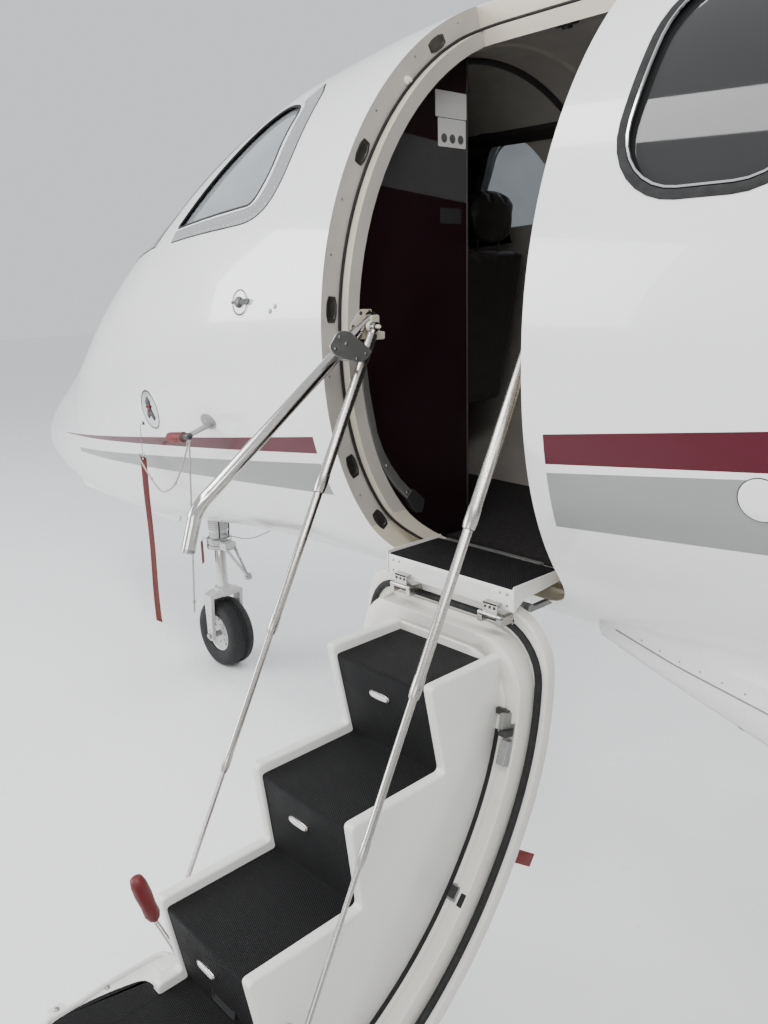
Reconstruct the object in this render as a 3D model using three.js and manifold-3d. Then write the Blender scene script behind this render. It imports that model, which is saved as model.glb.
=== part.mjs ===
// Light business jet, parked on its wheels with its airstair door down.
// Millimetres. +X points to the nose, +Y to the aircraft's left, +Z up, the floor at z = 0.
// Places along the body are stations, counted aft from the tip of the nose.
import * as THREE from "three";
import { mergeVertices } from "three/addons/utils/BufferGeometryUtils.js";
import Module from "manifold-3d";

const wasm = await Module();
wasm.setup();

// Driving dimensions
const LENGTH = 12820;
const SPAN = 12300;
const HEIGHT = 4350;
const GAP = 0.3;
const RUNNING = 6;

const SPLIT_NOSE = 1480;
const SPLIT_CABIN = 3600;
const SPLIT_TAIL = 7300;
const BODY_END = 11850;
const WALL = 100;
const TAIL_WALL = 60;
const FLOOR_TOP = 1190;
const FLOOR_THICK = 30;

const DOOR_FRONT = 3900;
const DOOR_WIDTH = 642;
const DOOR_SILL = 1205;
const HINGE_Y = 700;
const HINGE_Z = 1200;
const DOOR_OPEN_DEG = 144.5;

const NOSE_GEAR_STATION = 1870;
const NOSE_TYRE = { radius: 184, width: 140 };
const MAIN_GEAR_STATION = 6950;
const MAIN_TYRE = { radius: 229, width: 145 };
const TRACK = 3550;

const toX = (station) => LENGTH / 2 - station;
const DOOR_X1 = toX(DOOR_FRONT);
const DOOR_X0 = DOOR_X1 - DOOR_WIDTH;

// Body sections: station, half width, height of the widest point, top, bottom
const BODY = [
  [0, 12, 1085, 1095, 1075],
  [50, 80, 1090, 1170, 1030],
  [200, 155, 1100, 1255, 965],
  [500, 265, 1150, 1400, 895],
  [1000, 420, 1250, 1600, 840],
  [1550, 575, 1400, 1830, 830],
  [2200, 735, 1580, 2240, 895],
  [2800, 830, 1720, 2520, 965],
  [3400, 880, 1810, 2700, 1000],
  [4000, 890, 1840, 2760, 1010],
  [7000, 890, 1840, 2760, 1010],
  [7800, 850, 1900, 2750, 1070],
  [8800, 700, 2040, 2700, 1340],
  [9800, 510, 2190, 2620, 1700],
  [10800, 320, 2320, 2540, 2050],
  [11700, 120, 2420, 2500, 2330],
  [BODY_END, 30, 2430, 2450, 2405],
];
const AROUND = 32;
// Below its widest point the section is a fuller curve than an ellipse, whose power is 2
const LOWER_POWER = 2.3;

// Materials
const paint = new THREE.MeshStandardMaterial({ color: 0xe9e9e6, roughness: 0.18, metalness: 0.0 });
const trim = new THREE.MeshStandardMaterial({ color: 0xdcdad2, roughness: 0.5, metalness: 0.0 });
const tread = new THREE.MeshStandardMaterial({ color: 0x24252a, roughness: 0.85, metalness: 0.0 });
const chrome = new THREE.MeshStandardMaterial({ color: 0xb9b7b2, roughness: 0.15, metalness: 1.0 });
const gearPaint = new THREE.MeshStandardMaterial({ color: 0xd5d6d4, roughness: 0.35, metalness: 0.1 });
const tyreRubber = new THREE.MeshStandardMaterial({ color: 0x191a1c, roughness: 0.9, metalness: 0.0 });
const glass = new THREE.MeshStandardMaterial({
  color: 0x20262b,
  roughness: 0.05,
  metalness: 0.0,
  transparent: true,
  opacity: 0.45,
});
const carpet = new THREE.MeshStandardMaterial({ color: 0x1c1a1b, roughness: 0.95, metalness: 0.0 });
const maroonPanel = new THREE.MeshStandardMaterial({ color: 0x1d0a0e, roughness: 0.35, metalness: 0.0 });
const leather = new THREE.MeshStandardMaterial({ color: 0x2a2624, roughness: 0.6, metalness: 0.0 });
const streamerCloth = new THREE.MeshStandardMaterial({ color: 0x7a2c25, roughness: 0.85, metalness: 0.0 });
const cordWhite = new THREE.MeshStandardMaterial({ color: 0xcfcbc0, roughness: 0.85, metalness: 0.0 });
const bareMetal = new THREE.MeshStandardMaterial({ color: 0x8d8f92, roughness: 0.35, metalness: 0.9 });

// Solids, booleans and basic shapes
function toSolid(geometry) {
  if (geometry instanceof wasm.Manifold) return geometry;
  const bare = geometry.clone();
  bare.deleteAttribute("normal");
  bare.deleteAttribute("uv");
  const merged = mergeVertices(bare, 1e-3);
  const vertProperties = Float32Array.from(merged.attributes.position.array);
  const triVerts = Uint32Array.from(merged.index.array);
  const made = new wasm.Manifold(new wasm.Mesh({ numProp: 3, vertProperties, triVerts }));
  if (made.volume() > 0) return made;
  for (let i = 0; i < triVerts.length; i += 3) {
    const second = triVerts[i + 1];
    triVerts[i + 1] = triVerts[i + 2];
    triVerts[i + 2] = second;
  }
  return new wasm.Manifold(new wasm.Mesh({ numProp: 3, vertProperties, triVerts }));
}

function toGeometry(solid) {
  const mesh = solid.getMesh();
  const positions = new Float32Array(mesh.numVert * 3);
  for (let i = 0; i < mesh.numVert; i++) {
    positions.set(mesh.vertProperties.subarray(i * mesh.numProp, i * mesh.numProp + 3), i * 3);
  }
  const geometry = new THREE.BufferGeometry();
  geometry.setAttribute("position", new THREE.BufferAttribute(positions, 3));
  geometry.setIndex(new THREE.BufferAttribute(Uint32Array.from(mesh.triVerts), 1));
  return geometry;
}

function join(...pieces) {
  return pieces.map(toSolid).reduce((sum, next) => sum.add(next));
}

function cut(piece, ...tools) {
  return tools.map(toSolid).reduce((left, tool) => left.subtract(tool), toSolid(piece));
}

function meet(first, ...others) {
  return others.map(toSolid).reduce((left, next) => left.intersect(next), toSolid(first));
}

function moved(geometry, x, y, z) {
  return geometry.clone().translate(x, y, z);
}

function mirrored(geometry) {
  return toSolid(geometry).mirror([0, 1, 0]);
}

function block(x0, x1, y0, y1, z0, z1) {
  const box = new THREE.BoxGeometry(x1 - x0, y1 - y0, z1 - z0);
  return box.translate((x0 + x1) / 2, (y0 + y1) / 2, (z0 + z1) / 2);
}

function rod(from, to, radius, sides = 12, endRadius = radius) {
  const a = new THREE.Vector3(...from);
  const b = new THREE.Vector3(...to);
  const along = b.clone().sub(a);
  const shape = new THREE.CylinderGeometry(endRadius, radius, along.length(), sides);
  const turn = new THREE.Quaternion().setFromUnitVectors(new THREE.Vector3(0, 1, 0), along.normalize());
  shape.applyQuaternion(turn);
  const middle = a.add(b).multiplyScalar(0.5);
  return shape.translate(middle.x, middle.y, middle.z);
}

// A closed solid through rings of equal length; each ring is a list of [x, y, z].
function loft(rings) {
  const count = rings[0].length;
  const positions = rings.flat(2);
  const index = [];
  for (let r = 0; r + 1 < rings.length; r++) {
    for (let i = 0; i < count; i++) {
      const a = r * count + i;
      const b = r * count + ((i + 1) % count);
      index.push(a, b, a + count, b, b + count, a + count);
    }
  }
  for (const [ring, first] of [[rings[0], 0], [rings.at(-1), (rings.length - 1) * count]]) {
    const centre = positions.length / 3;
    const sum = ring.reduce((s, p) => [s[0] + p[0], s[1] + p[1], s[2] + p[2]], [0, 0, 0]);
    positions.push(sum[0] / count, sum[1] / count, sum[2] / count);
    for (let i = 0; i < count; i++) {
      const a = first + i;
      const b = first + ((i + 1) % count);
      if (first === 0) index.push(b, a, centre);
      else index.push(a, b, centre);
    }
  }
  const geometry = new THREE.BufferGeometry();
  geometry.setAttribute("position", new THREE.BufferAttribute(Float32Array.from(positions), 3));
  geometry.setIndex(index);
  return geometry;
}

// A flat outline swept along one axis: [y, z] along x, [x, z] along y, [x, y] along z.
function prism(outline, axis, from, to) {
  const shape = new THREE.Shape(outline.map(([a, b]) => new THREE.Vector2(a, b)));
  const geometry = new THREE.ExtrudeGeometry(shape, { depth: to - from, bevelEnabled: false });
  const place = {
    x: (a, b, c) => [from + c, a, b],
    y: (a, b, c) => [a, from + c, b],
    z: (a, b, c) => [a, b, from + c],
  }[axis];
  const p = geometry.attributes.position;
  for (let i = 0; i < p.count; i++) p.setXYZ(i, ...place(p.getX(i), p.getY(i), p.getZ(i)));
  return geometry;
}

// A rounded rectangle as an outline.
function roundedBox(x0, x1, z0, z1, radius, steps = 4) {
  const corners = [
    [x1 - radius, z1 - radius, 0],
    [x0 + radius, z1 - radius, 90],
    [x0 + radius, z0 + radius, 180],
    [x1 - radius, z0 + radius, 270],
  ];
  const points = [];
  for (const [cx, cz, start] of corners) {
    for (let i = 0; i <= steps; i++) {
      const angle = THREE.MathUtils.degToRad(start + (90 * i) / steps);
      points.push([cx + radius * Math.cos(angle), cz + radius * Math.sin(angle)]);
    }
  }
  return points;
}

// An outline drawn in towards its middle by a distance.
function shrunk(outline, by) {
  const cx = outline.reduce((s, p) => s + p[0], 0) / outline.length;
  const cz = outline.reduce((s, p) => s + p[1], 0) / outline.length;
  return outline.map(([x, z]) => {
    const reach = Math.hypot(x - cx, z - cz);
    return [x - ((x - cx) * by) / reach, z - ((z - cz) * by) / reach];
  });
}

// A turned solid about the Y axis; the profile is [radius, y].
function turned(profile, sides) {
  return new THREE.LatheGeometry(profile.map(([r, y]) => new THREE.Vector2(r, y)), sides);
}

// The body's section at any station, by monotone cubic steps between the table's rows.
function slopeAt(k, column) {
  if (k === 0 || k === BODY.length - 1) {
    const other = k === 0 ? 1 : k - 1;
    return (BODY[other][column] - BODY[k][column]) / (BODY[other][0] - BODY[k][0]);
  }
  const before = (BODY[k][column] - BODY[k - 1][column]) / (BODY[k][0] - BODY[k - 1][0]);
  const after = (BODY[k + 1][column] - BODY[k][column]) / (BODY[k + 1][0] - BODY[k][0]);
  return before * after <= 0 ? 0 : (2 * before * after) / (before + after);
}

function bodyAt(station) {
  let k = 0;
  while (k < BODY.length - 2 && BODY[k + 1][0] < station) k++;
  const step = BODY[k + 1][0] - BODY[k][0];
  const t = (station - BODY[k][0]) / step;
  const value = (column) =>
    BODY[k][column] * (1 + 2 * t) * (1 - t) ** 2 +
    BODY[k + 1][column] * t * t * (3 - 2 * t) +
    slopeAt(k, column) * step * t * (1 - t) ** 2 -
    slopeAt(k + 1, column) * step * t * t * (1 - t);
  return { half: value(1), waist: value(2), top: value(3), bottom: value(4) };
}

function bodyRing(station, inset) {
  const { half, waist, top, bottom } = bodyAt(station);
  const ring = [];
  for (let i = 0; i < AROUND; i++) {
    const angle = (2 * Math.PI * i) / AROUND;
    const across = Math.cos(angle);
    const up = Math.sin(angle);
    const power = up >= 0 ? 1 : 2 / LOWER_POWER;
    const rise = up >= 0 ? top - waist - inset : waist - bottom - inset;
    ring.push([
      toX(station),
      (half - inset) * Math.sign(across) * Math.abs(across) ** power,
      waist + rise * Math.sign(up) * Math.abs(up) ** power,
    ]);
  }
  return ring;
}

// How far out the section reaches at a height.
function reachAt(station, z, inset = 0) {
  const { half, waist, top, bottom } = bodyAt(station);
  const power = z > waist ? 2 : LOWER_POWER;
  const rise = (z > waist ? top - waist : waist - bottom) - inset;
  return (half - inset) * (1 - (Math.abs(z - waist) / rise) ** power) ** (1 / power);
}

const BODY_STATIONS = [
  0, 20, 50, 110, 200, 340, 500, 740, 1000, 1270, SPLIT_NOSE, 1750, 2060, 2430, 2800, 3100, 3400, SPLIT_CABIN,
  4000, 7000, SPLIT_TAIL, 7800, 8300, 8800, 9300, 9800, 10300, 10800, 11300, 11700, BODY_END,
];

// Every loft of the body shares one set of rings, so that layers fit each other face to face.
const wholeLofts = new Map();

function wholeLoft(inset) {
  if (!wholeLofts.has(inset)) {
    const rings = BODY_STATIONS.filter((station) => bodyAt(station).half > inset + 20 || inset <= 0);
    wholeLofts.set(inset, toSolid(loft(rings.map((station) => bodyRing(station, inset)))));
  }
  return wholeLofts.get(inset);
}

function bodyLoft(from, to, inset) {
  return meet(wholeLoft(inset), block(toX(to), toX(from), -1500, 1500, 0, 4000));
}

// The layer of the body between two insets.
function bodyLayer(from, to, outer, inner) {
  return cut(bodyLoft(from, to, outer), wholeLoft(inner));
}

// Root of the scene
const aircraft = new THREE.Group();

function add(name, geometry, material, parent = aircraft) {
  const mesh = new THREE.Mesh(toGeometry(toSolid(geometry)), material);
  mesh.name = name;
  parent.add(mesh);
  return mesh;
}

// Glazing
const SIDE_WINDOW = [
  [toX(2960), 2170],
  [toX(3490), 2200],
  [toX(3500), 2480],
  [toX(3320), 2525],
];
const WINDSHIELD = [
  [26, 1962],
  [301, 1990],
  [452, 2040],
  [591, 2090],
  [700, 2126],
  [660, 2226],
  [600, 2325],
  [537, 2413],
  [466, 2488],
  [396, 2535],
  [235, 2558],
  [26, 2568],
];
const WINDSHIELD_FRONT = 1600;
const WINDSHIELD_BACK = 3240;
const CABIN_WINDOW = { half: 200, low: 2105, high: 2560, radius: 150 };
const WINDOW_STATIONS = [4890, 5740, 6590];
const PANE_OUTER = 14;
const PANE_INNER = 26;
const OUTSIDE = 1200;

function cabinWindow(station, by = 0) {
  const { half, low, high, radius } = CABIN_WINDOW;
  const x = toX(station);
  return roundedBox(x - half + by, x + half - by, low + by, high - by, radius - by);
}

// Door opening: seen from the side, from the end and from above, drawn in by a margin on all edges
function doorCutter(by) {
  const side = prism(
    roundedBox(DOOR_X0 + by, DOOR_X1 - by, DOOR_SILL + by, 4000, 110),
    "y",
    100,
    OUTSIDE,
  );
  const topEdge = [
    [150, DOOR_SILL + by - 1],
    [OUTSIDE, DOOR_SILL + by - 1],
    [OUTSIDE, 3000],
    [330 + by, 3000],
    [290 + by, 2705],
    [240 + by, 2540],
    [150 + by, 2300],
  ];
  const end = prism(topEdge, "x", DOOR_X0 - 50, DOOR_X1 + 50);
  const above = prism(roundedBox(DOOR_X0 + by, DOOR_X1 - by, 150 + by, 3000, 110), "z", 0, 3200);
  return meet(side, end, above);
}

// Nose gear bay
const BAY = { from: 560, to: 2010, half: 165, roof: 1040 };
const bayCutter = block(toX(BAY.to), toX(BAY.from), -BAY.half, BAY.half, 500, BAY.roof);

// Body shells
add("nose_cone", cut(bodyLoft(-10, SPLIT_NOSE - GAP, 0), bayCutter), paint);

const cockpitVoid = join(
  bodyLoft(2060, 4000, WALL),
  cut(bodyLoft(1750, 2430, WALL), block(toX(2500), toX(1700), -900, 900, 500, FLOOR_TOP - FLOOR_THICK - GAP)),
);
const windshieldCutters = [1, -1].map((side) =>
  prism(WINDSHIELD.map(([y, z]) => [side * y, z]), "x", toX(WINDSHIELD_BACK), toX(WINDSHIELD_FRONT)),
);
const sideWindowCutters = [
  prism(SIDE_WINDOW, "y", 300, OUTSIDE),
  prism(SIDE_WINDOW, "y", -OUTSIDE, -300),
];
const glareShield = block(toX(2350), toX(1700), -560, 560, 1640, 1900);
const cockpitShell = cut(
  bodyLoft(SPLIT_NOSE, SPLIT_CABIN - GAP, 0),
  cockpitVoid,
  bayCutter,
  ...windshieldCutters,
  ...sideWindowCutters,
);
const instrumentPanel = meet(glareShield, bodyLoft(1600, 2500, WALL - 20));

// Pitot probe on its mast, under a cloth cover, and the wire and ring of the static port's cover
const PROBE_RADIUS = 11;
const COVER_RADIUS = 17;
const probe = join(
  rod([toX(3262), 815, 1566], [toX(3292), 945, 1536], 9, 10),
  rod([toX(3312), 950, 1538], [toX(3262), 947, 1528], PROBE_RADIUS, 12),
  rod([toX(3266), 947, 1529], [toX(3160), 940, 1516], COVER_RADIUS, 12),
);
const RING_STATION = 2729;
const RING_Z = 1385;
const RING_HALF = 6;
const RING_RADIUS = 7;
const HANG_Y = 818;
const wire = join(
  rod([toX(RING_STATION), 770, 1500], [toX(RING_STATION), HANG_Y, 1496], 5, 10),
  rod([toX(RING_STATION), HANG_Y, 1496], [toX(RING_STATION), HANG_Y, RING_Z], 3, 8),
  rod([toX(RING_STATION) - RING_HALF, HANG_Y, RING_Z], [toX(RING_STATION) + RING_HALF, HANG_Y, RING_Z], RING_RADIUS, 12),
);
add("cockpit_shell", join(cockpitShell, instrumentPanel, probe, wire), paint);

// The cloth streamer that hangs from the ring
const STREAMER = { half: 22, foot: 722, thick: 3 };
const streamerTop = RING_Z - RING_RADIUS - GAP;
add(
  "cover_streamer",
  block(
    toX(RING_STATION) - STREAMER.half,
    toX(RING_STATION) + STREAMER.half,
    HANG_Y - STREAMER.thick / 2,
    HANG_Y + STREAMER.thick / 2,
    STREAMER.foot,
    streamerTop,
  ),
  streamerCloth,
);

// Free cords: one from the ring to the probe, one that hangs from the probe
const CORD_RADIUS = 3;
const cordSection = new THREE.Shape();
cordSection.absarc(0, 0, CORD_RADIUS, 0, 2 * Math.PI);

function cordTube(route, steps) {
  const extrudePath = new THREE.CatmullRomCurve3(route.map(([station, y, z]) => new THREE.Vector3(toX(station), y, z)));
  return new THREE.ExtrudeGeometry(cordSection, { steps, curveSegments: 4, extrudePath });
}

const LANYARD = [
  [RING_STATION, HANG_Y + RING_RADIUS + GAP, RING_Z],
  [RING_STATION, 836, RING_Z],
  [2790, 842, 1339],
  [2914, 860, 1287],
  [3026, 885, 1310],
  [3125, 910, 1357],
  [3234, 935, 1450],
  [3283, 947, 1502],
  [3290, 949, 1520.4],
];
add("cover_lanyard", cordTube(LANYARD, 44), cordWhite);
const HANGING_CORD = [
  [3303, 949.5, 1524.2],
  [3301, 950, 1500],
  [3283, 950, 1329],
  [3262, 950, 1125],
  [3242, 950, 938],
];
add("probe_cord", cordTube(HANGING_CORD, 36), cordWhite);

const cabinVoid = bodyLoft(3400, 7150, WALL);
const cabinCutters = [
  ...WINDOW_STATIONS.map((station) => prism(cabinWindow(station), "y", 200, OUTSIDE)),
  ...WINDOW_STATIONS.map((station) => prism(cabinWindow(station), "y", -OUTSIDE, -200)),
];
const frameLand = 33;
const frameRing = cut(
  meet(bodyLayer(SPLIT_CABIN, 7000, 62, WALL), doorCutter(-2)),
  doorCutter(frameLand),
);

// What the stays and the handrail hang on: an ear and a pin for each, on arms from the frame
const STAY_TOP = [785, 1872];
const STAY_X = [DOOR_X1 - 90, DOOR_X0 + 52];
const EYE_HALF = 8;
const PIN = 5;
const EAR = 14;
const RAIL_X = DOOR_X1 - 55;
const RAIL_PIVOT = [765, 1895];
const RAIL_EYE_HALF = 10;
function ear([y, z], x0, x1, radius = EAR) {
  return rod([x0, y, z], [x1, y, z], radius, 16);
}

const foreBracket = join(
  block(DOOR_X1 - 33, DOOR_X1 - 2, 742, 800, 1838, 1925),
  block(STAY_X[0] + EYE_HALF + GAP, DOOR_X1 - 2, 742, 782, 1838, 1858),
  ear(STAY_TOP, STAY_X[0] + EYE_HALF + GAP, DOOR_X1 - 70),
  block(DOOR_X1 - 80, DOOR_X1 - 70, 771, 782, 1850, 1872),
  ear(STAY_TOP, STAY_X[0] - EYE_HALF - 12, DOOR_X1 - 75, PIN),
  ear(STAY_TOP, STAY_X[0] - EYE_HALF - 12, STAY_X[0] - EYE_HALF - GAP, 9),
  ear(RAIL_PIVOT, DOOR_X1 - 72, RAIL_X - RAIL_EYE_HALF - GAP),
  block(DOOR_X1 - 72, RAIL_X - RAIL_EYE_HALF - GAP, 751, 779, 1850, 1895),
  ear(RAIL_PIVOT, RAIL_X + RAIL_EYE_HALF + GAP, DOOR_X1 - 30),
  ear(RAIL_PIVOT, DOOR_X1 - 71, DOOR_X1 - 31, PIN),
);
const aftBracket = join(
  block(DOOR_X0 + 2, DOOR_X0 + 33, 742, 800, 1838, 1906),
  ear(STAY_TOP, DOOR_X0 + 30, STAY_X[1] - EYE_HALF - GAP),
  ear(STAY_TOP, DOOR_X0 + 31, STAY_X[1] + EYE_HALF + 12, PIN),
  ear(STAY_TOP, STAY_X[1] + EYE_HALF + GAP, STAY_X[1] + EYE_HALF + 12, 9),
);
const HINGE_ARMS = [0.24, 0.76].map((share) => DOOR_X0 + share * DOOR_WIDTH);
const KNUCKLE_HALF = 35;
const doorEars = HINGE_ARMS.flatMap((x) =>
  [-1, 1].map((side) => {
    const near = x + side * (KNUCKLE_HALF + GAP);
    const far = x + side * (KNUCKLE_HALF + 14);
    const x0 = Math.min(near, far);
    const x1 = Math.max(near, far);
    return join(ear([HINGE_Y, HINGE_Z], x0, x1, 11), block(x0, x1, 590, HINGE_Y, HINGE_Z - 11, HINGE_Z + 3));
  }),
);
const cabinShell = cut(
  bodyLoft(SPLIT_CABIN, SPLIT_TAIL - GAP, 0),
  cabinVoid,
  doorCutter(0),
  ...cabinCutters,
);
add("cabin_shell", join(cabinShell, frameRing, foreBracket, aftBracket, ...doorEars), paint);

// Aft baggage hatch, on the left below the engine
const HATCH = roundedBox(toX(8350), toX(7650), 1560, 2010, 60);
const HATCH_HINGE_Z = 2016;
const HATCH_HINGE_OUT = -2;

function hatchHinge(station) {
  const from = reachAt(7760, HATCH_HINGE_Z);
  const to = reachAt(8240, HATCH_HINGE_Z);
  const y = from + ((to - from) * (station - 7760)) / 480;
  return [toX(station), y + HATCH_HINGE_OUT, HATCH_HINGE_Z];
}

const HATCH_KNUCKLES = [7760, 8240];
const HATCH_PIN = 7;
const hatchNotches = HATCH_KNUCKLES.map((s) => rod(hatchHinge(s - 31), hatchHinge(s + 31), HATCH_PIN + 10, 12));
const hatchEars = HATCH_KNUCKLES.flatMap((s) => [
  rod(hatchHinge(s - 60), hatchHinge(s - 30 - GAP), HATCH_PIN, 12),
  rod(hatchHinge(s + 30 + GAP), hatchHinge(s + 60), HATCH_PIN, 12),
]);
const tailShell = cut(
  bodyLoft(SPLIT_TAIL, BODY_END + 10, 0),
  bodyLoft(7000, 10300, TAIL_WALL),
  prism(HATCH, "y", 200, OUTSIDE),
  ...hatchNotches,
);
add("tail_shell", join(tailShell, ...hatchEars), paint);
const hatchSkin = meet(
  bodyLayer(SPLIT_TAIL, 8800, 0, 24),
  prism(shrunk(HATCH, RUNNING), "y", 200, OUTSIDE),
);
const hatchKnuckles = HATCH_KNUCKLES.map((s) => {
  const [x, y, z] = hatchHinge(s);
  return join(
    rod(hatchHinge(s - 30), hatchHinge(s + 30), HATCH_PIN, 12),
    block(x - 24, x + 24, y - 12, y + 3, z - 22, z),
  );
});
add("baggage_hatch", join(hatchSkin, ...hatchKnuckles), paint);

// Windows
const paneLayer = bodyLayer(1480, 7000, PANE_OUTER, PANE_INNER);
for (const [name, side] of [["left", 1], ["right", -1]]) {
  const front = shrunk(WINDSHIELD, GAP * 2).map(([y, z]) => [side * y, z]);
  const pane = prism(front, "x", toX(WINDSHIELD_BACK) + GAP, toX(WINDSHIELD_FRONT));
  add(`windshield_${name}`, meet(paneLayer, pane), glass);
  const reach = side > 0 ? [300, OUTSIDE] : [-OUTSIDE, -300];
  add(`cockpit_window_${name}`, meet(paneLayer, prism(shrunk(SIDE_WINDOW, GAP * 2), "y", ...reach)), glass);
  WINDOW_STATIONS.forEach((station, i) => {
    const outline = prism(cabinWindow(station, GAP), "y", ...reach);
    add(`cabin_window_${name}_${i + 1}`, meet(paneLayer, outline), glass);
  });
}

// Cabin floor, entry bulkhead and seats
const cabinSpace = bodyLoft(2060, 7150, WALL + GAP);
const forwardSpace = bodyLoft(1750, 2430, WALL + GAP);
const slab = block(toX(7140), toX(1765), -900, 900, FLOOR_TOP - FLOOR_THICK, FLOOR_TOP);
add("cabin_floor", meet(slab, join(cabinSpace, forwardSpace)), carpet);

const BULKHEAD = { station: 3800, thick: 30, aisle: 250 };
const bulkheadSlab = block(
  toX(BULKHEAD.station + BULKHEAD.thick),
  toX(BULKHEAD.station),
  BULKHEAD.aisle,
  900,
  FLOOR_TOP + GAP,
  2700,
);
add("entry_bulkhead", meet(bulkheadSlab, cabinSpace), maroonPanel);

// A seat looking along +X centred on the origin: base, which may stand to one side, cushion, back and headrest
const BASE_HALF = 70;

function seat(width, baseY) {
  const half = width / 2;
  const base = block(-180, 180, baseY - BASE_HALF, baseY + BASE_HALF, FLOOR_TOP + GAP, 1480);
  const profile = [
    [230, 1470],
    [240, 1560],
    [215, 1590],
    [-130, 1570],
    [-215, 1850],
    [-290, 2110],
    [-390, 2100],
    [-330, 1780],
    [-270, 1470],
  ];
  const headProfile = [
    [-280, 2105],
    [-292, 2290],
    [-320, 2310],
    [-380, 2300],
    [-395, 2280],
    [-380, 2095],
  ];
  return join(base, prism(profile, "y", -half, half), prism(headProfile, "y", -130, 130));
}

function seatAt(width, station, y, facing, baseY) {
  return seat(width, facing * (baseY - y)).rotate(0, 0, facing > 0 ? 0 : 180).translate(toX(station), y, 0);
}

const PILOT_STATION = 3080;
const PILOT_Y = 330;
add("pilot_seat", seatAt(400, PILOT_STATION, PILOT_Y, 1, PILOT_Y), leather);
add("copilot_seat", seatAt(400, PILOT_STATION, -PILOT_Y, 1, -PILOT_Y), leather);

const CABIN_SEATS = [
  [5000, -1],
  [6450, 1],
];
const SEAT_Y = 390;
const TRACK_Y = 320;
for (const [name, side] of [["left", 1], ["right", -1]]) {
  const track = block(toX(6650), toX(4800), side * TRACK_Y - 25, side * TRACK_Y + 25, FLOOR_TOP + GAP, FLOOR_TOP + 25);
  const pair = CABIN_SEATS.map(([station, facing]) =>
    seatAt(430, station, side * SEAT_Y, facing, side * TRACK_Y),
  );
  add(`cabin_seats_${name}`, join(track, ...pair), leather);
}

const WING_ROOT = 745;

// Lower fairing under the wing: station, half width, side top, bottom
const FAIRING = [
  [4560, 600, 1234, 1100],
  [4800, 660, 1225, 1050],
  [5050, 712, 1235, 995],
  [5300, WING_ROOT - GAP, 1240, 930],
  [5700, WING_ROOT - GAP, 1255, 800],
  [7000, WING_ROOT - GAP, 1260, 780],
  [7600, WING_ROOT - GAP, 1290, 870],
  [8200, 330, 1330, 1120],
];

function fairingRing([station, half, sideTop, bottom]) {
  const rise = sideTop - bottom;
  const profile = [
    [0.0, 0.0],
    [0.55, 0.0],
    [0.86, 0.07],
    [0.97, 0.25],
    [1.0, 0.45],
    [1.0, 0.8],
    [0.93, 1.05],
    [0.6, 1.1],
  ];
  const left = profile.map(([across, up]) => [half * across, bottom + rise * up]);
  const right = left.slice(1).reverse().map(([y, z]) => [-y, z]);
  return [...left, ...right].map(([y, z]) => [toX(station), y, z]);
}

const fairing = cut(loft(FAIRING.map(fairingRing)), bodyLoft(4000, 8800, -GAP));
add("belly_fairing", fairing, paint);

// Aerofoil sections: half thickness as a share of the chord, at shares of the chord
const FOIL = [
  [0.0, 0.0],
  [0.012, 0.16],
  [0.05, 0.3],
  [0.15, 0.45],
  [0.35, 0.5],
  [0.55, 0.42],
  [0.72, 0.28],
];
const CUT_SHARE = 0.72;

function foilHalf(share, chord, thickness) {
  let k = 0;
  const table = [...FOIL, [1.0, 0.015]];
  while (k < table.length - 2 && table[k + 1][0] < share) k++;
  const t = (share - table[k][0]) / (table[k + 1][0] - table[k][0]);
  return chord * thickness * (table[k][1] * (1 - t) + table[k + 1][1] * t);
}

// The ring of a section from its leading edge back to a share of the chord, in a plane chosen by place.
function foilRing(lead, chord, thickness, back, place) {
  const shares = [...FOIL.map(([share]) => share).filter((share) => share < back - 0.01), back];
  const upper = shares.map((share) => [lead + share * chord, foilHalf(share, chord, thickness)]);
  const lower = upper.slice(1).reverse().map(([station, half]) => [station, -half]);
  return [...upper, ...lower].map(([station, half]) => place(station, half));
}

// A control surface's ring: a round nose about its hinge and a straight taper to the trailing edge.
function surfaceRing(hinge, radius, trail, tail, place) {
  const ring = [];
  for (let i = 0; i <= 6; i++) {
    const angle = Math.PI / 2 + (Math.PI * i) / 6;
    ring.push([hinge + radius * Math.cos(angle), radius * Math.sin(angle)]);
  }
  ring.push([trail, -tail], [trail, tail]);
  return ring.map(([station, half]) => place(station, half));
}

// Wing sections: distance out, leading edge station, chord, height, thickness share
const WING = [
  [WING_ROOT, 5380, 2200, 1000, 0.14],
  [2100, 5650, 1829, 1090, 0.13],
  [5880, 6280, 960, 1340, 0.12],
  [6080, 6400, 800, 1355, 0.11],
  [SPAN / 2, 6560, 560, 1365, 0.09],
];
const HINGE_SHARE = 0.745;

function wingAt(y) {
  let k = 0;
  while (k < WING.length - 2 && WING[k + 1][0] < y) k++;
  const t = (y - WING[k][0]) / (WING[k + 1][0] - WING[k][0]);
  const mix = (column) => WING[k][column] * (1 - t) + WING[k + 1][column] * t;
  return { y, lead: mix(1), chord: mix(2), height: mix(3), thickness: mix(4) };
}

function wingRing(y, back) {
  const s = wingAt(y);
  return foilRing(s.lead, s.chord, s.thickness, back, (station, half) => [toX(station), y, s.height + half]);
}

function hingePoint(y) {
  const s = wingAt(y);
  return [toX(s.lead + HINGE_SHARE * s.chord), y, s.height];
}

function wingSurfaceRing(y) {
  const s = wingAt(y);
  const radius = foilHalf(HINGE_SHARE, s.chord, s.thickness);
  return surfaceRing(
    s.lead + HINGE_SHARE * s.chord,
    radius,
    s.lead + s.chord,
    3,
    (station, half) => [toX(station), y, s.height + half],
  );
}

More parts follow.
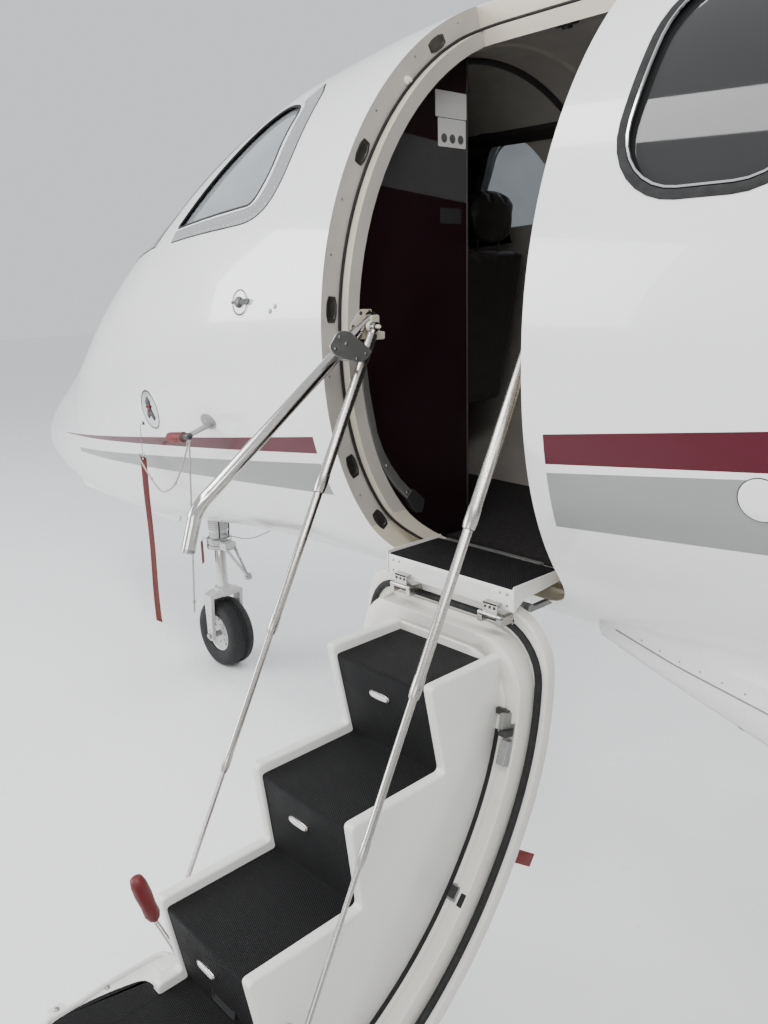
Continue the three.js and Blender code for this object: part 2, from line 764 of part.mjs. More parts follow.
const RIB_CLEAR = 10;
const SURFACES = [
  ["flap", 800, 3700],
  ["aileron", 3760, 5820],
];
const WELL = { half: 75, ceiling: 1030 };
const LEG_STATION = 6740;
const LEG_Y = 1660;

// The room for a flap or aileron, whose front wall stands clear of the surface's round nose
function wingPocket(from, to) {
  const ends = [from - RIB_CLEAR, to + RIB_CLEAR];
  const frontWall = ends.map((y) => {
    const s = wingAt(y);
    return [hingePoint(y)[0] + foilHalf(HINGE_SHARE, s.chord, s.thickness) + RUNNING + 2, y];
  });
  return prism([...frontWall, [toX(8000), ends[1]], [toX(8000), ends[0]]], "z", 700, 1700);
}

function wing() {
  const whole = loft(WING.map(([y]) => wingRing(y, 1.0)));
  const well = block(
    toX(LEG_STATION) - WELL.half,
    toX(LEG_STATION) + WELL.half,
    LEG_Y - WELL.half,
    LEG_Y + WELL.half,
    500,
    WELL.ceiling,
  );
  return cut(whole, well, ...SURFACES.map(([, from, to]) => wingPocket(from, to)));
}

// A hinge pin that ends just short of the ribs at both ends; the line leans, so its end faces do too.
function hingePin(pointAt, from, to, radius) {
  const line = new THREE.Vector3(...pointAt(to)).sub(new THREE.Vector3(...pointAt(from)));
  const lean = Math.sqrt(1 - ((to - from) / line.length()) ** 2);
  const short = GAP + radius * lean;
  return rod(pointAt(from + short), pointAt(to - short), radius, 10);
}

function wingSurface(from, to) {
  const body = loft([from, to].map(wingSurfaceRing));
  return join(body, hingePin(hingePoint, from - RIB_CLEAR, to + RIB_CLEAR, 9));
}

for (const [name, side] of [["left", 1], ["right", -1]]) {
  const turnOver = (geometry) => (side > 0 ? geometry : mirrored(geometry));
  add(`wing_${name}`, turnOver(wing()), paint);
  for (const [surface, from, to] of SURFACES) add(`${surface}_${name}`, turnOver(wingSurface(from, to)), paint);
}

// Fin and rudder: height, leading edge station, chord, thickness share
const FIN = [
  [2440, 9250, 2350, 0.1],
  [2620, 9500, 2130, 0.11],
  [4150, 11180, 1260, 0.11],
];
const RUDDER_SHARE = 0.72;
const RUDDER_FROM = 2680;
const RUDDER_TO = 4080;

function finAt(z) {
  const k = z < FIN[1][0] ? 0 : 1;
  const t = (z - FIN[k][0]) / (FIN[k + 1][0] - FIN[k][0]);
  const mix = (column) => FIN[k][column] * (1 - t) + FIN[k + 1][column] * t;
  return { lead: mix(1), chord: mix(2), thickness: mix(3) };
}

function finRing(z, back) {
  const s = finAt(z);
  return foilRing(s.lead, s.chord, s.thickness, back, (station, half) => [toX(station), half, z]);
}

function rudderHinge(z) {
  const s = finAt(z);
  return [toX(s.lead + RUDDER_SHARE * s.chord), 0, z];
}

// Behind its leaning hinge the rudder's top edge falls away, because it rises as it swings.
const RUDDER_FALL = 0.06;

function rudderRing(z) {
  const s = finAt(z);
  const hinge = s.lead + RUDDER_SHARE * s.chord;
  const radius = foilHalf(RUDDER_SHARE, s.chord, s.thickness);
  const fall = z === RUDDER_TO ? RUDDER_FALL : 0;
  return surfaceRing(hinge, radius, s.lead + s.chord, 3, (station, half) => [
    toX(station),
    half,
    z - fall * Math.max(0, station - hinge),
  ]);
}

const RUDDER_END_CLEAR = 22;
const rudderEnds = [RUDDER_FROM - RUDDER_END_CLEAR, RUDDER_TO + RUDDER_END_CLEAR];
const rudderWall = rudderEnds.map((z) => {
  const s = finAt(z);
  return [rudderHinge(z)[0] + foilHalf(RUDDER_SHARE, s.chord, s.thickness) + RUNNING + 2, z];
});
const rudderPocket = prism([...rudderWall, [toX(13000), rudderEnds[1]], [toX(13000), rudderEnds[0]]], "y", -200, 200);
const wholeFin = loft(FIN.map(([z]) => finRing(z, 1.0)));
add("fin", cut(wholeFin, rudderPocket, bodyLoft(8300, BODY_END + 10, -GAP)), paint);
const rudderPin = hingePin(rudderHinge, ...rudderEnds, 8);
add("rudder", join(loft([RUDDER_FROM, RUDDER_TO].map(rudderRing)), rudderPin), paint);

// Tailplane and elevator: distance out, leading edge station, trailing edge station, thickness
const TAIL_Z = 4250;
const TAIL = [
  [0, 11420, 12660, 150],
  [2300, 12040, 12790, 84],
  [2400, 12150, LENGTH, 60],
];
const ELEVATOR_STATION = 12420;
const ELEVATOR_HALF = 2290;

function tailAt(y) {
  const k = y < TAIL[1][0] ? 0 : 1;
  const t = (y - TAIL[k][0]) / (TAIL[k + 1][0] - TAIL[k][0]);
  const mix = (column) => TAIL[k][column] * (1 - t) + TAIL[k + 1][column] * t;
  return { lead: mix(1), trail: mix(2), thick: mix(3) };
}

function tailRing(y) {
  const s = tailAt(Math.abs(y));
  const chord = s.trail - s.lead;
  return foilRing(s.lead, chord, s.thick / chord, 1.0, (station, half) => [toX(station), y, TAIL_Z + half]);
}

const ELEVATOR_NOSE = [46, 34];

function elevatorRing(y) {
  const s = tailAt(Math.abs(y));
  const t = Math.abs(y) / ELEVATOR_HALF;
  const radius = ELEVATOR_NOSE[0] * (1 - t) + ELEVATOR_NOSE[1] * t;
  return surfaceRing(ELEVATOR_STATION, radius, s.trail, 3, (station, half) => [toX(station), y, TAIL_Z + half]);
}

const tailWall = toX(ELEVATOR_STATION - ELEVATOR_NOSE[0] - RUNNING - 2);
const wholeTail = loft([-2400, -2300, 0, 2300, 2400].map(tailRing));
const elevatorPocket = block(toX(13000), tailWall, -2300, 2300, 4000, 4240 + 300);
const tailPad = block(toX(12300), toX(11500), -60, 60, 4150 + GAP, TAIL_Z);
const elevatorPin = rod(
  [toX(ELEVATOR_STATION), -2300 + GAP, TAIL_Z],
  [toX(ELEVATOR_STATION), 2300 - GAP, TAIL_Z],
  8,
  10,
);
const elevatorBody = loft([-ELEVATOR_HALF, 0, ELEVATOR_HALF].map(elevatorRing));
add("elevator", join(elevatorBody, elevatorPin), paint);

// Fairing cap on top of the fin, which sets the full height
const capTop = meet(
  loft(
    [
      [11500, 20, 30],
      [11750, 62, HEIGHT - TAIL_Z],
      [12150, 62, HEIGHT - TAIL_Z - 6],
      [12350, 40, 60],
    ].map(([station, half, rise]) => {
      const ring = [];
      for (let i = 0; i < 12; i++) {
        const angle = (2 * Math.PI * i) / 12;
        ring.push([toX(station), half * Math.cos(angle), TAIL_Z + rise * Math.sin(angle)]);
      }
      return ring;
    }),
  ),
  block(toX(12400), toX(11400), -100, 100, TAIL_Z, HEIGHT + 10),
);
add("tailplane", join(cut(wholeTail, elevatorPocket), tailPad, capTop), paint);

// Engines: nacelle with pylon, core and fan, built with the intake at x = 0 facing +X
const ENGINE = { station: 7780, y: 1190, z: 2330 };
const NACELLE = [
  [238, -40],
  [252, -4],
  [272, -12],
  [305, -140],
  [330, -420],
  [328, -800],
  [300, -1250],
  [232, -1700],
  [196, -1960],
  [180, -1960],
  [186, -1700],
  [200, -1400],
  [200, -900],
  [236, -500],
  [240, -200],
];
// The core's widest part is let a little into the nacelle's wall, so the two are one solid
const CORE_RIM = 202;
const CORE = [
  [0, -360],
  [70, -360],
  [120, -420],
  [150, -800],
  [CORE_RIM, -950],
  [CORE_RIM, -1350],
  [150, -1500],
  [110, -1800],
  [20, -2060],
  [0, -2060],
];
const FAN = [
  [0, -170],
  [30, -190],
  [80, -290],
  [228, -300],
  [228, -345],
  [80, -345],
  [60, -360 + GAP],
  [0, -360 + GAP],
];

function alongX(profile, sides) {
  return turned(profile, sides).rotateZ(-Math.PI / 2);
}

const tailKeepOut = bodyLoft(SPLIT_TAIL, BODY_END + 10, -GAP);
for (const [name, side] of [["left", 1], ["right", -1]]) {
  const y = side * ENGINE.y;
  const x = toX(ENGINE.station);
  const pylonOutline = [
    [x - 420, 0],
    [x - 520, 38],
    [x - 900, 50],
    [x - 1500, 34],
    [x - 1800, 4],
    [x - 1800, -4],
    [x - 1500, -34],
    [x - 900, -50],
    [x - 520, -38],
  ].map(([px, pz]) => [px, ENGINE.z + pz]);
  const pylon = prism(pylonOutline, "y", side > 0 ? 300 : -ENGINE.y + 262, side > 0 ? ENGINE.y - 262 : -300);
  const shellRing = moved(alongX([...NACELLE, NACELLE[0]], 24), x, y, ENGINE.z);
  const bore = moved(alongX([[0, 0], [238, 0], [238, -500], [190, -1600], [0, -1600]], 24), x, y, ENGINE.z);
  const core = moved(alongX(CORE, 24), x, y, ENGINE.z);
  add(`nacelle_${name}`, join(cut(pylon, tailKeepOut, bore), shellRing, core), paint);
  const fan = add(`fan_${name}`, alongX(FAN, 20), bareMetal);
  fan.position.set(x, y, ENGINE.z);
}

// Wheels turn about Y at their own centres
function wheel({ radius, width }, bore) {
  const half = width / 2;
  const hub = radius * 0.5;
  const profile = [
    [bore, -half * 0.55],
    [hub * 0.6, -half * 0.55],
    [hub * 0.8, -half * 0.35],
    [hub, -half * 0.5],
    [hub * 1.08, -half * 0.78],
    [radius * 0.78, -half],
    [radius * 0.93, -half * 0.88],
    [radius, -half * 0.4],
    [radius, half * 0.4],
    [radius * 0.93, half * 0.88],
    [radius * 0.78, half],
    [hub * 1.08, half * 0.78],
    [hub, half * 0.5],
    [hub * 0.8, half * 0.35],
    [hub * 0.6, half * 0.55],
    [bore, half * 0.55],
    [bore, -half * 0.55],
  ];
  return turned(profile, 32);
}

// Nose gear: fixed leg with its loose torque link, steered fork with the axle, wheel
const noseGear = new THREE.Group();
noseGear.position.set(toX(NOSE_GEAR_STATION), 0, 0);
aircraft.add(noseGear);
const AXLE_RADIUS = 16;
const COLLAR_Z = 655;
const noseLeg = join(
  rod([0, 0, COLLAR_Z], [0, 0, BAY.roof - GAP], 48, 16),
  rod([0, 0, COLLAR_Z], [0, 0, COLLAR_Z + 60], 66, 16),
  rod([0, -150, 940], [0, 150, 940], 26, 12),
  rod([20, 0, 760], [330, 0, 960], 20, 10),
  block(-110, -40, -34, 34, COLLAR_Z + 6, COLLAR_Z + 46),
  rod([-90, -28, COLLAR_Z + 26], [-250, 0, 552], 12, 8),
  rod([-90, 28, COLLAR_Z + 26], [-250, 0, 552], 12, 8),
  rod([-250, -20, 552], [-250, 20, 552], 18, 10),
);
add("nose_leg", noseLeg, gearPaint, noseGear);

const FORK_TOP = NOSE_TYRE.radius * 2 + 26;
const FORK_IN = NOSE_TYRE.width / 2 + 8;
const FORK_OUT = FORK_IN + 22;
const noseFork = join(
  rod([0, 0, FORK_TOP + 10], [0, 0, COLLAR_Z - GAP], 30, 16),
  rod([0, 0, FORK_TOP], [0, 0, FORK_TOP + 50], 52, 16),
  block(-38, 38, -FORK_OUT, FORK_OUT, FORK_TOP, FORK_TOP + 34),
  ...[1, -1].map((side) =>
    prism(
      [
        [-36, FORK_TOP + 20],
        [36, FORK_TOP + 20],
        [24, NOSE_TYRE.radius - 20],
        [0, NOSE_TYRE.radius - 34],
        [-24, NOSE_TYRE.radius - 20],
      ],
      "y",
      side > 0 ? FORK_IN : -FORK_OUT,
      side > 0 ? FORK_OUT : -FORK_IN,
    ),
  ),
  rod([0, -FORK_OUT - 14, NOSE_TYRE.radius], [0, FORK_OUT + 14, NOSE_TYRE.radius], AXLE_RADIUS, 16),
);
add("nose_fork", noseFork, gearPaint, noseGear);
const noseWheel = add("nose_wheel", wheel(NOSE_TYRE, AXLE_RADIUS + 0.6), tyreRubber, noseGear);
noseWheel.position.set(0, 0, NOSE_TYRE.radius);

// Nose gear doors hang from the bay's edges
for (const [name, side] of [["left", 1], ["right", -1]]) {
  const outline = [
    [toX(600), 985],
    [toX(640), 835],
    [toX(1300), 812],
    [toX(1760), 800],
    [toX(1800), 905],
    [toX(1300), 905],
    [toX(900), 940],
  ];
  const inner = BAY.half - 16;
  const outer = BAY.half - GAP;
  const hung = prism(outline, "y", side > 0 ? inner : -outer, side > 0 ? outer : -inner);
  add(`nose_gear_door_${name}`, hung, paint);
}

// Main gear: leg with trailing link and axle, wheel outboard of it
const MAIN_BORE = 24;
for (const [name, side] of [["left", 1], ["right", -1]]) {
  const gear = new THREE.Group();
  gear.position.set(toX(MAIN_GEAR_STATION), (side * TRACK) / 2, 0);
  aircraft.add(gear);
  const inboard = side * (LEG_Y - TRACK / 2);
  const ahead = MAIN_GEAR_STATION - LEG_STATION;
  const leg = join(
    rod([ahead, inboard, 420], [ahead, inboard, WELL.ceiling - GAP], 44, 16),
    block(ahead - 60, ahead + 60, inboard - 60, inboard + 60, WELL.ceiling - 30, WELL.ceiling - GAP),
    rod([ahead, inboard, 430], [0, inboard, MAIN_TYRE.radius], 34, 12),
    rod([ahead + 70, inboard, 760], [30, inboard, MAIN_TYRE.radius + 40], 20, 10),
    rod([ahead, inboard, 760], [ahead + 80, inboard, 760], 22, 10),
    rod([0, inboard - side * 20, MAIN_TYRE.radius], [0, inboard + side * 20, MAIN_TYRE.radius], 44, 16),
    rod([0, inboard, MAIN_TYRE.radius], [0, side * 45, MAIN_TYRE.radius], MAIN_BORE, 16),
  );
  add(`main_leg_${name}`, leg, gearPaint, gear);
  const tyre = add(`main_wheel_${name}`, wheel(MAIN_TYRE, MAIN_BORE + 0.7), tyreRubber, gear);
  tyre.position.set(0, 0, MAIN_TYRE.radius);
}

// Airstair door: its shell is drawn shut in the opening, then turned down about the sill hinge
const OPEN = THREE.MathUtils.degToRad(-DOOR_OPEN_DEG);
const SKIN_THICK = 30;
const PAN_THICK = 85;
const skin = meet(bodyLayer(SPLIT_CABIN, 7000, 0, SKIN_THICK), doorCutter(5));
const pan = meet(bodyLayer(SPLIT_CABIN, 7000, SKIN_THICK - 1, PAN_THICK), doorCutter(41));
// Sill step: a hinged flap that bridges from the sill to the head of the flight
const SILL_STEP = { x0: DOOR_X0 + 78, x1: DOOR_X0 + 500, back: 615, front: 807, top: 1282, foot: 1226 };
// The pan is recessed where the step's front plate stands, and where it swings over as the door shuts
const SILL_STEP_ROOM = block(SILL_STEP.x0 - 8, SILL_STEP.x1 + 8, 783, 920, 1156, 1300);
const doorShell = cut(join(skin, pan).translate(0, -HINGE_Y, -HINGE_Z), intoDoor(SILL_STEP_ROOM));
const doorGroup = new THREE.Group();
doorGroup.position.set(0, HINGE_Y, HINGE_Z);
doorGroup.rotation.x = OPEN;
aircraft.add(doorGroup);
const knuckles = HINGE_ARMS.map((x) =>
  join(
    rod([x - KNUCKLE_HALF, 0, 0], [x + KNUCKLE_HALF, 0, 0], 11, 16),
    block(x - KNUCKLE_HALF, x + KNUCKLE_HALF, -68, 0, -4, 30),
  ),
);

// A piece drawn as it stands when the door is down, put into the door's own frame
function intoDoor(geometry) {
  return toSolid(geometry).translate(0, -HINGE_Y, -HINGE_Z).rotate(DOOR_OPEN_DEG, 0, 0);
}

const SILL_HINGE = [826, 1212];
const SILL_HINGE_X = [DOOR_X1 - 207, DOOR_X1 - 510];
const SILL_LEAF_HALF = 22;
const SILL_KNUCKLE = 6;
const sillEars = SILL_HINGE_X.flatMap((x) =>
  [-1, 1].map((side) => {
    const near = x + side * (SILL_LEAF_HALF + GAP);
    const far = x + side * (SILL_LEAF_HALF + 12);
    const x0 = Math.min(near, far);
    const x1 = Math.max(near, far);
    return intoDoor(
      join(ear(SILL_HINGE, x0, x1, SILL_KNUCKLE), block(x0, x1, 776, SILL_HINGE[0], 1190, SILL_HINGE[1])),
    );
  }),
);
add("airstair_door", join(doorShell, ...knuckles, ...sillEars), trim, doorGroup);

// Stair flight: side walls and a folded tread sheet, drawn as it stands when the door is down
const STAIR_X0 = DOOR_X0 + 132;
const STAIR_X1 = STAIR_X0 + 308;
const SIDE_WALL = 30;
const SHEET = 14;
const PAN_FACE_Y = 825;
// Steps: y of the back edge, y of the nose, height of the tread
const STEPS = [
  [800, 1048, 1089],
  [1004, 1292, 859],
  [1268, 1567, 646],
  [1532, 1800, 436],
];

// The folded sheet of treads and risers: along the top, then back along its underside
const sheetTop = STEPS.flatMap(([back, front, height]) => [[back, height], [front, height]]);
const sheetUnder = sheetTop.map(([y, z]) => [y - SHEET, z - SHEET]).reverse();
const LAST_NOSE = STEPS.at(-1)[1];
const APRON = 396;
const sheetOutline = [
  [PAN_FACE_Y, STEPS[0][2]],
  ...sheetTop.slice(1),
  [LAST_NOSE, APRON],
  [LAST_NOSE - SHEET, APRON],
  ...sheetUnder.slice(0, -1),
  [PAN_FACE_Y, STEPS[0][2] - SHEET],
];

// A point of the shut door, given in the body's own frame, after the door is turned down
function opened(y, z) {
  const point = new THREE.Vector2(y - HINGE_Y, z - HINGE_Z).rotateAround(new THREE.Vector2(), OPEN);
  return [HINGE_Y + point.x, HINGE_Z + point.y];
}

const WALL_LIFT = 24;
const WALL_PROUD = 10;
const wallTop = STEPS.flatMap(([back, front, height]) => [
  [back + WALL_PROUD, height + WALL_LIFT],
  [front + WALL_PROUD, height + WALL_LIFT],
]);
const WALL_SEAT = 50;
const wallFoot = [2640, 2560, 2400, 2200, 2000, 1840, 1700, 1500, 1400].map((z) =>
  opened(reachAt(DOOR_FRONT + DOOR_WIDTH / 2, z, WALL_SEAT), z),
);
const wallOutline = [...wallTop.slice(1), [LAST_NOSE + WALL_PROUD, 330], ...wallFoot, wallTop[0]];
const panKeepOut = meet(bodyLayer(SPLIT_CABIN, 7000, -5, PAN_THICK + GAP), doorCutter(-20))
  .translate(0, -HINGE_Y, -HINGE_Z)
  .rotate(-DOOR_OPEN_DEG, 0, 0)
  .translate(0, HINGE_Y, HINGE_Z);

// Stays: where they hang on the opening's frame, and where their rods meet the flight
const STAY_FOOT = [1500, 505];
const STAYS = [
  ["fore", STAY_X[0], STAIR_X1 + SIDE_WALL],
  ["aft", STAY_X[1], STAIR_X0 - SIDE_WALL],
];
const STAY_PIN = 9;
const STAY_RADII = [14, 11.2, 8.6, 6];
const STAY_WALL = 2;
const STAY_ENDS = [0.29, 0.53, 0.76, 1.0];
const STAY_OVERLAP = 46;

const flight = cut(
  join(
    prism(sheetOutline, "x", STAIR_X0 - 1, STAIR_X1 + 1),
    prism(wallOutline, "x", STAIR_X0 - SIDE_WALL, STAIR_X0),
    prism(wallOutline, "x", STAIR_X1, STAIR_X1 + SIDE_WALL),
    ...STAYS.map(([, x, wall]) => rod([wall, ...STAY_FOOT], [x + Math.sign(x - wall) * 12, ...STAY_FOOT], STAY_PIN, 12)),
  ),
  panKeepOut,
);
add("stair_flight", flight, tread);

// Each stay is a telescope: a tube that hangs on the frame, two middle tubes and a rod, drawn out in full
const stayRun = [STAY_FOOT[0] - STAY_TOP[0], STAY_FOOT[1] - STAY_TOP[1]];
const stayLength = Math.hypot(...stayRun);
const stayTilt = Math.atan2(stayRun[1], stayRun[0]);
const STAY_HEAD = 20;
const stayEye = cut(
  join(rod([-EYE_HALF, 0, 0], [EYE_HALF, 0, 0], 12, 16), rod([0, 0, 0], [0, STAY_HEAD + 4, 0], 7, 12)),
  rod([-EYE_HALF - 1, 0, 0], [EYE_HALF + 1, 0, 0], PIN + GAP, 16),
);
for (const [name, x] of STAYS) {
  const group = new THREE.Group();
  group.position.set(x, ...STAY_TOP);
  group.rotation.x = stayTilt;
  aircraft.add(group);
  STAY_RADII.forEach((radius, i) => {
    const from = i === 0 ? STAY_HEAD : STAY_ENDS[i - 1] * stayLength - STAY_OVERLAP;
    const last = i === STAY_RADII.length - 1;
    const to = last ? stayLength - STAY_PIN - GAP : STAY_ENDS[i] * stayLength;
    const body = rod([0, from, 0], [0, to, 0], radius, 12);
    const hollow = rod([0, from + (i === 0 ? 20 : -1), 0], [0, to + 1, 0], radius - STAY_WALL, 12);
    const tube = last ? body : cut(body, hollow);
    add(`stay_${name}_${i + 1}`, i === 0 ? join(tube, stayEye) : tube, chrome, group);
  });
}

// Handrail: a tube from its pivot beside the opening, parallel to the flight, with its end turned down
const RAIL_ELBOW = [1318, 1494];
const RAIL_END = [1352, 1398];
const RAIL_RADIUS = 17;
const railDirection = new THREE.Vector2(RAIL_ELBOW[0] - RAIL_PIVOT[0], RAIL_ELBOW[1] - RAIL_PIVOT[1]).normalize();
const RAIL_START = 60;
const BEND = 45;
const railPath = new THREE.CatmullRomCurve3(
  [
    [RAIL_PIVOT[0] + RAIL_START * railDirection.x, RAIL_PIVOT[1] + RAIL_START * railDirection.y],
    [RAIL_ELBOW[0] - BEND * 2 * railDirection.x, RAIL_ELBOW[1] - BEND * 2 * railDirection.y],
    [RAIL_ELBOW[0] - BEND * railDirection.x, RAIL_ELBOW[1] - BEND * railDirection.y],
    [RAIL_ELBOW[0] + 8, RAIL_ELBOW[1] - 20],
    RAIL_END,
  ].map(([y, z]) => new THREE.Vector3(RAIL_X, y, z)),
);
const railSection = new THREE.Shape();
railSection.absarc(0, 0, RAIL_RADIUS, 0, 2 * Math.PI);
const railTube = new THREE.ExtrudeGeometry(railSection, { steps: 14, curveSegments: 6, extrudePath: railPath });
const railNeckEnd = [
  RAIL_X,
  RAIL_PIVOT[0] + (RAIL_START + 8) * railDirection.x,
  RAIL_PIVOT[1] + (RAIL_START + 8) * railDirection.y,
];
const railEye = cut(
  join(
    ear(RAIL_PIVOT, RAIL_X - RAIL_EYE_HALF, RAIL_X + RAIL_EYE_HALF, 13),
    rod([RAIL_X, ...RAIL_PIVOT], railNeckEnd, 9, 12),
  ),
  ear(RAIL_PIVOT, RAIL_X - RAIL_EYE_HALF - 1, RAIL_X + RAIL_EYE_HALF + 1, PIN + GAP),
);
add("handrail", join(railTube, railEye), chrome);

// The sill step's own plates, foot, heel and hinge leaves
const FLAP = 12;
const sillOutline = [
  [SILL_STEP.back, SILL_STEP.top],
  [SILL_STEP.back, SILL_STEP.top - FLAP],
  [SILL_STEP.front - FLAP, SILL_STEP.top - FLAP],
  [SILL_STEP.front - FLAP, SILL_STEP.foot],
  [SILL_STEP.front, SILL_STEP.foot],
  [SILL_STEP.front, SILL_STEP.top],
];
const SILL_FOOT = { back: 592, front: 612, low: DOOR_SILL + frameLand + GAP };
const sillFoot = block(
  SILL_STEP.x0 + 20,
  SILL_STEP.x1 - 20,
  SILL_FOOT.back,
  SILL_STEP.back + FLAP,
  SILL_STEP.top - FLAP,
  SILL_STEP.top,
);
const sillHeel = block(
  DOOR_X0 + 150,
  SILL_STEP.x1 - 20,
  SILL_FOOT.back,
  SILL_FOOT.front,
  SILL_FOOT.low,
  SILL_STEP.top - FLAP + 1,
);
const sillLeaves = SILL_HINGE_X.map((x) =>
  join(
    ear(SILL_HINGE, x - SILL_LEAF_HALF, x + SILL_LEAF_HALF, SILL_KNUCKLE),
    block(x - SILL_LEAF_HALF, x + SILL_LEAF_HALF, SILL_HINGE[0] - 3, SILL_HINGE[0] + 3, SILL_HINGE[1], 1240),
    block(x - SILL_LEAF_HALF, x + SILL_LEAF_HALF, SILL_STEP.front - 4, SILL_HINGE[0] + 3, 1232, 1242),
  ),
);
const sillPlate = prism(sillOutline, "x", SILL_STEP.x0, SILL_STEP.x1);
add("sill_step", join(sillPlate, sillFoot, sillHeel, ...sillLeaves), trim);

export default aircraft;
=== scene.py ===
import bpy
import bmesh
import math
from mathutils import Matrix, Vector


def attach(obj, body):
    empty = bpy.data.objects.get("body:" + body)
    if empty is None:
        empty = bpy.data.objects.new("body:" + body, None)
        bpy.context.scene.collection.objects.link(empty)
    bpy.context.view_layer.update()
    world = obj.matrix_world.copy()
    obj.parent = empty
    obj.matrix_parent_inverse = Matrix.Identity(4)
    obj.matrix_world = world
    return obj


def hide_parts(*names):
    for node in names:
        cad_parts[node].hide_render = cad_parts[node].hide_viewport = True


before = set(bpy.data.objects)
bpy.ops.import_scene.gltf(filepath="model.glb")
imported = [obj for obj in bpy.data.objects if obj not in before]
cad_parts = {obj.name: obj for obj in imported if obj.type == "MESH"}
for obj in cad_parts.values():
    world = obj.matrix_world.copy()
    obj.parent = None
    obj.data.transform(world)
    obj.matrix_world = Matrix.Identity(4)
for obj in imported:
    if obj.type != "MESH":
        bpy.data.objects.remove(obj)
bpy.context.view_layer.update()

# Frame: metres, +X to the nose, +Y left, +Z up; stations count aft from the nose tip
LENGTH = 12.82
BODY_END = 11.85
WALL = 0.1
TAIL_WALL = 0.06
FLOOR_TOP = 1.19
DOOR_FRONT = 3.9
LOWER_POWER = 2.3
DOOR_WIDTH = 0.642
DOOR_SILL = 1.205
HINGE_Y = 0.7
HINGE_Z = 1.2
DOOR_OPEN = math.radians(144.5)
AIR = "airframe"
STAIR = "airstair"
FORWARD = Vector((1, 0, 0))
BACKWARD = Vector((-1, 0, 0))
LEFTWARD = Vector((0, 1, 0))
UPWARD = Vector((0, 0, 1))
SIDES = (("left", 1), ("right", -1))


def to_x(station):
    return LENGTH / 2 - station


def to_station(x):
    return LENGTH / 2 - x


DOOR_X1 = to_x(DOOR_FRONT)
DOOR_X0 = DOOR_X1 - DOOR_WIDTH

# Body sections: station, half width, height of the widest point, top, bottom
BODY = [
    (0, 0.012, 1.085, 1.095, 1.075),
    (0.05, 0.08, 1.09, 1.17, 1.03),
    (0.2, 0.155, 1.1, 1.255, 0.965),
    (0.5, 0.265, 1.15, 1.4, 0.895),
    (1.0, 0.42, 1.25, 1.6, 0.84),
    (1.55, 0.575, 1.4, 1.83, 0.83),
    (2.2, 0.735, 1.58, 2.24, 0.895),
    (2.8, 0.83, 1.72, 2.52, 0.965),
    (3.4, 0.88, 1.81, 2.7, 1.0),
    (4.0, 0.89, 1.84, 2.76, 1.01),
    (7.0, 0.89, 1.84, 2.76, 1.01),
    (7.8, 0.85, 1.9, 2.75, 1.07),
    (8.8, 0.7, 2.04, 2.7, 1.34),
    (9.8, 0.51, 2.19, 2.62, 1.7),
    (10.8, 0.32, 2.32, 2.54, 2.05),
    (11.7, 0.12, 2.42, 2.5, 2.33),
    (BODY_END, 0.03, 2.43, 2.45, 2.405),
]


# Camera at the photo's place and angle
CAMERA_PLACE = (0.768, 2.294, 1.98)
CAMERA_AXES = (
    (-0.68281835, 0.17131487, -0.7102185),
    (-0.73011243, -0.19508612, 0.6548872),
    (-0.02636186, 0.96570835, 0.2582875),
)
LENS = 30.17
camera_data = bpy.data.cameras.new("camera")
camera_data.lens = LENS
camera_data.sensor_width = 36
camera_data.sensor_fit = "AUTO"
camera_data.clip_start = 0.02
camera_data.clip_end = 200
camera = bpy.data.objects.new("camera", camera_data)
bpy.context.scene.collection.objects.link(camera)
camera.matrix_world = Matrix.Translation(CAMERA_PLACE) @ Matrix(CAMERA_AXES).to_4x4()
bpy.context.scene.camera = camera


# Body surface
def slope_at(k, column):
    """How steeply a column of the body's table runs at a row, so that the curve never overshoots."""
    if k in (0, len(BODY) - 1):
        other = 1 if k == 0 else k - 1
        return (BODY[other][column] - BODY[k][column]) / (BODY[other][0] - BODY[k][0])
    before = (BODY[k][column] - BODY[k - 1][column]) / (BODY[k][0] - BODY[k - 1][0])
    after = (BODY[k + 1][column] - BODY[k][column]) / (BODY[k + 1][0] - BODY[k][0])
    return 0 if before * after <= 0 else 2 * before * after / (before + after)


def row_before(rows, value):
    """The place in a table of the last row that starts before a value, and the share of the way on."""
    k = 0
    while k < len(rows) - 2 and rows[k + 1][0] < value:
        k += 1
    return k, (value - rows[k][0]) / (rows[k + 1][0] - rows[k][0])


def between_rows(rows, value):
    """The columns of a table at a value of its first column."""
    k, t = row_before(rows, value)
    return [a + (b - a) * t for a, b in zip(rows[k][1:], rows[k + 1][1:])]


SLOPES = [[0, *(slope_at(k, c) for c in (1, 2, 3, 4))] for k in range(len(BODY))]


def body_at(station):
    """Half width, waist, top and bottom of the body's section at a station."""
    k, t = row_before(BODY, station)
    step = BODY[k + 1][0] - BODY[k][0]
    out = []
    for c in (1, 2, 3, 4):
        value = BODY[k][c] * (1 + 2 * t) * (1 - t) ** 2 + BODY[k + 1][c] * t * t * (3 - 2 * t)
        value += SLOPES[k][c] * step * t * (1 - t) ** 2 - SLOPES[k + 1][c] * step * t * t * (1 - t)
        out.append(value)
    return out


def signed_power(value, power):
    return math.copysign(abs(value) ** power, value)


def body_point(station, angle, inset=0.0):
    """A point of the body's surface, or of a layer under it; angle 0 is the widest place on the left."""
    half, waist, top, bottom = body_at(station)
    across, up = math.cos(angle), math.sin(angle)
    power = 1 if up >= 0 else 2 / LOWER_POWER
    rise = (top - waist if up >= 0 else waist - bottom) - inset
    return Vector((
        to_x(station), (half - inset) * signed_power(across, power), waist + rise * signed_power(up, power),
    ))


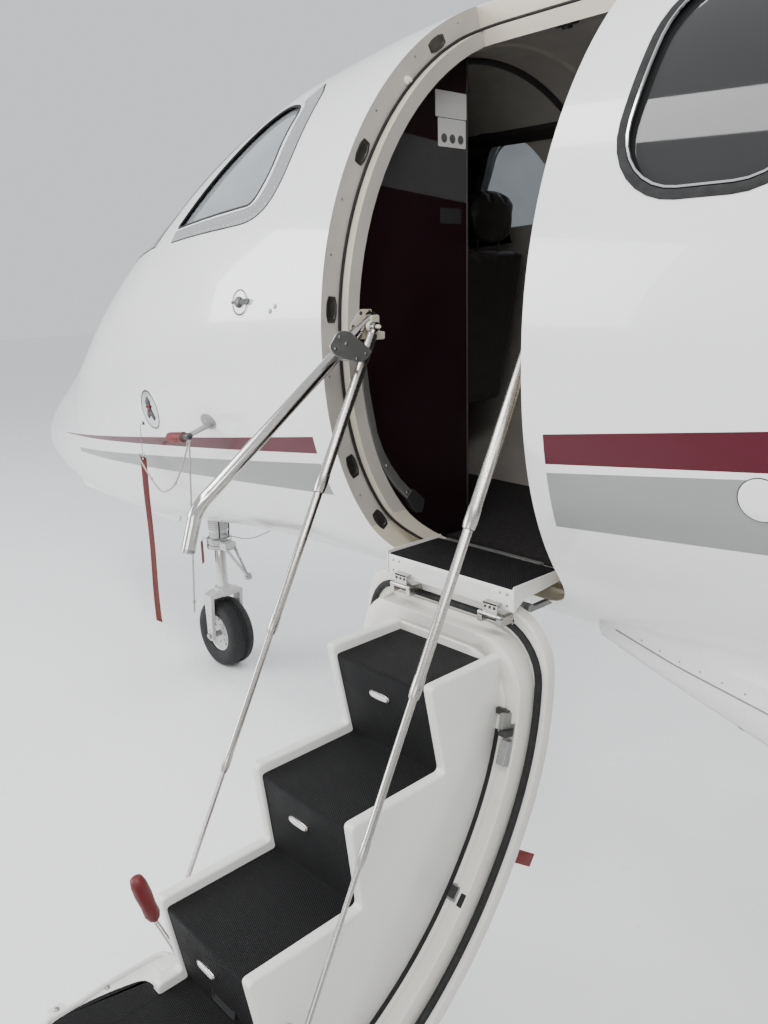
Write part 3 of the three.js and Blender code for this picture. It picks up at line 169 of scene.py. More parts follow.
def half_section(station, z):
    """Half width, waist, rise and power of the section's half, upper or lower, that a height is in."""
    half, waist, top, bottom = body_at(station)
    if z >= waist:
        return half, waist, top - waist, 2
    return half, waist, waist - bottom, LOWER_POWER


def body_angle(station, y, z):
    """The angle at which body_point() meets the line from the section's middle through a place."""
    half, waist, rise, power = half_section(station, z)
    return math.atan2(signed_power((z - waist) / rise, power / 2), signed_power(y / half, power / 2))


def body_normal(station, angle):
    step = 0.004
    along = body_point(station + step, angle) - body_point(station - step, angle)
    around = body_point(station, angle + step) - body_point(station, angle - step)
    normal = around.cross(along)
    outward = Vector((0, math.cos(angle), math.sin(angle)))
    if normal.dot(outward) < 0:
        normal = -normal
    return normal.normalized()


def inner_station(x):
    """The station of an x, kept a little inside the body's ends."""
    return min(max(to_station(x), 0.02), BODY_END - 0.01)


def on_body(point, lift=0.0):
    """The point moved to the body's surface at its own station, then out by lift, with the normal there."""
    station = inner_station(point.x)
    angle = body_angle(station, point.y, point.z)
    normal = body_normal(station, angle)
    return body_point(station, angle) + normal * lift, normal


def reach_at(station, z, inset=0.0):
    """How far out the body's section reaches at a height."""
    half, waist, rise, power = half_section(station, z)
    share = min(1.0, abs(z - waist) / (rise - inset))
    return (half - inset) * (1 - share**power) ** (1 / power)


def side_point(station, z, side=1, inset=0.0):
    """The point of the body's side at a station and a height."""
    return Vector((to_x(station), side * reach_at(station, z, inset), z))


def depth_at(point):
    """Roughly how far a point lies below the body's surface."""
    half, waist, rise, power = half_section(inner_station(point.x), point.z)
    share = ((abs(point.y) / half) ** power + (abs(point.z - waist) / rise) ** power) ** (1 / power)
    return (1 - share) * min(half, rise)


def front_point(y, z):
    """The point of the nose or windshield slope at a place across and a height."""
    low, high = 0.02, 3.6
    for _ in range(40):
        middle = (low + high) / 2
        half, waist, rise, _ = half_section(middle, z)
        inside = (y / half) ** 2 + ((z - waist) / rise) ** 2 < 1
        if inside:
            high = middle
        else:
            low = middle
    return Vector((to_x(high), y, z))


# Mesh helpers
def new_object(name, verts, faces, material, smooth=True):
    mesh = bpy.data.meshes.new(name)
    mesh.from_pydata([tuple(v) for v in verts], [], faces)
    mesh.update()
    if smooth:
        mesh.polygons.foreach_set("use_smooth", [True] * len(mesh.polygons))
    for item in material if isinstance(material, (list, tuple)) else [material]:
        mesh.materials.append(item)
    obj = bpy.data.objects.new(name, mesh)
    bpy.context.scene.collection.objects.link(obj)
    return obj


def ring_mesh(name, rings, material, cap=True, loop=False):
    """A skin through rings of points; caps close its two ends, and loop joins the last ring to the first."""
    count = len(rings[0])
    verts = [p for ring in rings for p in ring]
    faces = []
    last = len(rings) if loop else len(rings) - 1
    for r in range(last):
        nxt = (r + 1) % len(rings)
        for i in range(count):
            j = (i + 1) % count
            faces.append((r * count + i, r * count + j, nxt * count + j, nxt * count + i))
    if cap and not loop:
        faces.append(tuple(range(count))[::-1])
        faces.append(tuple((len(rings) - 1) * count + i for i in range(count)))
    obj = new_object(name, verts, faces, material)
    fix_normals(obj)
    return obj


def fix_normals(obj):
    bm = bmesh.new()
    bm.from_mesh(obj.data)
    bmesh.ops.recalc_face_normals(bm, faces=bm.faces)
    bm.to_mesh(obj.data)
    bm.free()


def set_sharp(obj, angle):
    """Makes the edges that turn by more than an angle sharp."""
    bm = bmesh.new()
    bm.from_mesh(obj.data)
    limit = math.radians(angle)
    for edge in bm.edges:
        edge.smooth = len(edge.link_faces) == 2 and edge.calc_face_angle(0) < limit
    bm.to_mesh(obj.data)
    bm.free()


def prism(name, outline, axis, low, high, material):
    """A flat outline swept along one axis: (y, z) along x, (x, z) along y, (x, y) along z."""
    place = {
        "x": lambda a, b, c: (c, a, b),
        "y": lambda a, b, c: (a, c, b),
        "z": lambda a, b, c: (a, b, c),
    }[axis]
    count = len(outline)
    verts = [place(a, b, low) for a, b in outline] + [place(a, b, high) for a, b in outline]
    faces = [tuple(range(count)), tuple(range(count, 2 * count))[::-1]]
    faces += [(i, (i + 1) % count, count + (i + 1) % count, count + i) for i in range(count)]
    obj = new_object(name, verts, faces, material, smooth=False)
    fix_normals(obj)
    return obj


def box(name, low, high, material):
    (x0, y0, z0), (x1, y1, z1) = low, high
    return prism(name, [(x0, y0), (x1, y0), (x1, y1), (x0, y1)], "z", z0, z1, material)


def basis(direction):
    """Two directions square to one, and to each other."""
    direction = direction.normalized()
    side = direction.cross(UPWARD)
    if side.length < 1e-3:
        side = direction.cross(LEFTWARD)
    side.normalize()
    return side, direction.cross(side).normalized()


def circle(sides):
    """Cosine and sine of each corner of an even polygon."""
    turns = [2 * math.pi * k / sides for k in range(sides)]
    return [(math.cos(turn), math.sin(turn)) for turn in turns]


def tube(name, points, radius, material, sides=16, radii=None):
    """A round tube through points; radii gives each point its own radius."""
    points = [Vector(p) for p in points]
    rings = []
    side, other = basis(points[1] - points[0])
    for i, point in enumerate(points):
        before = points[max(0, i - 1)]
        after = points[min(len(points) - 1, i + 1)]
        direction = (after - before).normalized()
        side = (side - direction * side.dot(direction)).normalized()
        other = direction.cross(side)
        r = radii[i] if radii else radius
        rings.append([point + (side * c + other * s) * r for c, s in circle(sides)])
    return ring_mesh(name, rings, material)


NO_RADIUS = 1e-5


def turned(name, profile, start, direction, material, sides=32, closed=False):
    """A round piece about an axis; the profile is (distance along, radius)."""
    start = Vector(start)
    direction = Vector(direction).normalized()
    side, other = basis(direction)
    corners = circle(sides)
    rings = [
        [start + direction * along + (side * c + other * s) * max(r, NO_RADIUS) for c, s in corners]
        for along, r in profile
    ]
    return ring_mesh(name, rings, material, cap=not closed, loop=closed)


def pin_profile(half, end_radius, neck, radius):
    """A pin's profile with a chamfer at both ends: full radius up to the neck on both sides of its middle."""
    return [(-half, end_radius), (-neck, radius), (neck, radius), (half, end_radius)]


def smooth_path(points, steps=8):
    """A Catmull-Rom curve through points."""
    points = [Vector(p) for p in points]
    padded = [points[0] * 2 - points[1], *points, points[-1] * 2 - points[-2]]
    out = []
    for i in range(1, len(padded) - 2):
        a, b, c, d = padded[i - 1 : i + 3]
        for k in range(steps):
            t = k / steps
            square = (2 * a - 5 * b + 4 * c - d) * t * t
            cube = (3 * b - a - 3 * c + d) * t**3
            out.append(0.5 * (2 * b + (c - a) * t + square + cube))
    out.append(points[-1])
    return out


def rounded_box(x0, x1, z0, z1, radius, steps=8):
    """A rectangle with round corners of equal steps."""
    corners = [
        (x1 - radius, z1 - radius, 0),
        (x0 + radius, z1 - radius, 90),
        (x0 + radius, z0 + radius, 180),
        (x1 - radius, z0 + radius, 270),
    ]
    return [
        (
            cx + radius * math.cos(math.radians(start + 90 * i / steps)),
            cz + radius * math.sin(math.radians(start + 90 * i / steps)),
        )
        for cx, cz, start in corners
        for i in range(steps + 1)
    ]


def dense(outline, step):
    """The closed outline with points added so that none is further than a step from the next."""
    out = []
    for a, b in zip(outline, outline[1:] + outline[:1]):
        length = math.dist(a, b)
        count = max(1, math.ceil(length / step))
        out += [tuple(p + (q - p) * k / count for p, q in zip(a, b)) for k in range(count)]
    return out


def apply_modifiers(obj):
    depsgraph = bpy.context.evaluated_depsgraph_get()
    mesh = bpy.data.meshes.new_from_object(obj.evaluated_get(depsgraph))
    old = obj.data
    obj.modifiers.clear()
    obj.data = mesh
    bpy.data.meshes.remove(old)


def boolean(obj, cutter, operation):
    modifier = obj.modifiers.new("boolean", "BOOLEAN")
    modifier.operation = operation
    modifier.solver = "EXACT"
    modifier.object = cutter
    bpy.context.view_layer.update()
    apply_modifiers(obj)


def discard(*objects):
    for obj in objects:
        mesh = obj.data
        bpy.data.objects.remove(obj)
        bpy.data.meshes.remove(mesh)


def cut(obj, cutter):
    """Takes a cutter's space out of a mesh and removes the cutter."""
    boolean(obj, cutter, "DIFFERENCE")
    discard(cutter)


# Materials
class Graph:
    """One material's shader nodes."""

    def __init__(self, name):
        self.material = bpy.data.materials.new(name)
        self.material.use_nodes = True
        self.tree = self.material.node_tree
        self.shader = self.tree.nodes["Principled BSDF"]

    def put(self, socket, value):
        if isinstance(value, bpy.types.NodeSocket):
            self.tree.links.new(value, socket)
        else:
            socket.default_value = value

    def math(self, operation, *values):
        node = self.tree.nodes.new("ShaderNodeMath")
        node.operation = operation
        for socket, value in zip(node.inputs, values):
            self.put(socket, value)
        return node.outputs[0]

    def place(self):
        """The point in the object's own frame as x, y and z."""
        coordinates = self.tree.nodes.new("ShaderNodeTexCoord")
        split = self.tree.nodes.new("ShaderNodeSeparateXYZ")
        self.tree.links.new(coordinates.outputs["Object"], split.inputs[0])
        return split.outputs

    def noise(self, scale, detail=4.0, stretch=(1, 1, 1)):
        coordinates = self.tree.nodes.new("ShaderNodeTexCoord")
        mapping = self.tree.nodes.new("ShaderNodeMapping")
        mapping.inputs["Scale"].default_value = stretch
        self.tree.links.new(coordinates.outputs["Object"], mapping.inputs["Vector"])
        node = self.tree.nodes.new("ShaderNodeTexNoise")
        node.inputs["Scale"].default_value = scale
        node.inputs["Detail"].default_value = detail
        self.tree.links.new(mapping.outputs[0], node.inputs["Vector"])
        return node.outputs["Fac"]

    def ramp(self, value, low, high, from_low=0.3, from_high=0.7):
        node = self.tree.nodes.new("ShaderNodeMapRange")
        self.put(node.inputs["Value"], value)
        node.inputs["From Min"].default_value = from_low
        node.inputs["From Max"].default_value = from_high
        node.inputs["To Min"].default_value = low
        node.inputs["To Max"].default_value = high
        return node.outputs[0]

    def mix(self, share, first, second):
        node = self.tree.nodes.new("ShaderNodeMix")
        node.data_type = "RGBA"
        self.put(node.inputs["Factor"], share)
        self.put(node.inputs["A"], first)
        self.put(node.inputs["B"], second)
        return node.outputs["Result"]

    def bump(self, height, strength, distance):
        node = self.tree.nodes.new("ShaderNodeBump")
        node.inputs["Strength"].default_value = strength
        node.inputs["Distance"].default_value = distance
        self.put(node.inputs["Height"], height)
        self.put(self.shader.inputs["Normal"], node.outputs[0])

    def inside(self, value, low, high):
        above = self.math("GREATER_THAN", value, low)
        below = self.math("LESS_THAN", value, high)
        return self.math("MULTIPLY", above, below)

    def line(self, value, at, half):
        """1 within a half width of a place."""
        return self.math("LESS_THAN", self.math("ABSOLUTE", self.math("SUBTRACT", value, at)), half)

    def set(self, **values):
        for name, value in values.items():
            self.put(self.shader.inputs[name.replace("_", " ")], value)


def rgb(red, green, blue):
    return (red, green, blue, 1)


def finish(
    name, color, roughness, metallic=0.0, scale=40.0, vary=0.12, spread=0.08, bump=0.0, grain=None,
    coat=0.0,
):
    """A finish with uneven gloss, slight change of tone and fine relief."""
    graph = Graph(name)
    soft = graph.noise(scale * 0.12, 5)
    fine = graph.noise(scale, 3, grain or (1, 1, 1))
    darker = tuple(c * (1 - vary) for c in color)
    graph.set(
        Base_Color=graph.mix(graph.ramp(soft, 0, 1), rgb(*color), rgb(*darker)), Metallic=metallic,
        Roughness=graph.ramp(fine, max(0.02, roughness - spread), roughness + spread),
    )
    if coat:
        graph.set(Coat_Weight=coat, Coat_Roughness=0.04)
    if bump:
        graph.bump(fine, 0.5, bump)
    return graph.material


WHITE = (0.8, 0.795, 0.78)
MAROON = (0.07, 0.0025, 0.011)
STRIPE_GREY = (0.25, 0.255, 0.25)
CREAM = (0.64, 0.585, 0.47)


def band(graph, station, height, top, fall, first, width, growth):
    """1 inside a stripe: its top edge rises aft from a first station, and its width grows from there."""
    along = graph.math("SUBTRACT", station, first)
    upper = graph.math("MULTIPLY_ADD", along, fall, top)
    grown = graph.math("MULTIPLY_ADD", graph.math("MINIMUM", along, STRIPE_FULL - first), growth, width)
    lower = graph.math("SUBTRACT", upper, grown)
    inside = graph.math(
        "MULTIPLY", graph.math("LESS_THAN", height, upper), graph.math("GREATER_THAN", height, lower)
    )
    return graph.math("MULTIPLY", inside, graph.math("GREATER_THAN", station, first))


STRIPE_FULL = 5.05
STRIPE_END = 9.6
STRIPE_GAPS = [(3.81, 3.9), (4.542, 4.592)]
SEAMS = [0.55, 1.48, 5.3, 7.3, 9.0]


def body_paint():
    """White gloss with the maroon and grey stripes, seams between skins and a little uneven gloss."""
    graph = Graph("paint_stripes")
    x, y, z = graph.place()
    station = graph.math("SUBTRACT", LENGTH / 2, x)
    shown = graph.math("LESS_THAN", station, STRIPE_END)
    left = graph.math("GREATER_THAN", y, 0.0)
    for low, high in STRIPE_GAPS:
        gap = graph.math("MULTIPLY", left, graph.inside(station, low, high))
        shown = graph.math("SUBTRACT", shown, gap)
    shown = graph.math("MAXIMUM", shown, 0.0)
    maroon = graph.math("MULTIPLY", shown, band(graph, station, z, 1.277, 0.12, 1.3, 0.003, 0.0184))
    grey = graph.math("MULTIPLY", shown, band(graph, station, z, 1.244, 0.1155, 1.6, 0.02, 0.035))
    seams = graph.math("ADD", 0.0, 0.0)
    for at in SEAMS:
        seams = graph.math("MAXIMUM", seams, graph.line(station, at, 0.0009))
    soft = graph.noise(0.9, 3)
    tint = graph.mix(graph.ramp(soft, 0, 1), rgb(*WHITE), rgb(0.77, 0.768, 0.755))
    tint = graph.mix(maroon, tint, rgb(*MAROON))
    tint = graph.mix(grey, tint, rgb(*STRIPE_GREY))
    tint = graph.mix(seams, tint, rgb(0.22, 0.22, 0.21))
    graph.set(
        Base_Color=tint, Roughness=graph.ramp(graph.noise(6, 4), 0.14, 0.24),
        Coat_Weight=graph.math("MULTIPLY_ADD", graph.math("MAXIMUM", maroon, grey), -0.45, 0.5),
        Coat_Roughness=0.02,
        Specular_IOR_Level=graph.math("MULTIPLY_ADD", graph.math("MAXIMUM", maroon, grey), -0.25, 0.45),
    )
    graph.bump(graph.noise(1.6, 2), 0.15, 0.004)
    return graph.material


def mat_rubber():
    """Black matting with fine ribs across and along; the ribs' crests are painted lighter and their hollows
    darker, as painted highlight and shade.
    """
    graph = Graph("ribbed_mat")
    x, y, z = graph.place()
    pitch = 2 * math.pi / 0.0052
    ribs = graph.math("SINE", graph.math("MULTIPLY", x, pitch))
    down = graph.math("MULTIPLY", graph.math("ADD", y, graph.math("MULTIPLY", z, -1.0)), pitch * 0.8)
    cross = graph.math("SINE", down)
    relief = graph.math("MULTIPLY", ribs, cross)
    worn = graph.noise(7, 5)
    # The colour follows the ribs' relief: lighter crests and darker hollows are painted highlight and shade
    painted_rib_light = graph.mix(
        graph.ramp(relief, 0, 1, -0.6, 0.8), rgb(0.003, 0.003, 0.003), rgb(0.016, 0.016, 0.017),
    )
    graph.set(
        Base_Color=graph.mix(graph.ramp(worn, 0, 0.3), painted_rib_light, rgb(0.022, 0.022, 0.022)),
        Roughness=graph.ramp(worn, 0.5, 0.72), Specular_IOR_Level=0.16,
    )
    graph.bump(relief, 0.9, 0.0018)
    return graph.material


def brushed(name, color, roughness, scale, stretch):
    graph = Graph(name)
    streaks = graph.noise(scale, 6, stretch)
    tone = graph.mix(graph.ramp(streaks, 0, 1), rgb(*color), rgb(*(c * 0.82 for c in color)))
    graph.set(
        Base_Color=tone, Metallic=1.0, Roughness=graph.ramp(streaks, roughness * 0.7, roughness * 1.4),
    )
    graph.bump(streaks, 0.25, 0.0003)
    return graph.material


def window_glass(name, color, mix_share):
    """Glass that shows a dim, tinted view through it and a clear reflection."""
    graph = Graph(name)
    smear = graph.noise(9, 5)
    graph.set(
        Base_Color=graph.mix(graph.ramp(smear, 0, 1), rgb(*color), rgb(*(c * 0.9 for c in color))),
        Roughness=graph.ramp(smear, 0.015, 0.05), Transmission_Weight=mix_share, IOR=1.45,
        Specular_IOR_Level=0.6,
    )
    return graph.material


def bulkhead_panel():
    """Deep maroon with a grey band across it."""
    graph = Graph("bulkhead_panel")
    x, y, z = graph.place()
    lower = graph.math("MULTIPLY_ADD", y, 0.09, BAND_LOW)
    upper = graph.math("ADD", lower, BAND_HIGH)
    inside = graph.math("MULTIPLY", graph.math("GREATER_THAN", z, lower), graph.math("LESS_THAN", z, upper))
    weave = graph.noise(300, 2)
    tone = graph.mix(inside, rgb(0.012, 0.0015, 0.004), rgb(0.066, 0.064, 0.065))
    graph.set(
        Base_Color=graph.mix(graph.ramp(graph.noise(5, 3), 0, 0.3), tone, rgb(0.02, 0.012, 0.014)),
        Roughness=graph.ramp(weave, 0.32, 0.48),
    )
    graph.bump(weave, 0.2, 0.0004)
    return graph.material


BAND_LOW = 2.18
BAND_HIGH = 0.15

paint = body_paint()
plain_paint = finish("paint_plain", WHITE, 0.2, scale=6, vary=0.03, spread=0.05, coat=0.6)
lower_paint = finish("fairing_paint", (0.74, 0.735, 0.72), 0.28, scale=8, vary=0.05, spread=0.06, coat=0.3)
jamb_cream = finish("jamb_cream", CREAM, 0.42, scale=30, vary=0.1, spread=0.08)
pan_white = finish("pan_white", (0.69, 0.67, 0.615), 0.34, scale=22, vary=0.07, spread=0.08, coat=0.2)
step_white = finish("step_white", (0.74, 0.73, 0.69), 0.36, scale=26, vary=0.06, spread=0.08)
lining = finish("lining", (0.46, 0.43, 0.39), 0.78, scale=90, vary=0.12, bump=0.0006)
headliner = finish("headliner", (0.5, 0.46, 0.41), 0.85, scale=140, vary=0.1, bump=0.0005)
mat = mat_rubber()
black_rubber = finish("black_rubber", (0.005, 0.005, 0.005), 0.75, scale=60, vary=0.3, bump=0.0003)
dark_plastic = finish("dark_plastic", (0.03, 0.03, 0.031), 0.45, scale=80, vary=0.2, bump=0.0002)
stainless = brushed("stainless", (0.5, 0.48, 0.45), 0.24, 90, (1, 1, 14))
chrome = brushed("chrome", (0.6, 0.585, 0.56), 0.13, 60, (1, 1, 9))
steel = finish("steel", (0.42, 0.42, 0.42), 0.32, metallic=1.0, scale=120, vary=0.2)
dark_steel = finish("dark_steel", (0.09, 0.09, 0.09), 0.42, metallic=1.0, scale=120, vary=0.3)
polished = brushed("polished_frame", (0.8, 0.8, 0.8), 0.13, 40, (6, 1, 1))
gear_paint = finish("gear_paint", (0.56, 0.56, 0.54), 0.32, scale=40, vary=0.12, coat=0.3)
tyre_rubber = finish("tyre_rubber", (0.011, 0.011, 0.0115), 0.75, scale=70, vary=0.25, bump=0.0006)
glass = window_glass("side_glass", (0.6, 0.64, 0.66), 0.62)
tinted = window_glass("cabin_glass", (0.032, 0.032, 0.032), 0.3)
carpet = finish("carpet", (0.035, 0.03, 0.03), 0.95, scale=420, vary=0.5, bump=0.002)
panel = bulkhead_panel()
leather = finish("leather", (0.035, 0.031, 0.029), 0.48, scale=150, vary=0.25, bump=0.0007)
placard = finish("placard", (0.72, 0.71, 0.68), 0.45, scale=50, vary=0.06)
lamp_glass = finish("lamp_glass", (0.82, 0.82, 0.78), 0.16, scale=60, vary=0.05)
red_grip = finish("red_grip", (0.11, 0.0012, 0.003), 0.5, scale=60, vary=0.2, bump=0.0004)
red_cover = finish("red_cover", (0.14, 0.002, 0.002), 0.6, scale=120, vary=0.2, bump=0.0004)
streamer_cloth = finish("streamer_cloth", (0.1, 0.009, 0.006), 0.85, scale=600, vary=0.3, bump=0.0006)
cord_white = finish("cord", (0.42, 0.4, 0.37), 0.8, scale=700, vary=0.3, bump=0.0003)
grey_metal = finish("grey_casting", (0.3, 0.3, 0.29), 0.38, metallic=0.7, scale=70, vary=0.15)
core_metal = brushed("core_metal", (0.35, 0.34, 0.33), 0.34, 30, (8, 1, 1))
fan_metal = brushed("fan_metal", (0.4, 0.4, 0.41), 0.28, 50, (1, 6, 6))


# More mesh helpers
def rounded(points, radius, steps=6):
    """An outline with its corners rounded; radius is one value or one for each corner."""
    out = []
    for i, corner in enumerate(points):
        reach = radius[i] if isinstance(radius, (list, tuple)) else radius
        corner = Vector(corner)
        before, after = Vector(points[i - 1]), Vector(points[(i + 1) % len(points)])
        start = corner + (before - corner).normalized() * reach
        end = corner + (after - corner).normalized() * reach
        for k in range(steps + 1):
            t = k / steps
            out.append(tuple(start * (1 - t) ** 2 + corner * 2 * t * (1 - t) + end * t * t))
    return out


def rounded_rect(a0, a1, b0, b1, radius, steps):
    return rounded([(a0, b0), (a1, b0), (a1, b1), (a0, b1)], radius, steps)


def drawn_in(outline, by):
    """An outline drawn in square to its edges by a distance."""
    area = sum(a[0] * b[1] - b[0] * a[1] for a, b in zip(outline, outline[1:] + outline[:1]))
    turn = 1 if area > 0 else -1
    out = []
    for i, point in enumerate(outline):
        before, after = outline[i - 1], outline[(i + 1) % len(outline)]
        along = Vector((after[0] - before[0], after[1] - before[1]))
        if along.length < 1e-9:
            out.append(point)
            continue
        along.normalize()
        out.append((point[0] - turn * along.y * by, point[1] + turn * along.x * by))
    return out


def joined(name, objects, material=None):
    """Several meshes as one."""
    for obj in bpy.context.selected_objects:
        obj.select_set(False)
    for obj in objects:
        obj.select_set(True)
    bpy.context.view_layer.objects.active = objects[0]
    bpy.ops.object.join()
    objects[0].name = name
    if material:
        objects[0].data.materials.clear()
        objects[0].data.materials.append(material)
    return objects[0]


def piece(obj, body, *nodes, bevel=0.0, segments=2, angle=30, slot=None):
    """Bevels and smooths a mesh, hands it to its body, and hides the CAD nodes that it stands for."""
    if bevel:
        modifier = obj.modifiers.new("bevel", "BEVEL")
        modifier.width = bevel
        modifier.segments = segments
        modifier.limit_method = "ANGLE"
        modifier.angle_limit = math.radians(angle)
        modifier.harden_normals = True
    for polygon in obj.data.polygons:
        polygon.use_smooth = True
    set_sharp(obj, angle)
    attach(obj, body)
    if nodes:
        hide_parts(*nodes)
    return obj


def facing(way, points):
    """Places for domes(): points that all face one way."""
    return [(Vector(point), Vector(way)) for point in points]


def domes(name, places, radius, height, material, sides=8):
    """Rivet heads or buttons; each place is a point and its outward direction."""
    verts, faces = [], []
    for point, normal in places:
        side, other = basis(normal)
        first = len(verts)
        for share, rise in ((1.0, -0.2), (0.92, 0.45), (0.55, 0.9)):
            for c, s in circle(sides):
                verts.append(point + (side * c + other * s) * radius * share + normal * height * rise)
        verts.append(point + normal * height)
        for r in range(2):
            for k in range(sides):
                j = (k + 1) % sides
                a = first + r * sides
                faces.append((a + k, a + j, a + sides + j, a + sides + k))
        top = first + 2 * sides
        faces += [(top + k, top + (k + 1) % sides, first + 3 * sides) for k in range(sides)]
    obj = new_object(name, verts, faces, material)
    fix_normals(obj)
    return obj


def body_strip(name, path, section, material, closed=True):
    """A strip laid along a path on the body; the section is (across, out) from its line."""
    places = [on_body(Vector(p)) for p in path]
    rings = []
    for i, (point, normal) in enumerate(places):
        before = places[i - 1 if closed or i else 0][0]
        after = places[(i + 1) % len(places) if closed else min(i + 1, len(places) - 1)][0]
        along = (after - before).normalized()
        across = normal.cross(along).normalized()
        rings.append([point + across * u + normal * v for u, v in section])
    return ring_mesh(name, rings, material, cap=not closed, loop=closed)


def side_path(outline, side=1, step=0.03):
    """An outline seen from the side, laid on the body; its points are (x, z)."""
    return [side_point(to_station(x), z, side) for x, z in dense(outline, step)]


def body_patch(name, centre, outline, low, high, material):
    """A plate that hugs the body: its outline is (forward, up) about a centre."""
    centre, normal = on_body(Vector(centre))
    across = (FORWARD - normal * FORWARD.dot(normal)).normalized()
    up = (UPWARD - normal * UPWARD.dot(normal)).normalized()
    rings = []
    for share, lift in ((1.0, low), (1.0, high * 0.7), (0.93, high), (0.4, high)):
        rings.append([on_body(centre + across * u * share + up * v * share, lift)[0] for u, v in outline])
    return ring_mesh(name, rings, material)


def oval(width, height, count=40, power=2.0):
    return [
        (width * signed_power(c, 2 / power), height * signed_power(s, 2 / power)) for c, s in circle(count)
    ]


def body_slab(name, stations, angles, outer, inner, material):
    """A piece of the body's layer between two insets, over some stations and angles."""
    rings = [
        [body_point(s, a, outer) for a in angles] + [body_point(s, a, inner) for a in reversed(angles)]
        for s in stations
    ]
    return ring_mesh(name, rings, material)


def spread(first, last, count):
    return [first + (last - first) * i / (count - 1) for i in range(count)]


SKIN_DEPTH = 0.0022


def skin_normals(obj):
    """Gives the faces on the body's surface the smooth surface's own normals."""
    mesh = obj.data
    known = {}
    normals = [(0.0, 0.0, 0.0)] * len(mesh.loops)
    for polygon in mesh.polygons:
        if depth_at(polygon.center) > SKIN_DEPTH:
            continue
        for index in polygon.loop_indices:
            vertex = mesh.loops[index].vertex_index
            if vertex not in known:
                place = mesh.vertices[vertex].co
                station = inner_station(place.x)
                known[vertex] = tuple(body_normal(station, body_angle(station, place.y, place.z)))
            normals[index] = known[vertex]
    mesh.normals_split_custom_set(normals)


# Free cords and the cover's streamer, on the routes of the CAD model
def cord_curve(name, route, radius, material):
    """A round cord along a route of (station, y, z)."""
    curve = bpy.data.curves.new(name, "CURVE")
    curve.dimensions = "3D"
    curve.bevel_depth = radius
    curve.bevel_resolution = 3
    curve.use_fill_caps = True
    points = smooth_path([(to_x(station), y, z) for station, y, z in route], 10)
    spline = curve.splines.new("POLY")
    spline.points.add(len(points) - 1)
    for place, point in zip(spline.points, points):
        place.co = (*point, 1)
    curve.materials.append(material)
    obj = bpy.data.objects.new(name, curve)
    bpy.context.scene.collection.objects.link(obj)
    length = sum((b - a).length for a, b in zip(points, points[1:]))
    return obj, points, length


CORD_RADIUS = 0.003
LANYARD_ROUTE = [
    (2.729, 0.8253, 1.385), (2.729, 0.836, 1.385), (2.79, 0.842, 1.339), (2.914, 0.86, 1.287),
    (3.026, 0.885, 1.31), (3.125, 0.91, 1.357), (3.234, 0.935, 1.45), (3.283, 0.947, 1.502),
    (3.29, 0.949, 1.5204),
]
PROBE_CORD_ROUTE = [
    (3.303, 0.9495, 1.5242), (3.301, 0.95, 1.5), (3.283, 0.95, 1.329), (3.262, 0.95, 1.125),
    (3.242, 0.95, 0.938),
]


def knots(name, points, shares, material):
    """Small overhand knots on a cord."""
    made = []
    for share in shares:
        i = min(len(points) - 2, int(share * (len(points) - 1)))
        way = (points[i + 1] - points[i]).normalized()
        profile = [
            (-0.006, 0.0025), (-0.0045, 0.0045), (-0.001, 0.0056), (0.0015, 0.005), (0.004, 0.0048),
            (0.006, 0.0025),
        ]
        made.append(turned("knot", profile, points[i], way, material, 14))
    return joined(name, made, material)


lanyard, lanyard_points, lanyard_length = cord_curve("lanyard_cord", LANYARD_ROUTE, CORD_RADIUS, cord_white)
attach(lanyard, AIR)
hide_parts("cover_lanyard")
lanyard_knots = knots("lanyard_knots", lanyard_points, (0.03, 0.3, 0.62), cord_white)
piece(lanyard_knots, AIR, slot="cord")
drop, drop_points, drop_length = cord_curve("probe_drop_cord", PROBE_CORD_ROUTE, CORD_RADIUS, cord_white)
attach(drop, AIR)
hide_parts("probe_cord")
drop_knots = knots("probe_cord_knots", drop_points, (0.05, 0.97), cord_white)
piece(drop_knots, AIR, slot="cord")
WIRE_STATION = 2.729
WIRE_X = to_x(WIRE_STATION)
WIRE_Y = 0.818
RING_Z = 1.385
RING_RADIUS = 0.0065
ring_turns = [math.pi * k / 12 for k in range(25)]
ring_points = [
    (WIRE_X, WIRE_Y + RING_RADIUS * math.cos(turn), RING_Z + RING_RADIUS * math.sin(turn))
    for turn in ring_turns
]
cover_ring = tube("streamer_ring", ring_points, 0.0012, steel, 8)
piece(cover_ring, AIR)
STREAMER_TOP = 1.3777
STREAMER_LOW = 0.722
STREAMER_HALF = 0.022
STREAMER_Y = 0.8185
streamer_rings = []
for z in spread(STREAMER_TOP, STREAMER_LOW, 60):
    fall = (STREAMER_TOP - z) / (STREAMER_TOP - STREAMER_LOW)
    sway = 0.0018 * math.sin(9 * fall) * min(1, 4 * fall)
    ring = []
    for across in spread(-1, 1, 9):
        ripple = 0.0012 * math.sin(2.5 * across + 6 * fall)
        ring.append(Vector((WIRE_X + across * STREAMER_HALF, STREAMER_Y + sway + ripple, z)))
    back = [p - LEFTWARD * 0.001 for p in reversed(ring)]
    streamer_rings.append(ring + back)
streamer = ring_mesh("streamer", streamer_rings, streamer_cloth)
piece(streamer, AIR, "cover_streamer", slot="streamer", angle=60)
hem_parts = []
for z in (STREAMER_TOP - 0.012, STREAMER_LOW + 0.008):
    low, high = (WIRE_X - STREAMER_HALF, 0.8165, z - 0.0008), (WIRE_X + STREAMER_HALF, 0.821, z + 0.0008)
    hem_parts.append(box("hem", low, high, streamer_cloth))
eyelet_profile = pin_profile(0.0018, 0.003, 0.0018, 0.0058)
hem_parts.append(turned("eyelet", eyelet_profile, (WIRE_X, STREAMER_Y, 1.3705), LEFTWARD, steel, 20))
hem = joined("streamer_hem", hem_parts)
piece(hem, AIR)


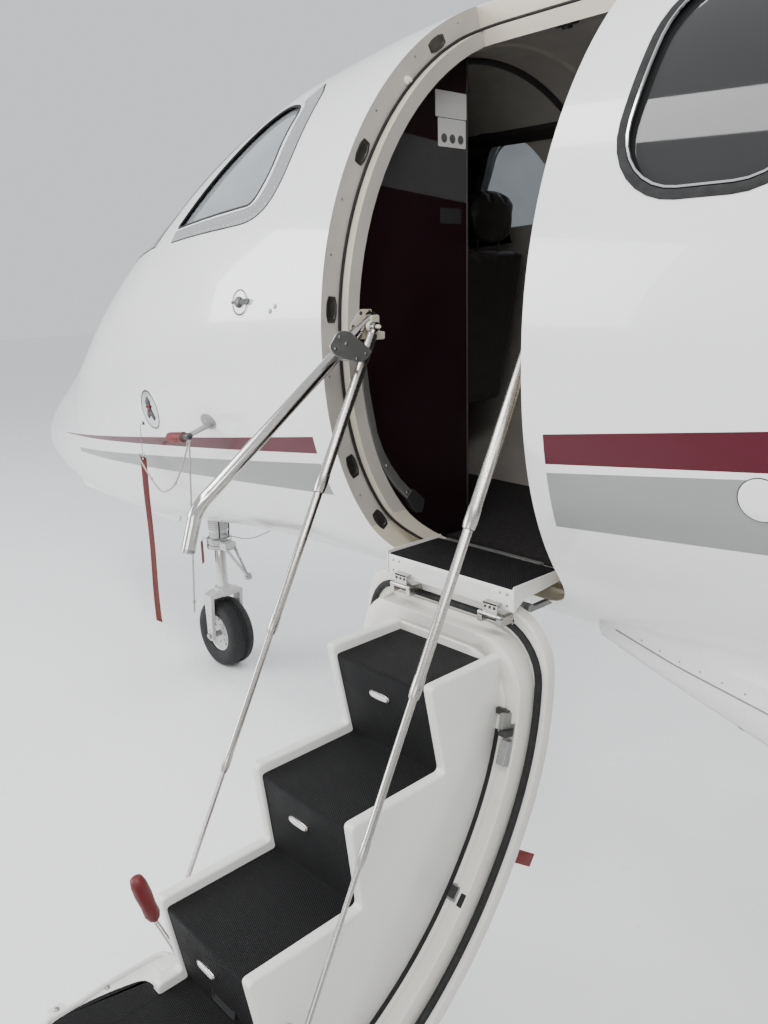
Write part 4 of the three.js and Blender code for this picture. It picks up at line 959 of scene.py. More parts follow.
# Outlines shared by cutters and trims, seen from the side as (x, z)
SIDE_WINDOW = rounded(
    [
        (to_x(2.96), 2.17),
        (to_x(3.5), 2.202),
        (to_x(3.545), 2.29),
        (to_x(3.5), 2.485),
        (to_x(3.32), 2.53),
    ],
    [0.02, 0.035, 0.05, 0.05, 0.12],
)
CABIN_WINDOWS = [4.89, 5.74, 6.59]
WINDSHIELD = [
    (0.026, 1.962), (0.301, 1.99), (0.452, 2.04), (0.591, 2.09), (0.7, 2.126), (0.66, 2.226), (0.6, 2.325),
    (0.537, 2.413), (0.466, 2.488), (0.396, 2.535), (0.235, 2.558), (0.026, 2.568),
]
HATCH = rounded_box(to_x(8.35), to_x(7.65), 1.56, 2.01, 0.06)


def cabin_window(station, grow=0.0):
    x = to_x(station)
    return rounded_box(x - 0.2 - grow, x + 0.2 + grow, 2.105 - grow, 2.56 + grow, 0.15 + grow)


def door_cutter(by):
    """The door opening's space, drawn in by a margin on all edges."""
    outline = rounded_box(DOOR_X0 + by, DOOR_X1 - by, DOOR_SILL + by, 4.0, 0.11)
    cutter = prism("cutter", outline, "y", 0.1, 1.2, plain_paint)
    ends = [
        (0.15, DOOR_SILL + by - 0.001), (1.2, DOOR_SILL + by - 0.001), (1.2, 3.0), (0.33 + by, 3.0),
        (0.29 + by, 2.705), (0.24 + by, 2.54), (0.15 + by, 2.3),
    ]
    end = prism("end", ends, "x", DOOR_X0 - 0.05, DOOR_X1 + 0.05, plain_paint)
    plan = rounded_box(DOOR_X0 + by, DOOR_X1 - by, 0.15 + by, 3.0, 0.11)
    above = prism("above", plan, "z", 0, 3.2, plain_paint)
    boolean(cutter, end, "INTERSECT")
    boolean(cutter, above, "INTERSECT")
    discard(end, above)
    return cutter


# Fuselage: one skin with its hollow, its openings and the frame inside the doorway
AROUND = 160
SKIN_STATIONS = [
    0, 0.012, 0.025, 0.04, 0.06, 0.085, 0.115, 0.15, 0.2, 0.26, 0.34, 0.42, 0.5,
    *[0.6 + 0.1 * i for i in range(67)], *[7.35 + 0.15 * i for i in range(29)], 11.7, 11.8, BODY_END,
]
BAY_BOX = ((to_x(2.01), -0.165, 0.5), (to_x(0.56), 0.165, 1.04))


def whole_ring(station, inset=0.0, count=AROUND):
    """The body's section at a station."""
    return [body_point(station, 2 * math.pi * k / count, inset) for k in range(count)]


fuselage = ring_mesh(
    "fuselage_skin", [whole_ring(s) for s in SKIN_STATIONS],
    [paint, jamb_cream, lining, black_rubber, gear_paint],
)
cabin_void = ring_mesh("void", [whole_ring(s, WALL, 96) for s in spread(2.06, 7.15, 52)], lining)
tail_void = ring_mesh("void", [whole_ring(s, TAIL_WALL, 64) for s in spread(7.3, 10.3, 16)], lining)
boolean(fuselage, cabin_void, "DIFFERENCE")
boolean(fuselage, tail_void, "DIFFERENCE")
outer_cut = door_cutter(0)
inner_layer = ring_mesh("layer", [whole_ring(s, 0.062) for s in spread(3.7, 4.75, 22)], lining)
boolean(outer_cut, inner_layer, "DIFFERENCE")
inner_cut = door_cutter(0.033)
cutters = [outer_cut, inner_cut, box("bay", *BAY_BOX, lining), prism("hatch", HATCH, "y", 0.2, 1.2, lining)]
for side in (1, -1):
    near, far = sorted((side * 0.3, side * 1.2))
    cutters.append(prism("window", SIDE_WINDOW, "y", near, far, lining))
    for station in CABIN_WINDOWS:
        cutters.append(prism("window", cabin_window(station), "y", near, far, lining))
    outline = rounded([(side * y, z) for y, z in WINDSHIELD], 0.012, 2)
    cutters.append(prism("screen", outline, "x", to_x(3.24), to_x(1.6), lining))
for cutter in cutters:
    boolean(fuselage, cutter, "DIFFERENCE")
discard(cabin_void, tail_void, inner_layer, *cutters)
IN_PAINT, IN_CREAM, IN_LINING, IN_RUBBER, IN_GEAR_PAINT = range(5)
for polygon in fuselage.data.polygons:
    place = polygon.center
    depth = depth_at(place)
    station = to_station(place.x)
    at_door = place.y > 0.1 and 3.86 < station < 4.58 and place.z > 1.15
    in_bay = station < 2.05 and place.z < 1.06
    if depth < SKIN_DEPTH:
        polygon.material_index = IN_PAINT
    elif in_bay:
        polygon.material_index = IN_GEAR_PAINT
    elif at_door and depth < 0.094:
        polygon.material_index = IN_CREAM
    elif depth < 0.085 and not at_door:
        polygon.material_index = IN_RUBBER
    else:
        polygon.material_index = IN_LINING
piece(fuselage, AIR, "nose_cone", "cockpit_shell", "cabin_shell", "tail_shell", slot="paint")
skin_normals(fuselage)

# Window panes, their rubber and metal edges
def pane(name, outline, axis, low, high, stations, angles, material, node):
    """A piece of glass just under the skin, cut to its window's outline."""
    obj = body_slab(name, stations, angles, 0.013, 0.024, material)
    cutter = prism("cutter", outline, axis, low, high, material)
    boolean(obj, cutter, "INTERSECT")
    discard(cutter)
    return piece(obj, AIR, node, slot="glazing", angle=40)


def angle_at(station, z):
    return body_angle(station, reach_at(station, z), z)


def on_side(angles, side):
    """Angles of the left side as they are, or turned over to the right side."""
    return [a if side > 0 else math.pi - a for a in angles]


def angles_between(station, low, high, side, count):
    return on_side(spread(angle_at(station, low), angle_at(station, high), count), side)


def shrunk(outline, by):
    """An outline with each point moved towards its middle."""
    cx = sum(p[0] for p in outline) / len(outline)
    cz = sum(p[1] for p in outline) / len(outline)
    out = []
    for x, z in outline:
        reach = math.hypot(x - cx, z - cz)
        out.append((x - (x - cx) * by / reach, z - (z - cz) * by / reach))
    return out


GASKET = [(-0.011, -0.004), (-0.009, 0.0022), (0.0, 0.0034), (0.008, 0.002), (0.01, -0.004)]
THIN_SEAL = [(-0.004, -0.003), (-0.003, 0.0012), (0.003, 0.0012), (0.004, -0.003)]
LIGHT_BEAD = [(-0.003, -0.001), (-0.002, 0.0026), (0.002, 0.0026), (0.003, -0.001)]
for name, side in SIDES:
    near, far = sorted((side * 0.3, side * 1.2))
    around = on_side([math.radians(v) for v in spread(12, 89.4, 50)], side)
    outline = rounded([(side * y, z) for y, z in shrunk(WINDSHIELD, 0.001)], 0.012, 2)
    pane(
        f"windshield_glass_{name}", outline, "x", to_x(3.24), to_x(1.6), spread(1.7, 3.3, 40), around,
        tinted, f"windshield_{name}",
    )
    front = [front_point(side * y, z) for y, z in dense(shrunk(WINDSHIELD, -0.006), 0.04)]
    piece(body_strip(f"windshield_seal_{name}", front, THIN_SEAL, black_rubber), AIR)
    pane(
        f"cockpit_glass_{name}", shrunk(SIDE_WINDOW, 0.0005), "y", near, far, spread(2.9, 3.6, 24),
        on_side([math.radians(v) for v in spread(15, 80, 40)], side), glass, f"cockpit_window_{name}",
    )
    for i, station in enumerate(CABIN_WINDOWS):
        pane(
            f"cabin_glass_{name}_{i + 1}", shrunk(cabin_window(station), 0.0005), "y", near, far,
            spread(station - 0.24, station + 0.24, 20), angles_between(station, 2.07, 2.61, side, 26),
            tinted, f"cabin_window_{name}_{i + 1}",
        )
        edge = side_path(cabin_window(station, -0.008), side)
        piece(body_strip(f"cabin_window_seal_{name}_{i + 1}", edge, GASKET, black_rubber), AIR)
        edge = side_path(cabin_window(station, -0.021), side)
        piece(body_strip(f"cabin_window_bead_{name}_{i + 1}", edge, LIGHT_BEAD, polished), AIR)

# Airstair door: outer skin, inner pan and seal, drawn shut and turned down about the sill hinge
DOOR_PLACE = (
    Matrix.Translation((0, HINGE_Y, HINGE_Z))
    @ Matrix.Rotation(-DOOR_OPEN, 4, "X")
    @ Matrix.Translation((0, -HINGE_Y, -HINGE_Z))
)
WAIST = 1.84
DOOR_TOP = 2.955
TURN_REACH = 0.9


def door_point(x, run, inset):
    """A point of the shut door; its run is the height up to the waist, then the way round the body."""
    station = to_station(x)
    angle = angle_at(station, run) if run < WAIST else (run - WAIST) / TURN_REACH
    return body_point(station, angle, inset)


SIDE_STEPS = 90
END_STEPS = 30


def door_outline(by, corner=0.11):
    """The door's rounded outline, with the same number of points whatever the margin."""
    corners = rounded_box(DOOR_X0 + by, DOOR_X1 - by, DOOR_SILL + by, DOOR_TOP - by, corner)
    out = []
    for i, (a, b) in enumerate(zip(corners, corners[1:] + corners[:1])):
        count = 1 if (i + 1) % 9 else {8: END_STEPS, 17: SIDE_STEPS, 26: END_STEPS, 35: SIDE_STEPS}[i]
        out += [tuple(p + (q - p) * k / count for p, q in zip(a, b)) for k in range(count)]
    return out


def door_layers(name, layers, material, corner=0.11):
    """A shell through outlines of the door; a layer is (margin, share of the way from the middle, inset)."""
    cx, cq = (DOOR_X0 + DOOR_X1) / 2, (DOOR_SILL + DOOR_TOP) / 2
    rings = []
    for by, share, inset in layers:
        rings.append([
            door_point(cx + (x - cx) * share, cq + (q - cq) * share, inset)
            for x, q in door_outline(by, corner)
        ])
    return ring_mesh(name, rings, material)


def on_door(obj):
    """Turns a piece that is drawn on the shut door to its place on the open one."""
    obj.matrix_world = DOOR_PLACE
    return obj


def shut(y, z):
    """A point of the open door, as (y, z), in the shut door's own frame."""
    point = DOOR_PLACE.inverted() @ Vector((0, y, z))
    return point.y, point.z


INSIDE = [0.02, 0.15, 0.3, 0.45, 0.6, 0.75, 0.88, 0.96]
outside_layers = [(0.005, share, 0.0) for share in INSIDE] + [
    (0.008, 1, 0.0), (0.0055, 1, 0.001), (0.005, 1, 0.003),
]
inside_layers = [
    (0.005, 1, 0.026), (0.0065, 1, 0.029), (0.009, 1, 0.03),
] + [(0.009, s, 0.03) for s in reversed(INSIDE)]
door_skin = door_layers("airstair_skin", outside_layers + inside_layers, [paint, pan_white])
for polygon in door_skin.data.polygons:
    polygon.material_index = 0 if depth_at(polygon.center) < 0.004 else 1
on_door(door_skin)
piece(door_skin, STAIR, slot="door_paint", angle=40)

SILL_X0 = DOOR_X0 + 0.078
SILL_X1 = DOOR_X0 + 0.5
PAN_INSET = 0.085
PAN_BACK = 0.028
pan_rim = [
    (0.041, 1, PAN_BACK), (0.041, 1, 0.07), (0.0425, 1, 0.08), (0.047, 1, 0.0845), (0.054, 1, PAN_INSET),
    (0.075, 1, PAN_INSET), (0.078, 1, 0.082), (0.084, 1, 0.082), (0.087, 1, PAN_INSET),
]
pan_back = [(0.041, share, PAN_BACK) for share in INSIDE]
pan_face = [(0.087, share, PAN_INSET) for share in reversed(INSIDE)]
pan = door_layers("airstair_pan", pan_back + pan_rim + pan_face, pan_white, 0.12)
step_room = box("room", (SILL_X0 - 0.008, 0.783, 1.156), (SILL_X1 + 0.008, 0.92, 1.3), pan_white)
step_room.data.transform(DOOR_PLACE.inverted())
cut(pan, step_room)
on_door(pan)
piece(pan, STAIR, "airstair_door", slot="door_paint", angle=35)

seal_line = [door_point(x, q, 0.033) for x, q in door_outline(0.028)]
seal = tube("airstair_seal", seal_line + seal_line[:1], 0.0095, black_rubber, 12)
on_door(seal)
piece(seal, STAIR, angle=60)

# Latch parts on the door's aft edge: a sprung bracket with its plate, a pocket and a notch
def on_pan(x, y_open, z_open, lift=0.0):
    """A point on the open door's pan, nearest to a place in the open door's frame."""
    y, z = shut(y_open, z_open)
    return DOOR_PLACE @ side_point(to_station(x), z, 1, PAN_INSET + lift)


def door_box(name, x, y, z, size, material):
    """A small block that stands on the pan about a place; size is along x, along the pan and out of it."""
    centre = on_pan(x, y, z)
    ahead = on_pan(x, y + 0.03, z - 0.05)
    along = (ahead - centre).normalized()
    out = FORWARD.cross(along).normalized()
    if out.z < 0:
        out = -out
    low = [-size[0] / 2, -size[1] / 2, -0.004]
    high = [size[0] / 2, size[1] / 2, size[2]]
    obj = box(name, low, high, material)
    turn = Matrix((FORWARD, along, out)).transposed().to_4x4()
    obj.data.transform(Matrix.Translation(centre) @ turn)
    return piece(obj, STAIR, bevel=0.0015)


LATCH_X = DOOR_X0 + 0.06
LATCH_BLOCKS = [
    ("latch_plate", LATCH_X, 0.848, 0.915, (0.028, 0.115, 0.004), stainless),
    ("latch_body", LATCH_X - 0.002, 0.851, 0.89, (0.024, 0.062, 0.02), steel),
    ("latch_arm", LATCH_X + 0.006, 0.838, 0.965, (0.014, 0.045, 0.03), grey_metal),
    ("latch_lever", LATCH_X + 0.022, 0.834, 0.983, (0.034, 0.016, 0.012), dark_steel),
    ("latch_hook", LATCH_X - 0.003, 0.84, 0.94, (0.02, 0.016, 0.034), dark_steel),
    # The pocket's dark plate and the notch's black sheet stand proud of the pan: painted shade in place of
    # their hollows
    ("pan_pocket", DOOR_X0 + 0.0805, 1.016, 0.579, (0.022, 0.03, 0.0012), dark_steel),
    ("pan_pocket_rim", DOOR_X0 + 0.0805, 1.016, 0.579, (0.032, 0.04, 0.0008), grey_metal),
    ("pan_notch_shadow", DOOR_X0 + 0.052, 1.022, 0.575, (0.014, 0.032, 0.001), black_rubber),
]
for block in LATCH_BLOCKS:
    door_box(*block)
pan_out = DOOR_PLACE.to_3x3() @ -LEFTWARD
plate_bolts = []
for dx, dz in ((-0.009, 0.0), (0.009, 0.004), (0.0, 0.018)):
    plate_bolts.append((on_pan(LATCH_X + dx, 0.853, 0.866 + dz) + pan_out * 0.004, pan_out))
piece(domes("latch_bolts", plate_bolts, 0.0034, 0.002, dark_steel, 8), STAIR)
spring = []
for k in range(36):
    coil = Vector((math.cos(k), math.sin(k), 0)) * 0.005
    spring.append(on_pan(LATCH_X - 0.01, 0.84, 0.985 - 0.002 * k, -0.018) + coil)
piece(tube("latch_spring", spring, 0.001, steel, 6), STAIR)

# Stiff red tab that stands out of the door's skin by its aft edge
tab_start, tab_end = Vector((1.8775, 0.875, 0.642)), Vector((1.8775, 0.806, 0.591))
tab_way = (tab_end - tab_start).normalized()
tab_side = Vector((0, -tab_way.z, tab_way.y)) * 0.0165
rings = []
for dx, share in ((-0.0013, 0.94), (-0.0008, 1.0), (0.0008, 1.0), (0.0013, 0.94)):
    middle = (tab_start + tab_end) / 2 + FORWARD * dx
    half_run = (tab_end - tab_start) / 2 * (0.5 + share / 2)
    rings.append([
        middle - half_run - tab_side * share, middle + half_run - tab_side * share,
        middle + half_run + tab_side * share, middle - half_run + tab_side * share,
    ])
piece(ring_mesh("door_tab", rings, red_cover), STAIR, angle=30)
tab_ring = [tab_start - tab_way * 0.012, tab_start + tab_way * 0.01]
piece(tube("door_tab_ring", tab_ring, 0.003, steel, 10), STAIR)

# Stair flight: rubber on its treads and risers, white side walls, lamps and the moulded foot
STAIR_X0 = DOOR_X0 + 0.132
STAIR_X1 = STAIR_X0 + 0.308
STAIR_MIDDLE = (STAIR_X0 + STAIR_X1) / 2
SIDE_WALL = 0.03
STEPS = [(0.8, 1.048, 1.089), (1.004, 1.292, 0.859), (1.268, 1.567, 0.646), (1.532, 1.8, 0.436)]
LAST_NOSE = 1.8
mat_top = [p for back, front, z in STEPS for p in ((back, z), (front, z))]
mat_top = [(0.825, 1.089)] + mat_top[1:] + [(LAST_NOSE, 0.396)]
mat_under = [(LAST_NOSE - 0.014, 0.396)]
for back, front, z in reversed(STEPS):
    mat_under += [(front - 0.014, z - 0.014), (back - 0.014, z - 0.014)]
mat_under[-1] = (0.825, 1.075)
sheet = mat_top + mat_under
radii = [0.001] + [0.011, 0.008] * 3 + [0.011] + [0.001] * (len(sheet) - 8)
treads = prism("stair_treads", rounded(sheet, radii, 5), "x", STAIR_X0 - 0.001, STAIR_X1 + 0.001, mat)
piece(treads, STAIR, slot="stair", angle=32)

wall_top = [p for back, front, z in STEPS for p in ((back + 0.01, z + 0.024), (front + 0.01, z + 0.024))]
wall_foot = []
for z in (2.64, 2.56, 2.4, 2.2, 2.0, 1.84, 1.7, 1.5, 1.4):
    point = DOOR_PLACE @ side_point(4.221, z, 1, 0.05)
    wall_foot.append((point.y, point.z))
wall_radii = [0.016, 0.014] * 3 + [0.016, 0.006] + [0.002] * len(wall_foot) + [0.012]
FORE_WALL_FOOT = [(1.606, 0.46), (1.606, 0.428)]
for name, x0, x1 in (("fore", STAIR_X1, STAIR_X1 + SIDE_WALL), ("aft", STAIR_X0 - SIDE_WALL, STAIR_X0)):
    if name == "fore":
        wall = wall_top[1:-1] + FORE_WALL_FOOT + [(LAST_NOSE + 0.01, 0.428), (LAST_NOSE + 0.01, 0.33)]
        radii = [0.016, 0.014] * 3 + [0.014, 0.002, 0.006, 0.006] + [0.002] * len(wall_foot) + [0.012]
    else:
        wall = wall_top[1:] + [(LAST_NOSE + 0.01, 0.33)]
        radii = wall_radii
    outline = rounded(wall + wall_foot + [wall_top[0]], radii, 5)
    rings = []
    for x, by in (
        (x0, 0.005), (x0 + 0.0015, 0.0015), (x0 + 0.005, 0), (x1 - 0.005, 0), (x1 - 0.0015, 0.0015),
        (x1, 0.005),
    ):
        rings.append([(x, y, z) for y, z in drawn_in(outline, by)])
    side_wall = ring_mesh(f"stair_wall_{name}", rings, step_white)
    hidden = ["stair_flight"] if name == "fore" else []
    piece(side_wall, STAIR, *hidden, slot="stair", angle=50)
# A black strip on the pan along the foot of each side wall is painted shadow in the gap between the stair and
# the pan
for name, x0, x1 in (
    ("fore", STAIR_X1 + SIDE_WALL, STAIR_X1 + SIDE_WALL + 0.012),
    ("aft", STAIR_X0 - SIDE_WALL - 0.012, STAIR_X0 - SIDE_WALL),
):
    rings = []
    for run in spread(1.46, 2.72, 30):
        inner = door_point(x0, run, 0.086)
        across = FORWARD * (x1 - x0)
        rings.append([inner, inner + across, door_point(x1, run, 0.0835), door_point(x0, run, 0.0835)])
    shadow = ring_mesh(f"stair_gap_shadow_{name}", rings, black_rubber)
    on_door(shadow)
    piece(shadow, STAIR)

LAMPS = [
    ((1.048, 1.089), (1.004, 0.859), 0.31, 0.013),
    ((1.292, 0.859), (1.268, 0.646), 0.36, 0.028),
    ((1.567, 0.646), (1.532, 0.436), 0.44, 0.026),
]
for i, (head, foot, share, offset) in enumerate(LAMPS):
    head, foot = Vector((0, *head)), Vector((0, *foot))
    down = (foot - head).normalized()
    out = Vector((0, -down.z, down.y)).normalized()
    if out.y < 0:
        out = -out
    centre = head + (foot - head) * share + FORWARD * (STAIR_MIDDLE + offset)
    for name, width, height, low, high, material in (
        ("rim", 0.034, 0.011, -0.002, 0.004, stainless),
        ("lamp", 0.029, 0.0075, 0.0, 0.0052, lamp_glass),
    ):
        rings = []
        for grow, lift in ((0.0, low), (0.0, high * 0.6), (-0.0012, high), (-height * 0.5, high)):
            rings.append([
                centre + FORWARD * u + down * v + out * lift
                for u, v in oval(width + grow, height + grow, 36, 3.2)
            ])
        piece(ring_mesh(f"stair_{name}_{i + 1}", rings, material), STAIR, angle=40)

# The lowest riser's opening with its rounded rim; its shallow black floor is painted shade in place of the
# opening's depth
hole = rounded_rect(-0.04, 0.04, -0.012, 0.014, 0.008, 4)
rings = []
for grow, lift in ((1.12, -0.002), (1.12, 0.0035), (1.0, 0.004), (0.96, 0.0015), (0.5, 0.001)):
    rings.append([
        Vector((STAIR_MIDDLE - 0.02 + u * grow, 1.5405 + lift - v * 0.16, 0.49 + v * grow)) for u, v in hole
    ])
piece(ring_mesh("riser_opening", rings, black_rubber), STAIR, angle=50)

# The foot of the flight: white end frame, lugs and bolts, and the red grip on its rod
foot_frame = rounded_rect(STAIR_X0 - 0.03, STAIR_X1 + 0.03, 1.79, 1.835, 0.012, 4)
piece(prism("stair_foot_frame", foot_frame, "z", 0.335, 0.452, step_white), STAIR, bevel=0.005, angle=40)
moulding = rounded(
    [
        (STAIR_X1 + 0.03, 1.52), (STAIR_X1 + 0.116, 1.514), (STAIR_X1 + 0.124, 1.631),
        (STAIR_X1 + 0.115, 1.747), (STAIR_X1 + 0.117, 1.83), (STAIR_X1 + 0.03, 1.835),
    ],
    [0.02, 0.03, 0.03, 0.03, 0.02, 0.02], 5,
)
MOULDING_LAYERS = [
    (0.4, 0.003), (0.402, 0.0), (0.4245, 0.0), (0.4305, 0.002), (0.4325, 0.005), (0.4325, 0.011),
    (0.4315, 0.014),
]
rings = [[(x, y, z) for x, y in drawn_in(moulding, by)] for z, by in MOULDING_LAYERS]
piece(ring_mesh("stair_foot_moulding", rings, step_white), STAIR, angle=40)
rim_path = smooth_path([
    (2.34, 1.533, 0.4335), (2.39, 1.53, 0.4335), (2.418, 1.543, 0.4335), (2.4235, 1.6, 0.4335),
    (2.4235, 1.68, 0.4335), (2.418, 1.745, 0.4335), (2.4185, 1.8, 0.4335), (2.412, 1.824, 0.4335),
    (2.39, 1.829, 0.4335), (2.345, 1.829, 0.4335),
], 5)
piece(tube("stair_foot_rim", rim_path, 0.0068, step_white, 14), STAIR, angle=60)
foot_mat = rounded(
    [
        (STAIR_X1 - 0.002, 1.6), (2.356, 1.603), (2.376, 1.614), (2.394, 1.676), (2.406, 1.74),
        (2.406, 1.8), (2.402, 1.819), (STAIR_X1 - 0.002, 1.819),
    ],
    [0.001, 0.012, 0.016, 0.03, 0.03, 0.012, 0.006, 0.001], 4,
)
piece(prism("stair_foot_mat", foot_mat, "z", 0.4285, 0.4364, mat), STAIR, bevel=0.0012, angle=40)
lever_box = rounded([(2.345, 1.524), (2.385, 1.526), (2.387, 1.574), (2.345, 1.572)], 0.005, 4)
piece(prism("stair_foot_lever_box", lever_box, "z", 0.43, 0.452, step_white), STAIR, bevel=0.003, angle=40)
ears = []
heads = []
for y, z, out in ((1.56, 0.416, 0.145), (1.68, 0.432, 0.124), (1.79, 0.432, 0.145)):
    x0, x1 = STAIR_X1 + 0.09, STAIR_X1 + out
    outline = rounded([(x0, y - 0.024), (x1, y - 0.018), (x1, y + 0.018), (x0, y + 0.024)], 0.01, 4)
    ears.append(prism("ear", outline, "z", z - 0.022, z, step_white))
    heads.append((Vector((x1 - 0.016, y, z)), UPWARD))
piece(joined("stair_foot_ears", ears, step_white), STAIR, bevel=0.003, angle=40)
piece(domes("stair_foot_ear_bolts", heads, 0.007, 0.005, steel, 12), STAIR)
LUG_PLACES = (STAIR_X0 + 0.03, STAIR_X0 + 0.16, STAIR_X1 - 0.02)
lugs = []
for x in LUG_PLACES:
    outline = [(x - 0.022, 1.83), (x + 0.022, 1.83), (x + 0.017, 1.872), (x - 0.017, 1.872)]
    lugs.append(prism("lug", rounded(outline, 0.01, 4), "z", 0.392, 0.428, step_white))
piece(joined("stair_foot_lugs", lugs, step_white), STAIR, bevel=0.003, angle=40)
bolts = facing(UPWARD, [(x, 1.852, 0.428) for x in LUG_PLACES])
bolts += facing(UPWARD, [(x, 1.812, 0.452) for x in spread(STAIR_X0 - 0.015, STAIR_X1 + 0.015, 5)])
piece(domes("stair_foot_bolts", bolts, 0.0055, 0.004, steel, 10), STAIR)

GRIP_X = 2.455
grip_top, grip_low = Vector((GRIP_X, 1.566, 0.641)), Vector((GRIP_X, 1.5285, 0.501))
grip_run = grip_low - grip_top
profile = [
    (0.0, 0.008), (0.004, 0.0155), (0.022, 0.0195), (0.055, 0.0205), (0.09, 0.0182), (0.12, 0.0192),
    (0.135, 0.0145), (0.142, 0.009),
]
piece(turned("red_grip", profile, grip_top, grip_run, red_grip, 24), STAIR, angle=50)
rod_points = [
    grip_top + grip_run * 0.6, Vector((GRIP_X, 1.53, 0.505)), Vector((GRIP_X - 0.006, 1.529, 0.4965)),
    Vector((GRIP_X - 0.025, 1.528, 0.489)), Vector((2.39, 1.525, 0.468)),
    Vector((STAIR_X1 + SIDE_WALL - 0.004, 1.52, 0.43)),
]
piece(tube("grip_rod", rod_points, 0.006, stainless, 12), STAIR, angle=50)

# Sill step: black matting on a white folded plate, with side flanges and two hinges
step_top = rounded_rect(0.618, 0.805, 1.2795, 1.2845, 0.0015, 2)
piece(prism("sill_step_mat", step_top, "x", SILL_X0 + 0.006, SILL_X1 - 0.006, mat), "sill_step", angle=40)
plate = [(0.612, 1.282), (0.612, 1.268), (0.792, 1.268), (0.792, 1.226), (0.807, 1.226), (0.807, 1.282)]
plate = rounded(plate, [0.003, 0.002, 0.003, 0.002, 0.003, 0.006], 4)
plate = prism("sill_step_plate", plate, "x", SILL_X0, SILL_X1, step_white)
piece(plate, "sill_step", "sill_step", bevel=0.0012, slot="door_paint", angle=40)
flanges = []
outline = rounded([(0.6, 1.29), (0.6, 1.262), (0.77, 1.25), (0.809, 1.226), (0.809, 1.29)], 0.004, 3)
for x0, x1 in ((SILL_X0 - 0.004, SILL_X0), (SILL_X1, SILL_X1 + 0.004)):
    flanges.append(prism("flange", outline, "x", x0, x1, step_white))
piece(joined("sill_step_flanges", flanges, step_white), "sill_step", bevel=0.001, angle=40)
outline = [(0.592, 1.282), (0.612, 1.282), (0.612, 1.24), (0.592, 1.24)]
heel = prism("heel", outline, "x", SILL_X0 + 0.072, SILL_X1 - 0.02, grey_metal)
piece(heel, "sill_step", bevel=0.002)
blank = rounded_rect(SILL_X0 + 0.07, SILL_X1 - 0.08, 1.236, 1.272, 0.003, 3)
piece(prism("sill_step_placard", blank, "y", 0.8065, 0.8078, placard), "sill_step", angle=40)
screw_places = (SILL_X0 + 0.018, SILL_X0 + 0.04, SILL_X1 - 0.04, SILL_X1 - 0.018)
heads = facing(LEFTWARD, [(x, 0.807, z) for x in screw_places for z in (1.24, 1.268)])
piece(domes("sill_step_screws", heads, 0.0042, 0.002, steel, 10), "sill_step")
hinge_profile = pin_profile(0.036, 0.004, 0.035, 0.0058)
for i, x in enumerate((DOOR_X1 - 0.207, DOOR_X1 - 0.51)):
    pivot = (x, 0.826, 1.212)
    pin = turned(f"sill_hinge_pin_{i + 1}", hinge_profile, pivot, FORWARD, steel, 16)
    piece(pin, STAIR, angle=50)
    leaf = rounded_rect(x - 0.022, x + 0.022, 1.212, 1.243, 0.004, 3)
    upper = prism(f"sill_hinge_leaf_{i + 1}", leaf, "y", 0.8235, 0.827, stainless)
    arm = box("arm", (x - 0.021, 0.803, 1.2385), (x + 0.021, 0.827, 1.2425), stainless)
    knuckle = turned("knuckle", [(-0.0218, 0.0062), (0.0218, 0.0062)], pivot, FORWARD, stainless, 16)
    piece(joined(f"sill_hinge_upper_{i + 1}", [upper, arm, knuckle], stainless), "sill_step", angle=40)
    lower = []
    for side in (-1, 1):
        near, far = sorted((x + side * 0.0224, x + side * 0.036))
        lower.append(box("ear", (near, 0.778, 1.19), (far, 0.83, 1.212), stainless))
    lower.append(box("base", (x - 0.036, 0.778, 1.1795), (x + 0.036, 0.785, 1.198), stainless))
    piece(joined(f"sill_hinge_lower_{i + 1}", lower, stainless), STAIR, bevel=0.001)
    heads = facing(LEFTWARD, [(x + dx, 0.827, 1.232) for dx in (-0.014, 0.0, 0.014)])
    piece(domes(f"sill_hinge_bolts_{i + 1}", heads, 0.004, 0.0025, dark_steel, 8), "sill_step")

# Two knuckles at the sill that the whole door turns on
barrel_profile = pin_profile(0.035, 0.0095, 0.034, 0.011)
for i, share in enumerate((0.24, 0.76)):
    x = DOOR_X0 + share * DOOR_WIDTH
    pivot = (x, HINGE_Y, HINGE_Z)
    barrel = turned(f"door_hinge_barrel_{i + 1}", barrel_profile, pivot, FORWARD, grey_metal, 20)
    arm = box("arm", (x - 0.034, -0.048, -0.004), (x + 0.034, 0, 0.03), grey_metal)
    toe = box("toe", (x - 0.034, -0.068, 0.012), (x + 0.034, -0.044, 0.03), grey_metal)
    for part in (arm, toe):
        part.data.transform(Matrix.Translation((0, HINGE_Y, HINGE_Z)) @ Matrix.Rotation(-DOOR_OPEN, 4, "X"))
    piece(joined(f"door_hinge_arm_{i + 1}", [barrel, arm, toe], grey_metal), STAIR, bevel=0.002)
    ears = []
    for side in (-1, 1):
        near, far = sorted((x + side * 0.0353, x + side * 0.049))
        ears.append(box("ear", (near, 0.59, 1.189), (far, HINGE_Y, 1.203), grey_metal))
        profile = [(near - x, 0.011), (far - x, 0.011)]
        ears.append(turned("eye", profile, pivot, FORWARD, grey_metal, 20))
    piece(joined(f"door_hinge_ears_{i + 1}", ears, grey_metal), AIR, bevel=0.0015)

